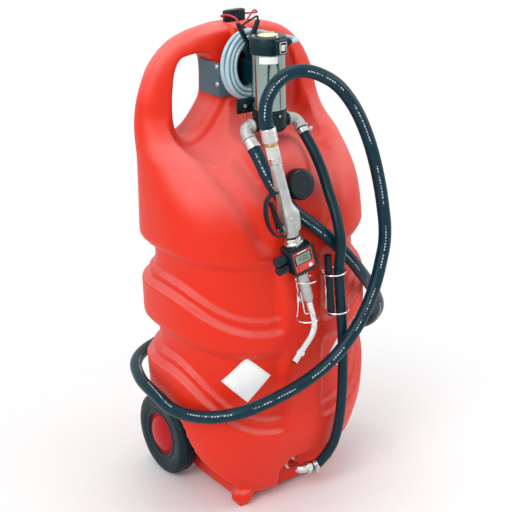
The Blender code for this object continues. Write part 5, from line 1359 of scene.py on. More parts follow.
PUMP_SCREW = Screw(ScrewHead.SOCKET, 0.0026, 0.0014)
CAP_SCREW = Screw(ScrewHead.PAN, 0.0030, 0.0014)
SADDLE_SCREW = Screw(ScrewHead.PAN, 0.0038, 0.0020)
FOOTPLATE_SCREW = Screw(ScrewHead.SOCKET, 0.0042, 0.0030)
CLAMP_RIVET = Screw(ScrewHead.SOCKET, 0.0026, 0.0009)
CLIP_SCREW = Screw(ScrewHead.PAN, 0.0032, 0.0011)


class Studio:
    """The plain white studio: camera, lamps, backdrop and floor."""

    CAMERA_PLACE = (-1.5599, -2.2696, 1.613)
    CAMERA_TURN = math.radians(34.5)
    CAMERA_DIP = math.radians(21.2)
    CAMERA_ROLL = math.radians(-1.6)
    LENS = 92.81
    FLOOR_SIZE = 12.0
    FLOOR_DROP = 0.0004
    FADE_START = 0.42
    FADE_END = 0.95
    FLOOR_ROUGHNESS = 0.6
    FLOOR_SPECULAR = 0.2
    FLOOR_SHADES = ((0.86, 0.86, 0.86, 1.0), (0.89, 0.89, 0.89, 1.0))
    FLOOR_SPECKS = (60.0, 3.0)
    WHITE = (1.0, 1.0, 1.0, 1.0)
    FILL_STRENGTH = 0.72
    LAMPS = (
        ("key", (-2.3, -1.3, 2.3), (0.0, 0.0, 0.6), 1.5, 44.0),
        ("side", (2.1, -1.3, 1.5), (0.0, 0.0, 0.5), 1.2, 14.0),
        ("top", (0.2, 0.3, 3.1), (0.0, 0.0, 0.8), 1.8, 24.0),
    )

    def build(self) -> None:
        """Set up the camera, the lamps, the backdrop and the floor."""
        self.camera()
        for name, place, aim, size, power in self.LAMPS:
            self.lamp(name, place, aim, size, power)
        self.backdrop()
        self.floor()

    def camera(self) -> None:
        """Place the photo's camera."""
        turn, dip, roll = self.CAMERA_TURN, self.CAMERA_DIP, self.CAMERA_ROLL
        ahead = Vector((math.sin(turn) * math.cos(dip), math.cos(turn) * math.cos(dip), -math.sin(dip)))
        across = Vector((math.cos(turn), -math.sin(turn), 0.0))
        over = across.cross(ahead)
        x = across * math.cos(roll) + over * math.sin(roll)
        y = -across * math.sin(roll) + over * math.cos(roll)
        data = bpy.data.cameras.new("photo_camera")
        data.lens = self.LENS
        made = bpy.data.objects.new("photo_camera", data)
        bpy.context.scene.collection.objects.link(made)
        matrix = Matrix((x, y, -ahead)).transposed().to_4x4()
        matrix.translation = Vector(self.CAMERA_PLACE)
        made.matrix_world = matrix
        bpy.context.scene.camera = made

    def lamp(self, name: str, place: Point, aim: Point, size: float, power: float) -> None:
        """Add one soft area lamp.

        Args:
            name: Its name.
            place: Where it hangs.
            aim: What it points at.
            size: Side of its square.
            power: Its watts.
        """
        data = bpy.data.lights.new(name, "AREA")
        data.size = size
        data.energy = power
        made = bpy.data.objects.new(name, data)
        bpy.context.scene.collection.objects.link(made)
        made.location = place
        away = Vector(place) - Vector(aim)
        made.rotation_euler = away.to_track_quat("Z", "Y").to_euler()

    def backdrop(self) -> None:
        """Make the backdrop white where it is seen, and softer as a light."""
        world = bpy.data.worlds.new("backdrop")
        world.use_nodes = True
        bpy.context.scene.world = world
        wiring = Wiring(world.node_tree)
        light = world.node_tree.nodes["Background"]
        light.inputs["Color"].default_value = self.WHITE
        path = wiring.node("ShaderNodeLightPath")
        seen = wiring.math("MAXIMUM", path.outputs["Is Camera Ray"], path.outputs["Is Glossy Ray"])
        seen = wiring.math("MAXIMUM", seen, path.outputs["Is Transmission Ray"])
        wiring.feed(light.inputs["Strength"], wiring.span(seen, 0.0, 1.0, self.FILL_STRENGTH, 1.0, False))
        bpy.context.scene.view_settings.view_transform = "Standard"

    def floor(self) -> None:
        """Lay the pale floor, which fades to the backdrop's white away from the caddy."""
        half = self.FLOOR_SIZE / 2.0
        shape = bmesh.new()
        corners = ((-half, -half), (half, -half), (half, half), (-half, half))
        shape.faces.new([shape.verts.new((x, y, -self.FLOOR_DROP)) for x, y in corners])
        made = linked("studio_floor", shape)
        finish = bpy.data.materials.new("studio_floor")
        finish.use_nodes = True
        wiring = Wiring(finish.node_tree)
        shader = finish.node_tree.nodes["Principled BSDF"]
        result = finish.node_tree.nodes["Material Output"]
        shader.inputs["Roughness"].default_value = self.FLOOR_ROUGHNESS
        shader.inputs["Specular IOR Level"].default_value = self.FLOOR_SPECULAR
        where = wiring.place()
        shade = wiring.blend(wiring.noise(where, *self.FLOOR_SPECKS), *self.FLOOR_SHADES)
        wiring.feed(shader.inputs["Base Color"], shade)
        reach = wiring.node("ShaderNodeVectorMath", {"operation": "LENGTH"}, {0: where}).outputs["Value"]
        path = wiring.node("ShaderNodeLightPath")
        fade = wiring.times(wiring.span(reach, self.FADE_START, self.FADE_END), path.outputs["Is Camera Ray"])
        glow = wiring.node("ShaderNodeEmission", None, {"Color": self.WHITE, "Strength": 1.0})
        mixed = wiring.node("ShaderNodeMixShader", None, {0: fade, 1: shader.outputs[0], 2: glow.outputs[0]})
        wiring.feed(result.inputs["Surface"], mixed.outputs[0])
        made.data.materials.append(finish)


# The tank's main sizes, which other pieces seat on
TANK_HEIGHT = 1.058
TANK_HALF_WIDTH = 0.252
TANK_HALF_DEPTH = 0.189
TANK_MIDDLE = 0.009
NECK_TILT = math.radians(12)
NECK_FACE = (0.0, -0.172, 0.757)

# Height, half width, front and back of the tank's sections, as shares of its height, width and depth
TANK_SECTION_SHARES = (
    (0.010, 0.720, -0.69, 0.73), (0.076, 0.813, -0.815, 0.852), (0.132, 0.905, -0.905, 0.931),
    (0.189, 0.964, -0.974, 0.974), (0.284, 0.992, -0.989, 0.989), (0.425, 1.0, -1.0, 1.0),
    (0.586, 1.0, -0.958, 0.984), (0.681, 0.992, -0.815, 0.931), (0.756, 0.964, -0.418, 0.852),
    (0.794, 0.944, -0.048, 0.788), (0.832, 0.925, 0.122, 0.746), (0.870, 0.897, 0.164, 0.709),
    (0.907, 0.837, 0.190, 0.693), (0.936, 0.766, 0.206, 0.693), (0.964, 0.647, 0.217, 0.683),
    (0.980, 0.536, 0.228, 0.667), (0.992, 0.377, 0.243, 0.640), (1.0, 0.159, 0.296, 0.587),
)

# The tank's rings: height at the sides, height at the front, inset at the sides, inset of the panels
TANK_RING_SHARES = (
    (0.0113, 0.0113, 1.0, 1.0), (0.017, 0.017, 0.45, 0.45), (0.035, 0.032, 0.05, 0.05),
    (0.085, 0.066, 0.0, 0.0), (0.161, 0.113, 0.0, 0.0), (0.250, 0.150, 0.0, 0.0),
    (0.310, 0.168, 0.0, 0.0), (0.320, 0.179, 0.0, 0.0), (0.326, 0.186, 0.56, 0.38),
    (0.336, 0.198, 0.62, 0.42), (0.342, 0.205, 0.46, 0.29), (0.350, 0.215, 1.0, 0.64),
    (0.397, 0.352, 1.0, 0.6),
    (0.408, 0.367, 0.3, 0.2), (0.420, 0.377, 0.0, 0.0), (0.470, 0.392, 0.0, 0.0),
    (0.488, 0.399, 0.0, 0.0), (0.496, 0.408, 0.0, 0.0), (0.502, 0.415, 0.56, 0.38),
    (0.511, 0.426, 0.62, 0.42), (0.517, 0.433, 0.46, 0.29), (0.525, 0.443, 1.0, 0.60),
    (0.571, 0.546, 1.0, 0.55), (0.582, 0.560, 0.35, 0.25),
    (0.595, 0.573, 0.0, 0.0), (0.632, 0.620, 0.0, 0.0), (0.668, 0.664, 0.0, 0.0),
    (0.707, 0.707, 0.0, 0.0), (0.732, 0.732, 0.0, 0.0), (0.756, 0.756, 0.0, 0.0),
    (0.775, 0.775, 0.0, 0.0), (0.794, 0.794, 0.0, 0.0), (0.832, 0.832, 0.0, 0.0),
    (0.870, 0.870, 0.0, 0.0), (0.907, 0.907, 0.0, 0.0), (0.936, 0.936, 0.0, 0.0),
    (0.960, 0.960, 0.0, 0.0), (0.980, 0.980, 0.0, 0.0), (0.992, 0.992, 0.0, 0.0),
    (1.0, 1.0, 0.0, 0.0),
)

# Height and front of the dome under the filler, as shares of the tank's height and half depth
DOME_FRONT_SHARES = (
    (0.62, -0.905), (0.66, -0.885), (0.70, -0.872), (0.728, -0.85), (0.752, -0.77),
    (0.770, -0.66), (0.782, -0.50), (0.792, -0.20), (0.80, 0.10),
)

# Outline of a hand hole across and up, as shares of its half width and half height
HAND_HOLE_OUTLINE_SHARES = (
    (-0.51, 0.91), (-0.78, 0.63), (-0.93, 0.23), (-1.0, -0.23), (-0.96, -0.63), (-0.78, -0.89),
    (-0.51, -1.0), (-0.14, -0.94), (0.23, -0.77), (0.60, -0.51), (0.93, -0.20), (1.0, 0.23),
    (1.0, 0.57), (0.93, 0.80), (0.65, 0.95), (0.23, 0.99), (-0.14, 0.97),
)

# Front of a wheel bay from its top down, as shares of the tank's half depth and the bay's height
BAY_OUTLINE_SHARES = (
    (-0.106, 0.95), (-0.238, 0.89), (-0.328, 0.56), (-0.529, 0.25), (-0.646, 0.02),
)


def eased(value: float, low: float, high: float) -> float:
    """Return 0 below low, 1 above high and a smooth step between."""
    t = min(max((value - low) / (high - low), 0.0), 1.0)
    return t * t * (3.0 - 2.0 * t)


def lookup(table: Sequence[Sequence[float]], share: float, column: int) -> float:
    """Read a table of shares at a height share, smoothly.

    Args:
        table: Rows that start with their height share.
        share: The height share.
        column: Which column to read.

    Returns:
        The value.
    """
    if share <= table[0][0]:
        return table[0][column]
    if share >= table[-1][0]:
        return table[-1][column]
    at = 0
    while table[at + 1][0] < share:
        at += 1
    low, high = table[at], table[at + 1]
    before, after = table[max(at - 1, 0)], table[min(at + 2, len(table) - 1)]
    span = high[0] - low[0]
    t = (share - low[0]) / span
    slope_low = (high[column] - before[column]) / (high[0] - before[0])
    slope_high = (after[column] - low[column]) / (after[0] - low[0])
    return cubic(t, span, low[column], high[column], slope_low, slope_high)


def neck_frame() -> Matrix:
    """Return the filler neck's frame: Z out of the tank along its axis, from its mouth."""
    return facing(NECK_FACE, (0.0, -math.cos(NECK_TILT), math.sin(NECK_TILT)))


@dataclass
class TankShell:
    """The moulded tank: its skin with panels, hand holes, wheel bays, feet, neck and bare labels."""

    squareness: float = 2.6
    recess: float = 0.030
    front_curve: float = 3.4
    strip: tuple[float, float] = (0.20, 0.24)
    crease_depth: float = 0.014
    crease_width: float = 0.020
    crease_low_shares: tuple[float, float] = (0.32, 0.588)
    crease_high_shares: tuple[float, float] = (0.60, 0.770)
    dome_half_width: float = 0.085
    dome_fall: float = 0.075
    hole: tuple[float, float, float, float] = (0.1075, 0.920, 0.0545, 0.0875)
    rim: float = 0.022
    arch: tuple[float, float] = (0.045, 0.141)
    ramp_reach: float = 0.100
    bay_inner: float = 0.132
    bay_top: float = 0.246
    axle: tuple[float, float] = (0.1367, 0.100)
    axle_hole: float = 0.0088
    recess_back: float = -0.098
    recess_top: float = 0.106
    recess_left: float = -0.047
    spur: tuple[tuple[float, float], ...] = ((-0.022, -0.004), (0.030, 0.040), (0.030, -0.010))
    overlap: float = 0.004
    foot: float = 0.050
    foot_edge: float = 0.012
    feet: tuple[tuple[float, float], ...] = ((-0.124, -0.098), (0.104, -0.072))
    seat_y: float = 0.048
    seat_z: float = 0.949
    seat_height: float = 0.086
    seat_half_width: float = 0.036
    neck_radius: float = 0.0260
    neck_length: float = 0.046
    neck_edge: float = 0.0006
    thread_turns: int = 4
    thread_start: float = 0.004
    thread_pitch: float = 0.0035
    thread_depth: float = 0.0012
    bore_radius: float = 0.0215
    bore_ends: tuple[float, float] = (-0.075, 0.004)
    label_half: float = 0.055
    label_at: tuple[float, float] = (0.131, 0.333)
    label_lift: float = 0.0005
    label_cells: int = 22
    columns: int = 176
    steps: int = 5
    voxel: float = 0.0047
    softening: int = 5

    def build(self) -> None:
        """Build the skin, the neck's lip and the labels."""
        skin = self.skin()
        for name, shape in self.cutters():
            self.cut(skin, name, shape, "DIFFERENCE")
        for number, (x, y) in enumerate(self.feet):
            shape = block((self.foot, self.foot * 0.92, self.foot), (x, y, self.foot / 2.0))
            self.cut(skin, "foot_%d" % number, bevelled(shape, self.foot_edge, 5), "UNION")
        self.soften(skin)
        settle(skin, RED_MOULDING, Body.CADDY, ("tank",))
        self.neck()
        self.labels(skin)

    def blend(self, x_share: float, y_share: float) -> float:
        """Return 1 at the front middle and 0 at the sides and the back."""
        return 0.0 if y_share >= 0.0 else 1.0 - abs(x_share) ** self.front_curve

    def point(self, x_share: float, y_share: float, row: Sequence[float]) -> Vector:
        """Return the skin at a column of a ring.

        Args:
            x_share: The column's place across.
            y_share: The column's place in depth.
            row: The ring's heights and insets.

        Returns:
            The point.
        """
        side_z, front_z, side_inset, panel_inset = row
        blend = self.blend(x_share, y_share)
        share = side_z + (front_z - side_z) * blend
        half_width = TANK_HALF_WIDTH * lookup(TANK_SECTION_SHARES, share, 1)
        front = TANK_HALF_DEPTH * lookup(TANK_SECTION_SHARES, share, 2)
        back = TANK_HALF_DEPTH * lookup(TANK_SECTION_SHARES, share, 3)
        inset = panel_inset + (side_inset - panel_inset) * (1.0 - blend)
        if y_share < 0.0:
            inset *= eased(abs(x_share), *self.strip)
        x = x_share * (half_width - self.recess * inset)
        y = (front + back) / 2.0 + y_share * ((back - front) / 2.0 - self.recess * inset)
        if y_share < 0.0:
            y = self.relief(x, y, share)
        return Vector((x, TANK_MIDDLE + y, TANK_HEIGHT * share))

    def relief(self, x: float, y: float, share: float) -> float:
        """Press the creases into the front and raise the dome under the filler.

        Args:
            x: Place across.
            y: The skin's depth from the tank's middle.
            share: The height share.

        Returns:
            The new depth.
        """
        low_x, low_z = self.crease_low_shares
        high_x, high_z = self.crease_high_shares
        along = (share - low_z) / (high_z - low_z)
        if -0.1 < along < 1.2:
            crease = TANK_HALF_WIDTH * (low_x + (high_x - low_x) * along)
            fade = eased(along, -0.1, 0.15) * (1.0 - eased(along, 0.8, 1.2))
            away = (abs(x) - crease) / self.crease_width
            y += self.crease_depth * fade * math.exp(-away * away)
        if DOME_FRONT_SHARES[0][0] < share < DOME_FRONT_SHARES[-1][0]:
            dome = TANK_HALF_DEPTH * lookup(DOME_FRONT_SHARES, share, 1)
            y = min(y, dome + self.dome_fall * (abs(x) / self.dome_half_width) ** 3)
        return y

    def rows(self) -> list[tuple[float, ...]]:
        """Return the rings with finer ones between them, their insets eased.

        Returns:
            The heights and insets of each ring.
        """
        fine = []
        for low, high in zip(TANK_RING_SHARES, TANK_RING_SHARES[1:]):
            for step in range(self.steps):
                t = step / self.steps
                s = eased(t, 0.0, 1.0)
                fine.append((low[0] + (high[0] - low[0]) * t, low[1] + (high[1] - low[1]) * t,
                             low[2] + (high[2] - low[2]) * s, low[3] + (high[3] - low[3]) * s))
        fine.append(TANK_RING_SHARES[-1])
        return fine

    def skin(self) -> bpy.types.Object:
        """Return the plain skin before it is cut.

        Returns:
            The skin.
        """
        around = [squared(-math.pi / 2.0 + 2.0 * math.pi * number / self.columns, self.squareness)
                  for number in range(self.columns)]
        shape = lofted([[self.point(x, y, row) for x, y in around] for row in self.rows()])
        bmesh.ops.recalc_face_normals(shape, faces=shape.faces)
        return linked("tank_skin", shape)

    def cut(self, target: bpy.types.Object, name: str, shape: bmesh.types.BMesh, way: str) -> None:
        """Cut a shape from a piece, or join it on.

        Args:
            target: The piece.
            name: The tool's name.
            shape: What is cut away or joined on.
            way: DIFFERENCE or UNION.
        """
        bmesh.ops.recalc_face_normals(shape, faces=shape.faces)
        tool = linked(name, shape)
        modifier = target.modifiers.new(name, "BOOLEAN")
        modifier.operation = way
        modifier.solver = "EXACT"
        modifier.object = tool
        baked(target)
        bpy.data.objects.remove(tool, do_unlink=True)

    def cutters(self) -> list[tuple[str, bmesh.types.BMesh]]:
        """Return the shapes that open the hand holes, the wheel bays, the recess and the neck.

        Returns:
            The name and shape of each.
        """
        reach = TANK_HALF_DEPTH + self.recess
        far = self.bay_inner + self.overlap
        recess = block((far - self.recess_left, reach + self.recess_back, self.recess_top + self.recess),
                       ((far + self.recess_left) / 2.0, (self.recess_back - reach) / 2.0,
                        (self.recess_top - self.recess) / 2.0))
        recess = bevelled(recess, self.recess * 0.6, 6)
        outline = [(self.recess_left + x, z) for x, z in self.spur]
        spur = moved(prism(outline, -self.recess_back, reach), facing((0.0, 0.0, 0.0), FRONT))
        seat = block((self.seat_half_width * 2.0, self.ramp_reach, self.seat_height),
                     (0.0, self.seat_y - self.ramp_reach / 2.0, self.seat_z))
        axle = moved(rod(self.axle_hole, -TANK_HALF_WIDTH, TANK_HALF_WIDTH, steps=32),
                     facing((0.0, *self.axle), AXIS_X, AXIS_Y))
        bore = moved(rod(self.bore_radius, *self.bore_ends), neck_frame())
        return [("hand_hole_left", self.hand_hole(-1.0)), ("hand_hole_right", self.hand_hole(1.0)),
                ("bay_left", self.bay(-1.0)), ("bay_right", self.bay(1.0)), ("recess", recess),
                ("recess_spur", spur), ("post_seat", seat), ("axle_hole", axle), ("neck_bore", bore)]

    def hand_hole(self, side: float) -> bmesh.types.BMesh:
        """Return the flared solid that opens one hand hole and rounds its rims.

        Args:
            side: -1 on the left, 1 on the right.

        Returns:
            The solid.
        """
        x, z, half_width, half_height = self.hole
        coarse = [Vector((-x + half_width * across, z + half_height * up, 0.0))
                  for across, up in HAND_HOLE_OUTLINE_SHARES]
        outline = evenly_round(coarse, 72)
        front, back = self.arch
        stations = [(-self.ramp_reach, 1.9), (front - self.rim, 1.25)]
        for step in range(9):
            share = 1.0 - step / 8.0
            stations.append((front + self.rim * (1.0 - share), 1.0 - math.sqrt(1.0 - share * share)))
        for step in range(9):
            share = step / 8.0
            stations.append((back - self.rim * (1.0 - share), 1.0 - math.sqrt(1.0 - share * share)))
        stations += [(back + self.rim, 1.25), (back + self.ramp_reach, 1.4)]
        rings = []
        for y, flare in stations:
            ring = []
            for number, here in enumerate(outline):
                along = (outline[(number + 1) % len(outline)] - outline[number - 1]).normalized()
                grown = here + Vector((along.y, -along.x, 0.0)) * self.rim * flare
                ring.append(Vector((side * -grown.x, y, grown.y)))
            rings.append(ring)
        return lofted(rings)

    def bay(self, side: float) -> bmesh.types.BMesh:
        """Return the solid that makes room for one wheel; on the right it runs on to the front.

        Args:
            side: -1 on the left, 1 on the right.

        Returns:
            The solid.
        """
        far_y = TANK_HALF_DEPTH + self.recess * 2.0
        outline = [(far_y, -self.recess), (far_y, self.bay_top),
                   (self.axle[0] - self.axle[1] / 2.0, self.bay_top)]
        outline += [(y * TANK_HALF_DEPTH, z * self.bay_top) for y, z in BAY_OUTLINE_SHARES]
        if side > 0.0:
            reach = -TANK_HALF_DEPTH - self.recess
            outline = outline[:5] + [(self.recess_back, self.recess_top), (reach, self.recess_top),
                                     (reach, -self.recess)]
        else:
            outline.append((outline[-1][0], -self.recess))
        near, far = self.bay_inner, TANK_HALF_WIDTH + self.recess
        low, high = (near, far) if side > 0.0 else (-far, -near)
        return moved(prism(outline, low, high), facing((0.0, 0.0, 0.0), AXIS_X, AXIS_Y))

    def soften(self, skin: bpy.types.Object) -> None:
        """Round the skin's edges as a moulding's are, on an even mesh.

        Args:
            skin: The tank's skin.
        """
        even = skin.modifiers.new("even", "REMESH")
        even.mode = "VOXEL"
        even.voxel_size = self.voxel
        even.use_smooth_shade = True
        softer = skin.modifiers.new("softer", "SMOOTH")
        softer.factor = 0.5
        softer.iterations = self.softening
        baked(skin)
        skin.data.shade_smooth()

    def neck(self) -> None:
        """Build the neck with its thread and lip."""
        outer, inner = self.neck_radius, self.bore_radius
        edge, core = self.neck_edge, outer - self.thread_depth
        profile = [(inner, -edge), (inner + edge, 0.0), (outer - edge, 0.0), (outer, -edge)]
        for number in range(self.thread_turns):
            low = -self.thread_start - self.thread_pitch * number
            profile += [(core, low), (outer, low - 0.0008), (outer, low - 0.0018), (core, low - 0.0026)]
        foot = outer - 0.0002
        profile += [(foot, -0.022), (foot, -self.neck_length), (inner, -self.neck_length)]
        profile.append(profile[0])
        piece_of("filler_neck", turned(profile, 72), RED_MOULDING, Body.CADDY, neck_frame())

    def labels(self, skin: bpy.types.Object) -> None:
        """Lay the two bare diamond labels on the skin.

        Args:
            skin: The tank's skin.
        """
        shape = bmesh.new()
        shape.from_mesh(skin.data)
        tree = BVHTree.FromBMesh(shape)
        across, height = self.label_at
        for word, side in (("left", -1.0), ("right", 1.0)):
            self.label("label_" + word, tree, side * across, height)
        shape.free()

    def label(self, name: str, tree: BVHTree, x: float, z: float) -> None:
        """Lay one bare diamond on the skin.

        Args:
            name: The label's name.
            tree: The skin.
            x: Its middle across.
            z: Its middle's height.
        """
        half = self.label_half
        cells = self.label_cells
        shape = bmesh.new()
        cover = shape.loops.layers.uv.new("UVMap")
        hit = tree.ray_cast(Vector((x, -1.0, z)), AXIS_Y)
        into = -hit[1].normalized()
        across = AXIS_Z.cross(into).normalized()
        over = into.cross(across).normalized()
        grid = {}
        for row in range(cells + 1):
            for column in range(cells + 1):
                u, v = row / cells - 0.5, column / cells - 0.5
                aim = hit[0] - into * 0.2 + across * (u - v) * half + over * (u + v) * half
                found = tree.ray_cast(aim, into)
                if found[0] is not None:
                    grid[row, column] = shape.verts.new(found[0] - into * self.label_lift)
        for row in range(cells):
            for column in range(cells):
                keys = ((row, column), (row + 1, column), (row + 1, column + 1), (row, column + 1))
                if all(key in grid for key in keys):
                    face = shape.faces.new([grid[key] for key in keys])
                    for loop, key in zip(face.loops, keys):
                        loop[cover].uv = (key[0] / cells, key[1] / cells)
        made = piece_of(name, shape, PAPER, Body.CADDY)
        made.data.shade_smooth()


def evenly_round(points: Sequence[Vector], count: int) -> list[Vector]:
    """Return count points spaced evenly round a smooth loop through points.

    Args:
        points: What the loop passes through.
        count: How many points to return.

    Returns:
        The points.
    """
    wrapped = list(points[-3:]) + list(points) + list(points[:4])
    fine = hermite(wrapped, len(wrapped) * CURVE_STEPS)
    first = min(range(len(fine) // 2), key=lambda index: (fine[index] - points[0]).length)
    last = min(range(len(fine) // 2, len(fine)), key=lambda index: (fine[index] - points[0]).length)
    return evenly(fine[first:last + 1], count + 1)[:-1]


@dataclass
class FillerCap:
    """The ribbed screw cap over the neck."""

    radius: float = 0.0330
    length: float = 0.024
    top: float = 0.0076
    skirt: float = 0.0266
    ribs: int = 26
    rib: float = 0.0016

    def build(self) -> None:
        """Build the cap with its grip and the ring on its face."""
        core = self.radius - self.rib
        low = self.top - self.length
        face = self.top
        profile = (
            (0.0, face), (core * 0.44, face), (core * 0.45, face - 0.0007), (core * 0.48, face - 0.0007),
            (core * 0.49, face), (core * 0.88, face), (core * 0.95, face - 0.0006), (core, face - 0.0026),
            (core, low + 0.0030), (core + 0.0010, low + 0.0022), (core + 0.0010, low), (self.skirt, low),
            (self.skirt, 0.0026), (0.0, 0.0026),
        )
        piece_of("filler_cap_shell", turned(profile, 96), BLACK_GLOSS, Body.CAP, neck_frame(),
                 stands_for=("filler_cap",))
        high = face - 0.0030
        detail = block((self.rib * 1.9, core * math.pi / self.ribs * 1.15, high - low - 0.0034),
                       (0.0, 0.0, (high + low + 0.0034) / 2.0))
        repeated("filler_cap_ribs", bevelled(detail, 0.0004),
                 Layout(Repeat.ROUND, count=self.ribs, radius=core, matrix=neck_frame()),
                 BLACK_GLOSS, Body.CAP)
        dress("cap_gasket", COVER_RUBBER)


@dataclass
class Wheels:
    """The axle and the two wheels."""

    radius: float = 0.100
    width: float = 0.046
    outer_x: float = 0.196
    axle_y: float = 0.1367
    axle_radius: float = 0.008
    blocks: int = 52
    tread_block: tuple[float, float] = (0.0042, 0.0078)
    tread_shares: tuple[float, float] = (0.40, 0.62)
    tread_sink: float = 0.0030
    tread_slope: float = 0.0034

    def build(self) -> None:
        """Build both wheels and dress the axle."""
        for side, word, body in ((-1.0, "left", Body.WHEEL_LEFT), (1.0, "right", Body.WHEEL_RIGHT)):
            self.wheel(side, word, body)
        refined("axle", AXLE_STEEL)
        for word in ("left", "right"):
            refined("wheel_%s_washer" % word, PLATED, bevel=0.0003)

    def wheel(self, side: float, word: str, body: Body) -> None:
        """Build one wheel: tyre, tread blocks on its shoulders, and the domed disc.

        Args:
            side: -1 on the left, 1 on the right.
            word: The side's name.
            body: The body that it rides on.
        """
        half = self.width / 2.0
        matrix = facing((side * (self.outer_x - half), self.axle_y, self.radius), (side, 0.0, 0.0),
                        AXIS_Y)
        bead = self.radius * 0.50
        rim = self.radius
        cover = [
            (bead, half * 0.80), (bead + half * 0.10, half * 0.93), (bead + half * 0.30, half * 0.99),
            (bead + half * 0.44, half * 0.99), (bead + half * 0.50, half * 0.93),
            (bead + half * 0.56, half * 0.93), (bead + half * 0.62, half),
            (rim * 0.885, half), (rim * 0.905, half * 0.965), (rim * 0.925, half * 0.88),
            (rim * 0.955, half * 0.74), (rim * 0.975, half * 0.60), (rim * 0.988, half * 0.40),
            (rim * 0.990, half * 0.30), (rim * 0.970, half * 0.26), (rim * 0.970, half * 0.14),
            (rim * 0.992, half * 0.10),
        ]
        profile = cover + [(out, -up) for out, up in reversed(cover)]
        profile.append(profile[0])
        piece_of("tyre_" + word, turned(profile, 112), TYRE_RUBBER, body, matrix,
                 stands_for=("wheel_%s_tyre" % word,), angle=50.0)
        self.tread(word, body, matrix)
        boss = self.axle_radius * 2.1
        bore = self.axle_radius + 0.0008
        lip = bead - FIT
        disc = (
            (bore, half * 0.62), (boss - 0.001, half * 0.62), (boss, half * 0.57),
            (boss * 1.06, half * 0.34), (boss * 1.25, half * 0.30), (bead * 0.54, half * 0.31),
            (bead * 0.70, half * 0.27), (bead * 0.80, half * 0.22), (bead * 0.85, half * 0.30),
            (bead * 0.90, half * 0.56), (bead * 0.94, half * 0.62), (lip - 0.0016, half * 0.76),
            (lip, half * 0.74), (lip, -half * 0.74), (bead * 0.94, -half * 0.62),
            (bead * 0.80, -half * 0.16), (boss * 1.25, -half * 0.24), (boss, -half * 0.9),
            (bore, -half * 0.9), (bore, half * 0.62),
        )
        piece_of("wheel_disc_" + word, turned(disc, 96), WHEEL_RED, body, matrix,
                 stands_for=("wheel_%s_hub" % word,), angle=45.0)
        self.hub_cap(word, body, matrix, bead * 0.93)

    def hub_cap(self, word: str, body: Body, matrix: Matrix, reach: float) -> None:
        """Build the smooth domed cap over the axle's end.

        Args:
            word: The side's name.
            body: The body that it rides on.
            matrix: The wheel's frame.
            reach: Its radius.
        """
        half = self.width / 2.0
        low = half * 0.60
        high = half + self.axle_radius + 0.0016
        steps = 14
        dome = []
        for number in range(steps + 1):
            share = number / steps
            dome.append((reach * share, low + (high - low) * (1.0 - share * share) ** 0.8))
        shell = [(max(out - PLATE, 0.0), up - PLATE * 1.4) for out, up in reversed(dome)]
        piece_of("hub_cap_" + word, turned(dome + shell, 72), WHEEL_RED, body, matrix, angle=50.0)

    def tread(self, word: str, body: Body, matrix: Matrix) -> None:
        """Lay small tread blocks round both shoulders of a tyre.

        Args:
            word: The side's name.
            body: The body that it rides on.
            matrix: The wheel's frame.
        """
        wide, middle = (self.width / 2.0 * share for share in self.tread_shares)
        for way, name in ((1.0, "outer"), (-1.0, "inner")):
            detail = block((*self.tread_block, wide), (-self.tread_sink, 0.0, way * middle))
            for corner in detail.verts:
                if corner.co.z * way > middle and corner.co.x > -self.tread_sink:
                    corner.co.x -= self.tread_slope
            repeated("tread_%s_%s" % (word, name), bevelled(detail, 0.0006, 1),
                     Layout(Repeat.ROUND, count=self.blocks, radius=self.radius, matrix=matrix),
                     TYRE_RUBBER, body)


def cad_run(start: Vector, out: Vector, route: Sequence[Point], end: Vector, back: Vector, straight: float,
            count: int) -> list[Vector]:
    """Return a cord's points: a straight stretch at each end, and an even curve through its route.

    Args:
        start: Its first point.
        out: Direction in which it leaves.
        route: What it passes through.
        end: Its last point.
        back: Direction back along it from its end.
        straight: Length of the straight stretches.
        count: Points between them.

    Returns:
        The points.
    """
    first = start + out.normalized() * straight
    last = end + back.normalized() * straight
    return [start] + hermite([first] + [Vector(point) for point in route] + [last], count) + [end]


def cord_of(name: str, points: Sequence[Vector], radius: float, finish: Finish,
            sides: int = 18) -> None:
    """Args:
        name: The solid that it replaces.
        points: The solid's centre line.
        radius: Its radius.
        finish: Its finish.
        sides: How many sides it has.
    """
    fine = hermite(points, len(points) * 4)
    made = piece_of(name + "_cord", tube(fine, radius, sides), finish, Body.CADDY, angle=60.0,
                    stands_for=(name,))


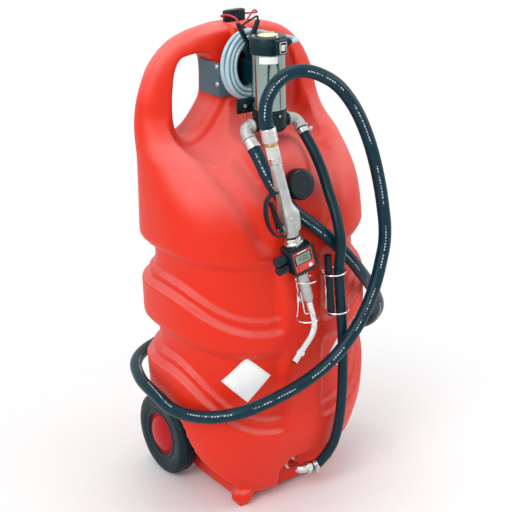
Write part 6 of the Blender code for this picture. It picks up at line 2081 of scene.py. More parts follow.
def curved_plate(name: str, radius: float, middle: float, size: tuple[float, float], centre: Vector,
                 finish: Finish, stands_for: Sequence[str]) -> bpy.types.Object:
    """Make a thin plate bent round an upright can, with UV over its face.

    Args:
        name: The plate's name.
        radius: Radius of its outer face.
        middle: Angle of its middle round the can.
        size: Width along the bend, and height.
        centre: Point of the can's axis level with its middle.
        finish: Its finish.
        stands_for: The solids that it replaces.

    Returns:
        The piece.
    """
    steps = 24
    shape = bmesh.new()
    cover = shape.loops.layers.uv.new("UVMap")
    reach = size[0] / 2.0 / radius
    columns = []
    for number in range(steps + 1):
        angle = middle + reach * (2.0 * number / steps - 1.0)
        column = []
        for out, up in ((radius - PLATE, -0.5), (radius, -0.5), (radius, 0.5), (radius - PLATE, 0.5)):
            column.append(shape.verts.new(centre + Vector((out * math.cos(angle), out * math.sin(angle),
                                                           up * size[1]))))
        columns.append(column)
    for number, (low, high) in enumerate(zip(columns, columns[1:])):
        for first in range(4):
            second = (first + 1) % 4
            face = shape.faces.new((low[first], high[first], high[second], low[second]))
            for loop, (u, v) in zip(face.loops, ((number, first), (number + 1, first), (number + 1, second),
                                                 (number, second))):
                loop[cover].uv = (u / steps, 0.0 if v in (0, 1) else 1.0)
    shape.faces.new(columns[0])
    shape.faces.new(list(reversed(columns[-1])))
    return piece_of(name, shape, finish, Body.CADDY, angle=40.0, stands_for=stands_for)


@dataclass
class PumpSet:
    """The pump and its motor, the switch on its cap, and the brackets behind it."""

    y: float = -0.065
    top: float = 1.053
    cap_low: float = 1.017
    cap_radius: float = 0.0385
    can_radius: float = 0.0350
    can_low: float = 0.899
    base_radius: float = 0.0365
    base_low: float = 0.850
    port_z: float = 0.868
    port_radius: float = 0.0150
    port_reach: float = 0.044
    plate_size: tuple[float, float] = (0.041, 0.015)
    plate_angle: float = math.radians(-124)
    gland: Point = (0.0133, -0.1105, 1.0435)
    gland_radius: float = 0.0070
    gland_length: float = 0.012
    rocker_place: Point = (0.0, -0.1186, 1.035)
    rocker_size: tuple[float, float] = (0.013, 0.019)
    seam: tuple[float, float] = (0.0009, 0.0016)
    seam_angle: float = math.radians(100)
    cap_screw_reach: float = 0.0300
    cap_screw_turns: tuple[float, ...] = (math.radians(35), math.radians(155), math.radians(-85))
    saddle_screw_x: float = 0.0604
    saddle_screws: tuple[tuple[float, float], ...] = ((0.040, 0.978), (0.040, 0.940))
    foot_screws: tuple[float, float] = (0.037, 0.902)
    earth_lug: tuple[float, float] = (0.8905, 0.8865)

    @property
    def at(self) -> Matrix:
        """Return the pump's frame: Z up its axis, from the floor."""
        return Matrix.Translation((0.0, self.y, 0.0))

    def build(self) -> None:
        """Build the pump from its foot to its switch."""
        self.base()
        self.motor()
        self.switch()
        self.brackets()
        dress("pump_rotor", AXLE_STEEL)
        dress("motor_armature", COPPER)

    def base(self) -> None:
        """Build the pump's housing with its ports, the lugs round it and their screws."""
        high = self.can_low - FIT
        radius = self.base_radius
        profile = (
            (0.0, high), (radius - 0.0008, high), (radius, high - 0.0008), (radius, high - 0.0058),
            (radius - 0.0012, high - 0.0070), (radius - 0.0012, self.port_z - self.port_radius * 0.25),
            (radius, self.port_z - self.port_radius * 0.35), (radius, self.port_z - self.port_radius * 0.55),
            (radius * 0.90, self.base_low + self.port_radius * 0.24), (radius * 0.86, self.base_low + 0.0024),
            (radius * 0.62, self.base_low + 0.0004), (radius * 0.56, self.base_low), (0.0, self.base_low),
        )
        parts = [moved(turned(profile, 72), self.at)]
        out, reach = self.port_radius, self.port_reach
        port = (
            (0.0, reach), (out * 0.55, reach), (out * 0.55, reach - 0.0004), (out * 0.96, reach),
            (out, reach - 0.0008), (out, reach - 0.0040), (out * 0.92, reach - 0.0050), (out * 0.92, 0.0),
            (0.0, 0.0),
        )
        for side in (-1.0, 1.0):
            parts.append(moved(turned(port, 48), facing((0.0, self.y, self.port_z), (side, 0.0, 0.0),
                                                        AXIS_Y)))
        piece_of("pump_housing", joined(parts), BLACK_MOULDING, Body.CADDY, angle=38.0,
                 stands_for=("pump_base",))
        spots = []
        for number in range(6):
            angle = math.pi / 6.0 + math.pi * number / 3.0
            out = self.base_radius * 0.99
            spots.append(((out * math.cos(angle), self.y + out * math.sin(angle), high - 0.0105),
                          (math.cos(angle), math.sin(angle), 0.0)))
        lugs = [moved(rod(0.0042, -0.0030, 0.0012, 0.0006, 20), facing(place, way, AXIS_Z))
                for place, way in spots]
        piece_of("pump_lugs", joined(lugs), BLACK_MOULDING, Body.CADDY)
        heads = [((x + way[0] * 0.0010, y + way[1] * 0.0010, z), way) for (x, y, z), way in spots]
        PUMP_SCREW.place("pump_screws", heads)

    def motor(self) -> None:
        """Build the steel can, the banded cap, the bare nameplate and the plain disc."""
        low, high = self.can_low, self.cap_low - FIT
        radius = self.can_radius
        can = ((radius - 0.0025, low), (radius - 0.0006, low), (radius, low + 0.0006), (radius, low + 0.0030),
               (radius - 0.0005, low + 0.0036), (radius - 0.0005, low + 0.0046), (radius, low + 0.0052),
               (radius, high - 0.0052), (radius - 0.0005, high - 0.0046), (radius - 0.0005, high - 0.0036),
               (radius, high - 0.0030), (radius, high - 0.0004), (radius - 0.0004, high),
               (radius - 0.0025, high), (radius - 0.0025, low))
        piece_of("motor_shell", turned(can, 96), CAN_STEEL, Body.CADDY, self.at,
                 stands_for=("motor_can",))
        seam = block((*self.seam, high - low - 0.014), (radius, 0.0, (low + high) / 2.0))
        turn = Matrix.Rotation(self.seam_angle, 4, "Z")
        piece_of("motor_seam", moved(seam, self.at @ turn), CAN_STEEL, Body.CADDY)
        edge = self.cap_radius
        cap = [(0.0, self.top), (edge - 0.0062, self.top), (edge - 0.0030, self.top - 0.0004),
               (edge - 0.0010, self.top - 0.0014), (edge - 0.0002, self.top - 0.0034)]
        for share in (0.56, 0.70, 0.84):
            band = self.top - (self.top - self.cap_low) * share
            cap += [(edge, band + 0.0014), (edge - 0.0012, band + 0.0009), (edge - 0.0012, band - 0.0009),
                    (edge, band - 0.0014)]
        cap += [(edge, self.cap_low + 0.0008), (edge - 0.0008, self.cap_low), (0.0, self.cap_low)]
        piece_of("motor_cap_shell", turned(cap, 96), CAP_SATIN, Body.CADDY, self.at,
                 stands_for=("motor_cap",))
        refined("cap_disc", CREAM_DISC, bevel=0.0002)
        middle = Vector((0.0, self.y, self.cap_low - PLATE * 3.0 - self.plate_size[1] / 2.0))
        curved_plate("motor_plate", radius + FIT + PLATE, self.plate_angle, self.plate_size, middle,
                     TIN_PLATE, ("motor_nameplate",))
        out = self.cap_screw_reach
        spots = [((out * math.cos(turn), self.y + out * math.sin(turn), self.top + 0.0002), AXIS_Z)
                 for turn in self.cap_screw_turns]
        CAP_SCREW.place("motor_cap_screws", spots)

    def switch(self) -> None:
        """Build the switch box, its pale frame, the rocker and the cable gland."""
        refined("switch_housing", BLACK_MOULDING, bevel=0.0007)
        width, height = self.rocker_size
        outer = rounded_outline(width + 0.0044, height + 0.0044, 0.0024)
        inner = rounded_outline(width + 0.0022, height + 0.0022, 0.0016)
        rings = [[Vector((x, y, z)) for x, y in outline]
                 for outline, z in ((outer, -0.0004), (outer, 0.0008), (inner, 0.0012), (inner, -0.0004))]
        piece_of("switch_frame", lofted(rings, closed=True), PALE_PLASTIC, Body.CADDY,
                 facing(self.rocker_place, FRONT), angle=30.0)
        rocker = copy_of("switch_rocker")
        shrink = Matrix.Diagonal((0.72, 1.0, 0.70, 1.0))
        bmesh.ops.transform(rocker, matrix=shrink, verts=rocker.verts,
                            space=Matrix.Translation(-Vector(self.rocker_place)))
        piece_of("rocker_button", rocker, BARE_WHITE, Body.ROCKER, stands_for=("switch_rocker",),
                 bevel=0.0006)
        radius, length = self.gland_radius, self.gland_length
        profile = [(0.0, length), (radius * 0.72, length), (radius * 0.80, length * 0.94),
                   (radius * 0.84, length * 0.66), (radius * 0.98, length * 0.60), (radius, length * 0.54),
                   (radius, length * 0.34), (radius * 0.86, length * 0.30), (radius * 0.86, length * 0.24),
                   (radius, length * 0.20), (radius, 0.0), (0.0, 0.0)]
        gland_at = facing(self.gland, AXIS_X, AXIS_Y)
        piece_of("gland_shell", turned(profile, 48), BLACK_MOULDING, Body.CADDY, gland_at,
                 stands_for=("cable_gland",))
        detail = block((0.0010, 0.0011, length * 0.16), (0.0, 0.0, length * 0.44))
        repeated("gland_ribs", detail,
                 Layout(Repeat.ROUND, count=16, radius=radius - 0.0001, matrix=gland_at),
                 BLACK_MOULDING, Body.CADDY)

    def brackets(self) -> None:
        """Finish the saddle round the post, its screws, and the pump's own bracket."""
        refined("saddle_bracket", SADDLE_GREY, bevel=0.0009)
        spots = [((side * self.saddle_screw_x, y, z), (side, 0.0, 0.0))
                 for side in (-1.0, 1.0) for y, z in self.saddle_screws]
        washer = ((0.0, 0.0008), (0.0052, 0.0008), (0.0056, 0.0004), (0.0056, 0.0), (0.0, 0.0))
        washers = [moved(turned(washer, 32), facing(place, way, AXIS_Y)) for place, way in spots]
        piece_of("saddle_washers", joined(washers), PLATED, Body.CADDY)
        heads = [((x + way[0] * 0.0008, y, z), way) for (x, y, z), way in spots]
        SADDLE_SCREW.place("saddle_screws", heads)
        refined("pump_bracket", BLACK_MOULDING, bevel=0.0008)
        feet = [((x, self.y + self.base_radius + 0.0002, self.foot_screws[1]), FRONT)
                for x in (-self.foot_screws[0], self.foot_screws[0])]
        FOOTPLATE_SCREW.place("footplate_screws", feet)
        lug_y = self.y + self.base_radius - PLATE
        ring = turned(((0.0030, 0.0), (0.0052, 0.0), (0.0052, PLATE), (0.0030, PLATE), (0.0030, 0.0)), 28)
        barrel = rod(0.0021, 0.0, 0.0090, 0.0003, 20)
        ring_z, barrel_z = self.earth_lug
        parts = [moved(ring, facing((-self.foot_screws[0], lug_y, ring_z), FRONT)),
                 moved(barrel, facing((-self.foot_screws[0], lug_y - PLATE, barrel_z), -AXIS_Z))]
        piece_of("earth_lug", joined(parts), COPPER, Body.CADDY)


@dataclass
class PowerLead:
    """The power cable: its coil, the tail to the gland, the fuse, the leads and the battery clamps."""

    radius: float = 0.00425
    pitch: float = 0.0097
    layer_pitch: float = 0.0090
    loops: int = 3
    layers: int = 4
    steps: int = 24
    inner: tuple[float, float] = (0.0277, 0.0408)
    start: float = math.radians(75)
    middle: tuple[float, float] = (0.0140, 0.976)
    lead_radius: float = 0.0021
    gland_end: Point = (0.0256, -0.1105, 1.0435)
    tail_route: tuple[Point, ...] = (
        (0.0450, -0.104, 1.0425), (0.0545, -0.082, 1.041), (0.0570, -0.055, 1.040),
        (0.0520, -0.026, 1.041), (0.0400, -0.008, 1.043),
    )
    fuse: Point = (0.020, 0.0875, 1.0703)
    fuse_length: float = 0.050
    to_fuse: tuple[Point, ...] = (
        (-0.004, 0.031, 1.063), (-0.008, 0.042, 1.074), (-0.014, 0.062, 1.078), (-0.019, 0.078, 1.075),
    )
    from_fuse: tuple[Point, ...] = ((0.061, 0.079, 1.071), (0.058, 0.056, 1.076), (0.042, 0.043, 1.084))
    to_black: tuple[Point, ...] = (
        (-0.004, 0.022, 1.059), (-0.007, 0.006, 1.068), (0.000, -0.008, 1.078), (0.012, -0.0115, 1.083),
    )
    clamps: tuple[tuple[str, float, float, float], ...] = (
        ("red", -0.0025, 0.0390, 1.0203), ("black", -0.0115, -0.0110, 1.0293),
    )
    grip: tuple[float, float, float] = (0.028, 0.0055, 0.045)
    sleeve: tuple[float, float] = (0.0041, 0.0011)
    sleeve_ends: tuple[float, float] = (0.34, 0.985)
    sleeve_steps: int = 12
    rivet_half: float = 0.0055
    spring_wire: float = 0.0005
    spring_radius: float = 0.0034
    spring_rise: float = 0.0112
    spring_length: float = 0.0036
    spring_turns: int = 4

    def coil(self) -> list[Vector]:
        """Return the coil's centre line: it spirals in on one layer and out again on the next.

        Returns:
            The points.
        """
        points = []
        y, z = self.middle
        for number in range(self.loops * self.layers * self.steps + 1):
            t = number / self.steps
            reach = abs(self.loops - t % (2.0 * self.loops))
            angle = self.start + 2.0 * math.pi * t
            climb = 0.0
            for layer in range(1, self.layers):
                change = self.loops * layer
                climb += eased(t, change - 0.25, change + 0.25)
            half_x = self.inner[0] + self.pitch * (reach + 0.5)
            half_z = self.inner[1] + self.pitch * (reach + 0.5)
            depth = self.layer_pitch * (climb - (self.layers - 1.0) / 2.0)
            points.append(Vector((half_x * math.cos(angle), y + depth, z + half_z * math.sin(angle))))
        return points

    def build(self) -> None:
        """Build the cable from the gland to the clamps."""
        points = self.coil()
        first = (points[0] - points[1]).normalized()
        last = (points[-1] - points[-2]).normalized()
        straight = self.radius * 2.0
        points = [points[0] + first * straight] + points + [points[-1] + last * straight]
        tail = cad_run(Vector(self.gland_end), AXIS_X, self.tail_route, points[0] + first * FIT, first,
                       self.radius, 22)
        cord_of("cable_tail", tail, self.radius, CABLE_GREY)
        cord_of("cable_coil", points, self.radius, CABLE_GREY, sides=14)
        end = points[-1] + last * FIT
        up = AXIS_Y.cross(last).normalized() * (self.lead_radius + FIT / 2.0)
        if up.z < 0.0:
            up = -up
        fuse = Vector(self.fuse)
        left = fuse - AXIS_X * (self.fuse_length / 2.0 + FIT)
        right = fuse + AXIS_X * (self.fuse_length / 2.0 + FIT)
        red_grip, black_grip = [self.grip_end(*clamp[1:]) for clamp in self.clamps]
        self.lead("lead_red", end + up, last, self.to_fuse, left, -AXIS_X, LEAD_RED)
        self.lead("lead_fuse", right, AXIS_X, self.from_fuse, red_grip, AXIS_Z, LEAD_RED)
        self.lead("lead_black", end - up, last, self.to_black, black_grip, AXIS_Z, LEAD_BLACK)
        refined("fuse_holder", BLACK_MOULDING, bevel=0.0010)
        self.fuse_clip()
        for word, x, y, z in self.clamps:
            self.clamp(word, Vector((x, y, z)))

    def grip_end(self, x: float, y: float, z: float) -> Vector:
        """Return where a lead meets its clamp's grip."""
        spread, thick, length = self.grip
        return Vector((x + spread - thick / 2.0, y, z + length + FIT))

    def lead(self, name: str, start: Vector, out: Vector, route: Sequence[Point], end: Vector, back: Vector,
             finish: Finish) -> None:
        """Build one thin lead."""
        points = cad_run(start, out, route, end, back, self.lead_radius * 2.0, 18)
        cord_of(name, points, self.lead_radius, finish, sides=14)

    def fuse_clip(self) -> None:
        """Build the latch and the two cable seals of the fuse holder."""
        fuse = Vector(self.fuse)
        parts = []
        for side in (-1.0, 1.0):
            seal = turned(((0.0, 0.0032), (0.0026, 0.0032), (0.0032, 0.0024), (0.0034, 0.0), (0.0, 0.0)), 24)
            at = fuse + AXIS_X * side * (self.fuse_length / 2.0 - 0.0030)
            parts.append(moved(seal, facing(at, (side, 0.0, 0.0), AXIS_Y)))
        latch = block((0.010, 0.0016, 0.012), fuse + Vector((0.0, -0.0084, 0.001)))
        parts.append(bevelled(latch, 0.0005))
        piece_of("fuse_latch", joined(parts), BLACK_GLOSS, Body.CADDY)

    def clamp(self, word: str, pivot: Vector) -> None:
        """Finish one battery clamp: its two halves, its sleeves, its pin's heads and its spring.

        Args:
            word: Its colour, red or black.
            pivot: Middle of its pin.
        """
        red = word == "red"
        grip = GRIP_RED if red else BLACK_MOULDING
        moving = Body.RED_LEFT if red else Body.BLACK_LEFT
        hands = ((-1.0, "left", moving), (1.0, "right", Body.CADDY))
        for _, hand, body in hands:
            refined("clamp_%s_%s" % (word, hand), grip, body, bevel=0.0009)
        for side, hand, body in hands:
            piece_of("clamp_%s_sleeve_%s" % (word, hand), self.grip_sleeve(pivot, side), grip, body,
                     angle=50.0, bevel=0.0008)
        heads = [(pivot + Vector((0.0, side * (self.rivet_half - 0.0002), 0.0)), (0.0, side, 0.0))
                 for side in (-1, 1)]
        CLAMP_RIVET.place("clamp_%s_rivet" % word, heads)
        piece_of("clamp_%s_spring" % word, tube(self.spring(pivot), self.spring_wire, 8), PLATED, Body.CADDY,
                 angle=60.0)

    def grip_sleeve(self, pivot: Vector, side: float) -> bmesh.types.BMesh:
        """Return the swollen sleeve over one grip.

        Args:
            pivot: Middle of the clamp's pin.
            side: -1 on the left, 1 on the right.

        Returns:
            The sleeve.
        """
        spread, thick, length = self.grip
        start, stop = self.sleeve_ends
        ends, swell = self.sleeve
        low = pivot + Vector((side * spread * start, 0.0, length * start))
        high = pivot + Vector((side * (spread - thick / 2.0), 0.0, length * stop))
        shares = [number / self.sleeve_steps for number in range(self.sleeve_steps + 1)]
        radii = [ends + swell * math.sin(math.pi * min(share * 1.2, 1.0) ** 0.8) for share in shares]
        return tube([low.lerp(high, share) for share in shares], radii)

    def spring(self, pivot: Vector) -> list[Vector]:
        """Return the centre line of the coil spring between a clamp's halves.

        Args:
            pivot: Middle of the clamp's pin.

        Returns:
            The points.
        """
        coil = []
        steps = self.spring_turns * 16
        for number in range(steps + 1):
            angle = math.pi * number / 8.0
            coil.append(pivot + Vector((self.spring_radius * math.cos(angle),
                                        self.spring_length * (number / steps - 0.5),
                                        self.spring_rise + self.spring_radius * math.sin(angle))))
        return coil


@dataclass
class Hoses:
    """The elbows, both hoses with their ferrules and clamps, and the tank's outlet."""

    pump_y: float = -0.065
    port_z: float = 0.868
    port_reach: float = 0.0443
    elbow_x: float = 0.068
    elbow_drop: float = 0.030
    elbow_radius: float = 0.0125
    elbow_bend: float = 0.0165
    bead: float = 0.0060
    ferrule: tuple[float, float] = (0.0165, 0.024)
    delivery_radius: float = 0.0140
    suction_radius: float = 0.0115
    clamp_from_end: float = 0.0077
    outlet: Point = (0.004, -0.152, 0.066)
    outlet_end: float = 0.031
    outlet_wall: float = -0.0983
    outlet_radius: float = 0.0105
    outlet_bend: float = 0.0130
    delivery_route: tuple[Point, ...] = (
        (-0.070, -0.141, 0.793), (-0.059, -0.159, 0.757), (-0.025, -0.1760, 0.708), (0.040, -0.188, 0.648),
        (0.108, -0.186, 0.580), (0.168, -0.170, 0.512), (0.236, -0.128, 0.440), (0.284, -0.085, 0.372),
        (0.300, -0.020, 0.310), (0.284, 0.080, 0.268), (0.235, 0.180, 0.262), (0.130, 0.232, 0.275),
        (0.0, 0.240, 0.284), (-0.130, 0.232, 0.288), (-0.225, 0.172, 0.290), (-0.268, 0.075, 0.287),
        (-0.272, 0.010, 0.281), (-0.268, -0.035, 0.268), (-0.252, -0.088, 0.264), (-0.216, -0.138, 0.268),
        (-0.166, -0.174, 0.279), (-0.106, -0.195, 0.296), (-0.036, -0.213, 0.322), (0.028, -0.228, 0.360),
        (0.077, -0.238, 0.408), (0.113, -0.242, 0.458), (0.139, -0.242, 0.505), (0.160, -0.238, 0.554),
        (0.178, -0.233, 0.616), (0.177, -0.227, 0.682), (0.166, -0.222, 0.756), (0.146, -0.216, 0.834),
        (0.116, -0.207, 0.907), (0.074, -0.200, 0.962), (0.030, -0.194, 0.990), (-0.012, -0.188, 1.002),
        (-0.048, -0.182, 0.994), (-0.074, -0.177, 0.969), (-0.087, -0.173, 0.937),
    )
    suction_route: tuple[Point, ...] = (
        (0.072, -0.124, 0.803), (0.077, -0.145, 0.764), (0.077, -0.167, 0.722), (0.072, -0.199, 0.678),
        (0.069, -0.2175, 0.624), (0.071, -0.209, 0.556), (0.077, -0.208, 0.467), (0.081, -0.208, 0.400),
        (0.083, -0.206, 0.343), (0.085, -0.202, 0.280), (0.085, -0.196, 0.220), (0.083, -0.187, 0.165),
        (0.078, -0.176, 0.122), (0.066, -0.162, 0.087),
    )

    def build(self) -> None:
        """Build both lines from the pump's ports."""
        down = Vector((0.0, -1.0, -1.0)).normalized()
        ends = [self.elbow(name, side, down) for name, side in (("outlet_elbow", -1.0), ("inlet_elbow", 1.0))]
        radius, length = self.ferrule
        top = ends[0] + down * FIT
        crimped("pump_ferrule", radius, length, facing(top + down * length, -down))
        start = top + down * (length + FIT)
        nozzle = nozzle_frame()
        end = nozzle @ Vector((0.0, 0.0, NOZZLE_LENGTH + FIT))
        upward = nozzle.to_3x3() @ AXIS_Z
        points = cad_run(start, down, self.delivery_route, end, upward, self.delivery_radius * 1.5, 78)
        cord_of("delivery_hose", points, self.delivery_radius, HOSE_RUBBER, sides=28)
        start = ends[1] + down * FIT
        fitting_end = Vector((self.outlet_end + FIT, self.outlet[1], self.outlet[2]))
        points = cad_run(start, down, self.suction_route, fitting_end, AXIS_X, self.suction_radius * 1.5, 44)
        piece_of("suction_line", tube(hermite(points, 200), self.suction_radius, 24), SUCTION_RUBBER,
                 Body.CADDY, angle=60.0, stands_for=("suction_hose",))
        worm_clamp("suction_clamp_upper", start + down * self.clamp_from_end, down, AXIS_X,
                   self.suction_radius)
        worm_clamp("suction_clamp_lower", fitting_end + AXIS_X * self.clamp_from_end, AXIS_X,
                   FRONT, self.suction_radius)
        self.outlet_fitting()

    def elbow(self, name: str, side: float, down: Vector) -> Vector:
        """Build one screwed elbow and return where its hose starts.

        Args:
            name: The solid that it replaces.
            side: -1 on the left, 1 on the right.
            down: Direction of its lower leg.

        Returns:
            The end of its lower leg.
        """
        start = Vector((side * self.port_reach, self.pump_y, self.port_z))
        middle = Vector((side * self.elbow_x, self.pump_y, self.port_z))
        end = middle + down * self.elbow_drop
        inset = self.bead / 2.0
        line = [start + AXIS_X * side * inset]
        line += rounded_corner(start, middle, end, self.elbow_bend, 18)
        line.append(end - down * inset)
        parts = [tube(line, self.elbow_radius, 40)]
        out = self.elbow_radius * 1.22
        collar = ((0.0, 0.0), (out - 0.0010, 0.0), (out, 0.0010), (out, self.bead - 0.0012),
                  (out - 0.0012, self.bead), (self.elbow_radius * 0.96, self.bead + 0.0008), (0.0, self.bead))
        for place, way in ((start, AXIS_X * side), (end, -down)):
            parts.append(moved(turned(collar, 48), facing(place, way, AXIS_Y)))
        piece_of(name + "_cast", joined(parts), GALVANISED, Body.CADDY, angle=40.0,
                 stands_for=(name,))
        return end

    def outlet_fitting(self) -> None:
        """Build the bent fitting with its two hexagons at the tank's foot."""
        x, y, z = self.outlet
        wall = Vector((x, self.outlet_wall, z))
        bend = Vector((x, y, z))
        end = Vector((self.outlet_end, y, z))
        line = [wall - Vector((0.0, self.outlet_radius / 2.0, 0.0))]
        line += rounded_corner(wall, bend, end, self.outlet_bend, 18)
        line.append(end)
        parts = [tube(line, self.outlet_radius, 40)]
        parts.append(moved(hexagonal(self.outlet_radius * 2.7, 0.0, self.outlet_radius),
                           facing(wall, FRONT)))
        parts.append(moved(hexagonal(self.outlet_radius * 2.5, 0.0, self.outlet_radius),
                           facing(bend + AXIS_X * self.outlet_bend, AXIS_X, AXIS_Y)))
        piece_of("outlet_cast", joined(parts), PLATED, Body.CADDY, angle=32.0,
                 stands_for=("outlet_fitting",))


def worm_clamp(name: str, centre: Vector, along: Vector, side: Vector, radius: float) -> None:
    """Build a worm-drive clamp round a hose, in place of the solid of that name.

    Args:
        name: The solid.
        centre: Middle of its band.
        along: Direction of the hose.
        side: Where its screw sits.
        radius: Radius of the hose.
    """
    width, screw = 0.011, 0.0034
    inner = radius + FIT
    outer = inner + 0.0012
    half = width / 2.0
    band = turned(((inner, -half), (outer - 0.0003, -half), (outer, -half + 0.0003), (outer, half - 0.0003),
                   (outer - 0.0003, half), (inner, half), (inner, -half)), 56)
    house = bevelled(block((screw * 1.9, 0.0125, width * 0.86), (outer + screw * 0.75, 0.0, 0.0)), 0.0010, 3)
    ridge = bevelled(block((screw * 0.5, 0.0085, width * 0.30), (outer + screw * 1.75, 0.0, 0.0)), 0.0005)
    across = facing((outer + screw * 0.85, 0.0, 0.0), AXIS_Y)
    worm = moved(rod(screw * 0.62, -0.0080, 0.0100, 0.0004, 28), across)
    head = moved(hexagonal(screw * 1.9, 0.0075, 0.0108), across)
    piece_of(name + "_drive", joined([band, house, ridge, worm, head]), PLATED, Body.CADDY,
             facing(centre, along, side), angle=38.0, stands_for=(name,))


def crimped(name: str, radius: float, length: float, matrix: Matrix) -> None:
    """Build a hose ferrule with its crimped grooves, in place of the solid of that name.

    Args:
        name: The solid.
        radius: Its radius.
        length: Its length.
        matrix: Where it stands, its Z towards the fitting.
    """
    profile = [(0.0, length), (radius * 0.80, length), (radius * 0.84, length - 0.0006),
               (radius * 0.96, length - 0.0022), (radius, length - 0.0030)]
    for number in range(4):
        mid = length * (0.76 - 0.17 * number)
        profile += [(radius, mid + 0.0013), (radius * 0.955, mid + 0.0007), (radius * 0.955, mid - 0.0007),
                    (radius, mid - 0.0013)]
    profile += [(radius, 0.0014), (radius * 0.97, 0.0), (0.0, 0.0)]
    piece_of(name + "_crimped", turned(profile, 64), PLATED, Body.CADDY, matrix,
             stands_for=(name,))


# The nozzle's ends, which the hose and the meter also start from
NOZZLE_TOP = Vector((-0.0850, -0.177, 0.894))
NOZZLE_VALVE = Vector((-0.0513, -0.2077, 0.6653))
NOZZLE_LENGTH = (NOZZLE_TOP - NOZZLE_VALVE).length
SPOUT_BEND = Vector((0.008, -0.208, 0.439))
SPOUT_TIP = Vector((-0.061, -0.220, 0.384))


def nozzle_frame() -> Matrix:
    """Return the nozzle's frame: origin at its valve end, Z up along its grip."""
    return facing(NOZZLE_VALVE, NOZZLE_TOP - NOZZLE_VALVE)


def spout_frame() -> Matrix:
    """Return the meter's and spout's frame: origin at the valve end, Z back up towards the nozzle."""
    return facing(NOZZLE_VALVE, NOZZLE_VALVE - SPOUT_BEND)


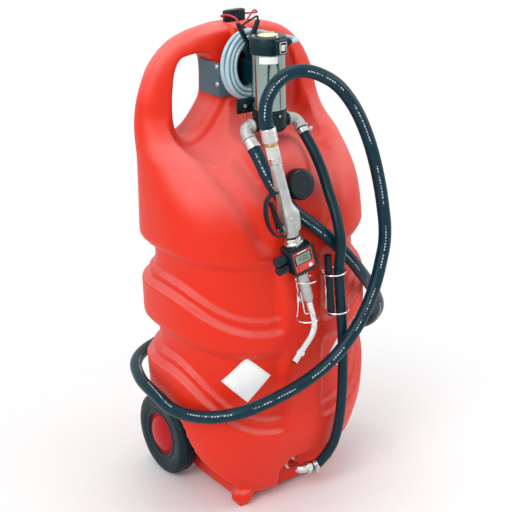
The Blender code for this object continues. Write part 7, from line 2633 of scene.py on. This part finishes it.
@dataclass
class Nozzle:
    """The hand nozzle: ferrule, swivel, cast body, guard and lever."""

    half_width: float = 0.0165
    ferrule: tuple[float, float] = (0.0165, 0.0312)
    collar: float = 0.005
    swivel_radius: float = 0.0135
    hex_length: float = 0.026
    section_shares: tuple[tuple[float, float, float], ...] = (
        (0.0, 0.90, 0.90), (0.02, 0.94, 0.94), (0.045, 0.96, 0.97), (0.06, 1.01, 1.02), (0.08, 1.04, 1.06),
        (0.17, 1.09, 1.14), (0.28, 1.16, 1.21), (0.320, 1.16, 1.20), (0.330, 1.14, 1.17), (0.385, 1.00, 1.05),
        (0.44, 0.86, 0.94), (0.47, 0.81, 0.90), (0.52, 0.78, 0.87), (0.60, 0.74, 0.83), (0.70, 0.715, 0.80),
        (0.80, 0.70, 0.78), (0.86, 0.705, 0.77), (0.92, 0.72, 0.76), (0.94, 0.76, 0.80), (0.955, 0.79, 0.79),
        (0.985, 0.79, 0.79), (1.0, 0.75, 0.75),
    )
    head_shift: float = 0.0030
    knob: tuple[float, float] = (-0.0045, 0.265)
    boss: tuple[float, float] = (-0.002, 0.25)
    lever_pivot: Point = (-0.079217, -0.205284, 0.683295)
    ear_radius: float = 0.0055
    ear_half: float = 0.0025
    guard_strap: tuple[float, float] = (0.0036, 0.0140)
    guard_route: tuple[tuple[float, float], ...] = (
        (0.0126, 0.100), (0.030, 0.099), (0.043, 0.087), (0.050, 0.062), (0.048, 0.034), (0.036, 0.013),
        (0.0168, 0.0045),
    )

    def build(self) -> None:
        """Build the nozzle from its hose end down."""
        at = nozzle_frame()
        radius, length = self.ferrule
        low = NOZZLE_LENGTH - length
        crimped("nozzle_ferrule", radius, length,
                at @ Matrix.Translation((0.0, 0.0, NOZZLE_LENGTH)) @ Matrix.Rotation(math.pi, 4, "X"))
        ring_low = low - self.collar - FIT
        self.brass_ring(at, ring_low, low - FIT)
        swivel_high = ring_low - FIT
        swivel_low = swivel_high - self.hex_length
        body_top = swivel_low - self.hex_length * 0.5
        parts = [hexagonal(self.swivel_radius * 2.0, swivel_low, swivel_high),
                 moved(hexagonal(self.swivel_radius * 1.8, body_top, swivel_low + FIT),
                       Matrix.Rotation(math.radians(30), 4, "Z"))]
        piece_of("swivel_hexes", joined(parts), PLATED, Body.SWIVEL, at, angle=30.0,
                 stands_for=("hose_swivel",))
        self.casting(at, body_top - FIT)
        self.guard(at)
        refined("nozzle_lever", BLACK_MOULDING, Body.LEVER, bevel=0.0009)

    def guard(self, at: Matrix) -> None:
        """Build the flat strap that guards the lever.

        Args:
            at: The nozzle's frame.
        """
        line = hermite([Vector((-out - 0.0004, 0.0, up)) for out, up in self.guard_route], 72)
        outline = rounded_outline(self.guard_strap[0], self.guard_strap[1], 0.0013, 3)
        rings = []
        for number, here in enumerate(line):
            along = (line[min(number + 1, len(line) - 1)] - line[max(number - 1, 0)]).normalized()
            out = Vector((along.z, 0.0, -along.x))
            rings.append([here + out * thick + Vector((0.0, wide, 0.0)) for thick, wide in outline])
        piece_of("guard_bow", lofted(rings), BLACK_MOULDING, Body.CADDY, at, angle=50.0,
                 stands_for=("lever_guard",))

    def brass_ring(self, at: Matrix, low: float, high: float) -> None:
        """Build the thin brass ring below the ferrule.

        Args:
            at: The nozzle's frame.
            low: Its lower end.
            high: Its upper end.
        """
        out = self.swivel_radius
        middle = (low + high) / 2.0
        profile = ((0.0, high), (out - 0.0006, high), (out, high - 0.0006), (out, middle + 0.0006),
                   (out - 0.0008, middle), (out, middle - 0.0006), (out, low + 0.0006), (out - 0.0006, low),
                   (0.0, low))
        piece_of("brass_ring", turned(profile, 64), BRASS, Body.CADDY, at,
                 stands_for=("swivel_ring",))

    def casting(self, at: Matrix, high: float) -> None:
        """Build the cast body: its skin with flattened flanks, its boss, cap and seam.

        Args:
            at: The nozzle's frame.
            high: Top of the casting.
        """
        rings = []
        sides = 56
        for share, wide, deep in self.section_shares:
            head = eased(share, 0.045, 0.10) * (1.0 - eased(share, 0.31, 0.46))
            square = 2.0 + 2.2 * head + 1.2 * eased(share, 0.36, 0.50) * (1.0 - eased(share, 0.86, 0.95))
            ring = []
            for number in range(sides):
                x, y = squared(2.0 * math.pi * number / sides, square)
                ring.append(Vector((x * wide * self.half_width + self.head_shift * head,
                                    y * deep * self.half_width, high * share)))
            rings.append(ring)
        parts = [lofted(rings)]
        for side in (-1.0, 1.0):
            line = [Vector((0.0, side * deep * self.half_width * 0.998, high * share))
                    for share, _, deep in self.section_shares[1:-3]]
            parts.append(tube(hermite(line, 60), 0.0007, 8))
        knob_at = facing((self.knob[0], -self.half_width * 1.05, high * self.knob[1]), (-0.12, -1.0, 0.0))
        parts.append(moved(turned(((0.0, 0.0052), (0.0030, 0.0048), (0.0044, 0.0036), (0.0050, 0.0018),
                                   (0.0056, -0.0040), (0.0, -0.0040)), 36), knob_at))
        boss_at = facing((self.half_width * 0.9, self.boss[0], high * self.boss[1]), (1.0, -0.15, 0.25),
                         AXIS_Y)
        parts.append(moved(turned(((0.0, 0.0062), (0.0088, 0.0062), (0.0098, 0.0052), (0.0102, 0.0),
                                   (0.0112, -0.0060), (0.0, -0.0060)), 48), boss_at))
        parts.append(moved(hexagonal(0.0112, 0.0060, 0.0098), boss_at))
        ear_at = at.inverted() @ Vector(self.lever_pivot)
        ear = moved(rod(self.ear_radius, -self.ear_half, self.ear_half, 0.0004, 32),
                    Matrix.Translation(ear_at) @ Matrix.Rotation(math.radians(90), 4, "X"))
        web = block((0.0250, self.ear_half * 2.0, self.ear_radius * 2.0), ear_at + Vector((0.0125, 0.0, 0.0)))
        parts += [ear, web]
        piece_of("nozzle_casting", joined(parts), CAST, Body.CADDY, at, angle=42.0,
                 stands_for=("nozzle_body",))


@dataclass
class Meter:
    """The digital meter with its rubber cover, red face, display and buttons."""

    size: float = 0.058
    depth: float = 0.043
    back: float = 0.0175
    turn: float = math.radians(-6)
    nut_radius: float = 0.0165
    nut_start: float = 0.0034
    nut_end: float = 0.020
    lug_radius: float = 0.0105
    lug_length: float = 0.026
    face: float = 0.051
    display: tuple[float, float] = (0.040, 0.024)
    ribs: int = 8
    lug_shares: tuple[float, float] = (0.32, -0.38)
    lug_bands: tuple[float, ...] = (0.35, 0.55, 0.75)
    digits: str = "1580"
    digit: tuple[float, float, float] = (0.0105, 0.0054, 0.0011)
    digit_gap: float = 0.0024
    ink: float = 0.0003
    ink_reach: float = 0.0004
    marks: int = 9
    mark_pitch: float = 0.0032
    mark: tuple[float, float] = (0.0020, 0.0009)
    mark_height: float = 0.0080

    @property
    def at(self) -> Matrix:
        """Return the meter's frame: origin at the valve end, its front towards -Y."""
        return spout_frame() @ Matrix.Rotation(self.turn, 4, "Z")

    @property
    def middle(self) -> float:
        """Return the height of the case's middle."""
        return -self.nut_end - FIT - self.size / 2.0

    @property
    def face_y(self) -> float:
        """Return how far forward the red face is."""
        return self.back - self.depth - FIT

    @property
    def glass_z(self) -> float:
        """Return the height of the display's middle."""
        return self.middle + self.face * 0.10

    def build(self) -> None:
        """Build the meter from its nut to its figures."""
        radius = self.nut_radius
        flange = -self.nut_end + radius * 0.5
        profile = ((0.0, flange + 0.0014), (radius * 0.86, flange + 0.0014), (radius * 0.90, flange + 0.0008),
                   (radius * 1.20, flange + 0.0002), (radius * 1.25, flange - 0.0010),
                   (radius * 1.25, -self.nut_end + 0.0008), (radius * 1.22, -self.nut_end),
                   (0.0, -self.nut_end))
        nut = moved(hexagonal(radius * 1.76, flange + 0.0012, -self.nut_start),
                    Matrix.Rotation(math.radians(12), 4, "Z"))
        piece_of("outlet_nut_turned", joined([nut, turned(profile, 64)]), PLATED, Body.CADDY,
                 spout_frame(), angle=30.0, stands_for=("outlet_nut",))
        refined("meter_cover", COVER_RUBBER, bevel=0.0008)
        self.cover_ribs()
        self.lugs()
        self.face_plate()
        self.figures()
        for word, body in (("left", Body.BUTTON_LEFT), ("right", Body.BUTTON_RIGHT)):
            finish = FACE_RED if word == "left" else BARE_WHITE
            refined("meter_button_" + word, finish, body, bevel=0.0004)

    def cover_ribs(self) -> None:
        """Lay rows of small ribs along the cover's four sides."""
        half = self.size / 2.0
        step = self.size * 0.74 / (self.ribs - 1)
        for word, side, turn in (("right", 1.0, 0.0), ("left", -1.0, 0.0), ("top", 1.0, 90.0),
                                 ("bottom", -1.0, 90.0)):
            detail = bevelled(block((0.0056, self.depth * 0.80, 0.0033)), 0.0010)
            start = Vector((side * half, self.back - self.depth * 0.66, -self.size * 0.37))
            spin = Matrix.Rotation(math.radians(turn), 4, "Y")
            matrix = self.at @ Matrix.Translation((0.0, 0.0, self.middle)) @ spin @ Matrix.Translation(start)
            layout = Layout(Repeat.ROW, count=self.ribs, step=(0.0, 0.0, step), matrix=matrix)
            repeated("cover_ribs_" + word, detail, layout, COVER_RUBBER, Body.CADDY)

    def lugs(self) -> None:
        """Build the ends of the two round lugs at the meter's side."""
        half = self.size / 2.0
        parts = []
        radius, length = self.lug_radius, self.lug_length
        end = ((0.0, length + 0.0002), (radius * 0.50, length + 0.0002), (radius * 0.56, length + 0.0008),
               (radius * 0.74, length + 0.0008), (radius * 0.80, length), (radius * 0.80, length - 0.002),
               (0.0, length - 0.002))
        band = ((radius * 0.96, -0.0010), (radius * 1.03, -0.0006), (radius * 1.03, 0.0006),
                (radius * 0.96, 0.0010), (radius * 0.96, -0.0010))
        for share in self.lug_shares:
            place = Matrix.Translation((-half, self.back - self.depth * 0.5, self.middle + half * share))
            matrix = self.at @ place @ Matrix.Rotation(math.radians(-90), 4, "Y")
            parts.append(moved(turned(end, 40), matrix))
            for along in self.lug_bands:
                parts.append(moved(turned(band, 40), matrix @ Matrix.Translation((0.0, 0.0, length * along))))
        piece_of("meter_lug_bands", joined(parts), COVER_RUBBER, Body.CADDY)

    def face_plate(self) -> None:
        """Finish the red face, its raised rim, the bare strip and the display."""
        refined("meter_face", FACE_RED, bevel=0.0004)
        size, face = self.size, self.face
        outer = (size - 0.0006, size - 0.0006, 0.0070)
        middle = (size - 0.0034, size - 0.0034, 0.0055)
        inner = (face - 0.0044, face - 0.0044, 0.0030)
        self.band("cover_lip", self.middle, COVER_RUBBER, Slot.RUBBER, (
            (*outer, -0.0046), (*outer, 0.0), (*middle, 0.0016), (*inner, 0.0016), (*inner, -0.0004)), 30.0)
        outer = (face - 0.0046, face - 0.0046, 0.0030)
        inner = (face - 0.0066, face - 0.0066, 0.0022)
        self.band("face_rim", self.middle, FACE_RED, Slot.METER_RED, (
            (*outer, -0.0002), (*outer, 0.0005), (*inner, 0.0005), (*inner, -0.0002)))
        strip = block((0.022, 0.0006, 0.0024), (0.0, self.face_y - 0.0001, self.middle + face * 0.385))
        piece_of("face_strip", strip, BARE_WHITE, Body.CADDY, self.at, bevel=0.0002)
        refined("meter_display", DISPLAY_GREY, bevel=0.0002)
        width, height = self.display
        outer = (width + 0.0004, height + 0.0004, 0.0012)
        inner = (width - 0.0046, height - 0.0026, 0.0006)
        self.band("display_frame", self.glass_z, BLACK_GLOSS, Slot.PLASTIC, (
            (*outer, -0.0002), (*outer, 0.0006), (*inner, 0.0008), (*inner, -0.0002)))

    def band(self, name: str, height: float, finish: Finish, slot: Slot,
             steps: Sequence[tuple[float, float, float, float]], angle: float = 35.0) -> None:
        """Build a closed band round the face.

        Args:
            name: Its name.
            height: Height of its middle.
            finish: Its finish.
            slot: The record's slot for it; not used.
            steps: Width, height, corner radius and reach forward of each of its rings.
            angle: Edges sharper than this many degrees stay sharp.
        """
        rings = []
        for wide, tall, corner, out in steps:
            rings.append([Vector((x, self.face_y - out, height + y))
                          for x, y in rounded_outline(wide, tall, corner)])
        piece_of(name, lofted(rings, closed=True), finish, Body.CADDY, self.at, angle=angle)

    def figures(self) -> None:
        """Lay plain seven-segment figures on the display."""
        segments = {
            "0": "abcdef", "1": "bc", "2": "abged", "3": "abgcd", "4": "fgbc", "5": "afgcd", "6": "afgedc",
            "7": "abc", "8": "abcdefg", "9": "abcdfg",
        }
        tall, wide, thick = self.digit
        places = {
            "a": (0.0, tall / 2.0, True), "g": (0.0, 0.0, True), "d": (0.0, -tall / 2.0, True),
            "f": (-wide / 2.0, tall / 4.0, False), "b": (wide / 2.0, tall / 4.0, False),
            "e": (-wide / 2.0, -tall / 4.0, False), "c": (wide / 2.0, -tall / 4.0, False),
        }
        parts = []
        pitch = wide + self.digit_gap
        out = self.face_y - self.ink_reach
        for number, digit in enumerate(self.digits):
            left = (number - (len(self.digits) - 1) / 2.0) * pitch
            for name in segments[digit]:
                x, z, flat = places[name]
                size = (wide - thick, self.ink, thick) if flat else (thick, self.ink, tall / 2.0 - thick)
                parts.append(block(size, (left + x, out, self.glass_z + z - 0.001)))
        for number in range(self.marks):
            across = (number - (self.marks - 1) / 2.0) * self.mark_pitch
            parts.append(block((self.mark[0], self.ink, self.mark[1]),
                               (across, out, self.glass_z + self.mark_height)))
        piece_of("display_figures", joined(parts), DIGIT_INK, Body.CADDY, self.at)


@dataclass
class Spout:
    """The bent spout below the meter, with its flattened collar and the nut near its tip."""

    radius: float = 0.0078
    bend: float = 0.040
    collar_radius: float = 0.0125
    collar_length: float = 0.084
    nut_share: float = 0.62
    top: float = -0.0783

    def build(self) -> None:
        """Build the spout."""
        at = spout_frame()
        start = at @ Vector((0.0, 0.0, self.top - FIT * 2.0))
        first = (SPOUT_BEND - start).normalized()
        second = (SPOUT_TIP - SPOUT_BEND).normalized()
        line = [start + first * self.collar_length / 2.0]
        line += rounded_corner(start, SPOUT_BEND, SPOUT_TIP, self.bend, 26)
        last = line[-1]
        lip = SPOUT_TIP - second * 0.0002
        line += [last.lerp(lip, 0.5), lip]
        wall = self.radius * 0.78
        pipe = tube(line, self.radius, 36)
        mouth = turned(((0.0, -self.radius * 3.0), (wall, -self.radius * 3.0), (wall, 0.0),
                        (wall + 0.0004, 0.0002), (self.radius - 0.0004, 0.0002), (self.radius, 0.0),
                        (self.radius, -0.0030), (wall, -0.0030)), 36)
        piece_of("spout_pipe", joined([pipe, moved(mouth, facing(SPOUT_TIP, second))]), BRIGHT, Body.CADDY,
                 angle=50.0, stands_for=("spout",))
        # A thin black disc over the solid pipe's bore: painted shade standing in for the dark inside of the open
        # spout
        hole = turned(((0.0, 0.00035), (wall, 0.00035), (wall, 0.0), (0.0, 0.0)), 36)
        piece_of("spout_mouth", moved(hole, facing(SPOUT_TIP, second)), LEAD_BLACK, Body.CADDY)
        out, length = self.collar_radius, self.collar_length
        collar = ((0.0, 0.0), (out - 0.0010, 0.0), (out, -0.0010), (out, -length * 0.10),
                  (out - 0.0010, -length * 0.11), (out - 0.0010, -length * 0.13), (out, -length * 0.14),
                  (out * 0.99, -length * 0.30), (out * 0.93, -length * 0.86), (out * 0.90, -length * 0.91),
                  (self.radius + 0.0008, -length * 0.98), (self.radius, -length), (0.0, -length))
        piece_of("spout_collar", turned(collar, 64), CAST, Body.CADDY, facing(start, -first))
        nut_at = facing(last.lerp(SPOUT_TIP, self.nut_share), second)
        half = self.radius * 0.6
        outer = self.radius * 1.4
        nut = ((self.radius, -half), (outer - 0.0006, -half), (outer, -half + 0.0006), (outer, half - 0.0006),
               (outer - 0.0006, half), (self.radius, half))
        piece_of("spout_ring", turned(nut, 48), BRIGHT, Body.CADDY, nut_at,
                 stands_for=("spout_nut",))


@dataclass
class Holders:
    """The two holders bent from wire, their clips, and the rest sleeve."""

    top: float = 0.556
    bottom: float = 0.467
    wire: float = 0.0018
    opening: float = math.radians(25)
    waist: float = 0.0055
    clip_height: float = 0.026
    rings: tuple[tuple[str, float, float, float], ...] = (
        ("left", -0.0137, -0.0120, 0.0240), ("right", 0.0600, 0.0660, 0.0262),
    )
    sleeve: tuple[Point, Point] = ((0.0508, -0.2070, 0.460), (0.0440, -0.2045, 0.598))
    sleeve_radius: float = 0.0078

    def build(self) -> None:
        """Build both holders and the sleeve."""
        for ring in self.rings:
            self.holder(*ring)
        low, high = (Vector(point) for point in self.sleeve)
        length = (high - low).length
        radius = self.sleeve_radius
        inner = radius - 0.0016
        groove = radius - 0.0006
        profile = ((inner, 0.0), (radius - 0.0004, 0.0), (radius, 0.0006), (radius, length * 0.40),
                   (groove, length * 0.41), (groove, length * 0.43), (radius, length * 0.44),
                   (radius, length - 0.0006), (radius - 0.0004, length), (inner, length), (inner, 0.0))
        piece_of("sleeve_tube", turned(profile, 40), BLACK_MOULDING, Body.CADDY,
                 facing(low, high - low), stands_for=("rest_sleeve",))

    def strip_y(self, height: float) -> float:
        """Return how far forward the strip down the tank's front is at a height.

        Args:
            height: The height.

        Returns:
            The strip's Y there.
        """
        shell = TankShell()
        rows = [shell.point(0.0, -1.0, row) for row in TANK_RING_SHARES]
        for low, high in zip(rows, rows[1:]):
            if low.z <= height <= high.z:
                return low.y + (high.y - low.y) * (height - low.z) / (high.z - low.z)
        return rows[-1].y

    def holder(self, word: str, high_x: float, low_x: float, radius: float) -> None:
        """Build one holder: a closed loop of wire through a clip.

        Args:
            word: Which one.
            high_x: Middle of its upper ring across.
            low_x: Middle of its lower ring across.
            radius: Radius of its rings.
        """
        back = self.wire + FIT * 2.0
        points = []
        steps = 40
        middle = (self.top + self.bottom) / 2.0
        centre = (high_x + low_x) / 2.0
        for height, centre_x, order in ((self.top, high_x, 1), (self.bottom, low_x, -1)):
            centre_y = self.strip_y(height) - back - radius * math.cos(self.opening)
            ring = []
            for number in range(steps + 1):
                angle = math.pi / 2.0 - self.opening - 2.0 * (math.pi - self.opening) * number / steps
                ring.append(Vector((centre_x + radius * math.cos(angle), centre_y + radius * math.sin(angle),
                                    height)))
            points += ring[::order]
            if order == 1:
                for up in (0.6, -0.6):
                    here = middle + self.clip_height * up
                    points.append(Vector((centre - self.waist, self.strip_y(here) - back, here)))
        for up in (-0.6, 0.6):
            here = middle + self.clip_height * up
            points.append(Vector((centre + self.waist, self.strip_y(here) - back, here)))
        piece_of("holder_wire_" + word, tube(softened(points), self.wire, 14, closed=True), CHROME,
                 Body.CADDY, angle=70.0, stands_for=("wire_holder_" + word,))
        refined("holder_clip_" + word, CHROME, bevel=0.0003)
        face = self.strip_y(middle) - back - self.wire * 2.0 - FIT * 2.0
        spots = [((centre, face - 0.0016, middle + side * self.clip_height * 0.28), FRONT)
                 for side in (-1.0, 1.0)]
        CLIP_SCREW.place("clip_screws_" + word, spots)


def softened(points: Sequence[Vector]) -> list[Vector]:
    """Return a closed loop of points with each sharp corner cut twice.

    Args:
        points: The loop's points.

    Returns:
        The loop with its corners cut.
    """
    loop = list(points)
    for _ in range(2):
        finer = []
        for number, here in enumerate(loop):
            after = loop[(number + 1) % len(loop)]
            before = loop[number - 1]
            turn = (after - here).angle((here - before), 0.0)
            if turn < CORNER_FROM:
                finer.append(here)
                continue
            reach = min(CORNER_SHARE, CORNER_REACH / max((after - here).length, MERGE))
            back_reach = min(CORNER_SHARE, CORNER_REACH / max((here - before).length, MERGE))
            finer.append(here.lerp(before, back_reach))
            finer.append(here.lerp(after, reach))
        loop = finer
    return loop


def main() -> None:
    """Build the studio, then the cords, then the rest of the caddy's looks."""
    logging.basicConfig(level=logging.INFO, format="%(name)s: %(message)s")
    Studio().build()
    for part in (PowerLead(), Hoses(), TankShell(), FillerCap(), Wheels(), PumpSet(), Nozzle(), Meter(),
                 Spout(), Holders()):
        part.build()


if __name__ == "__main__":
    main()
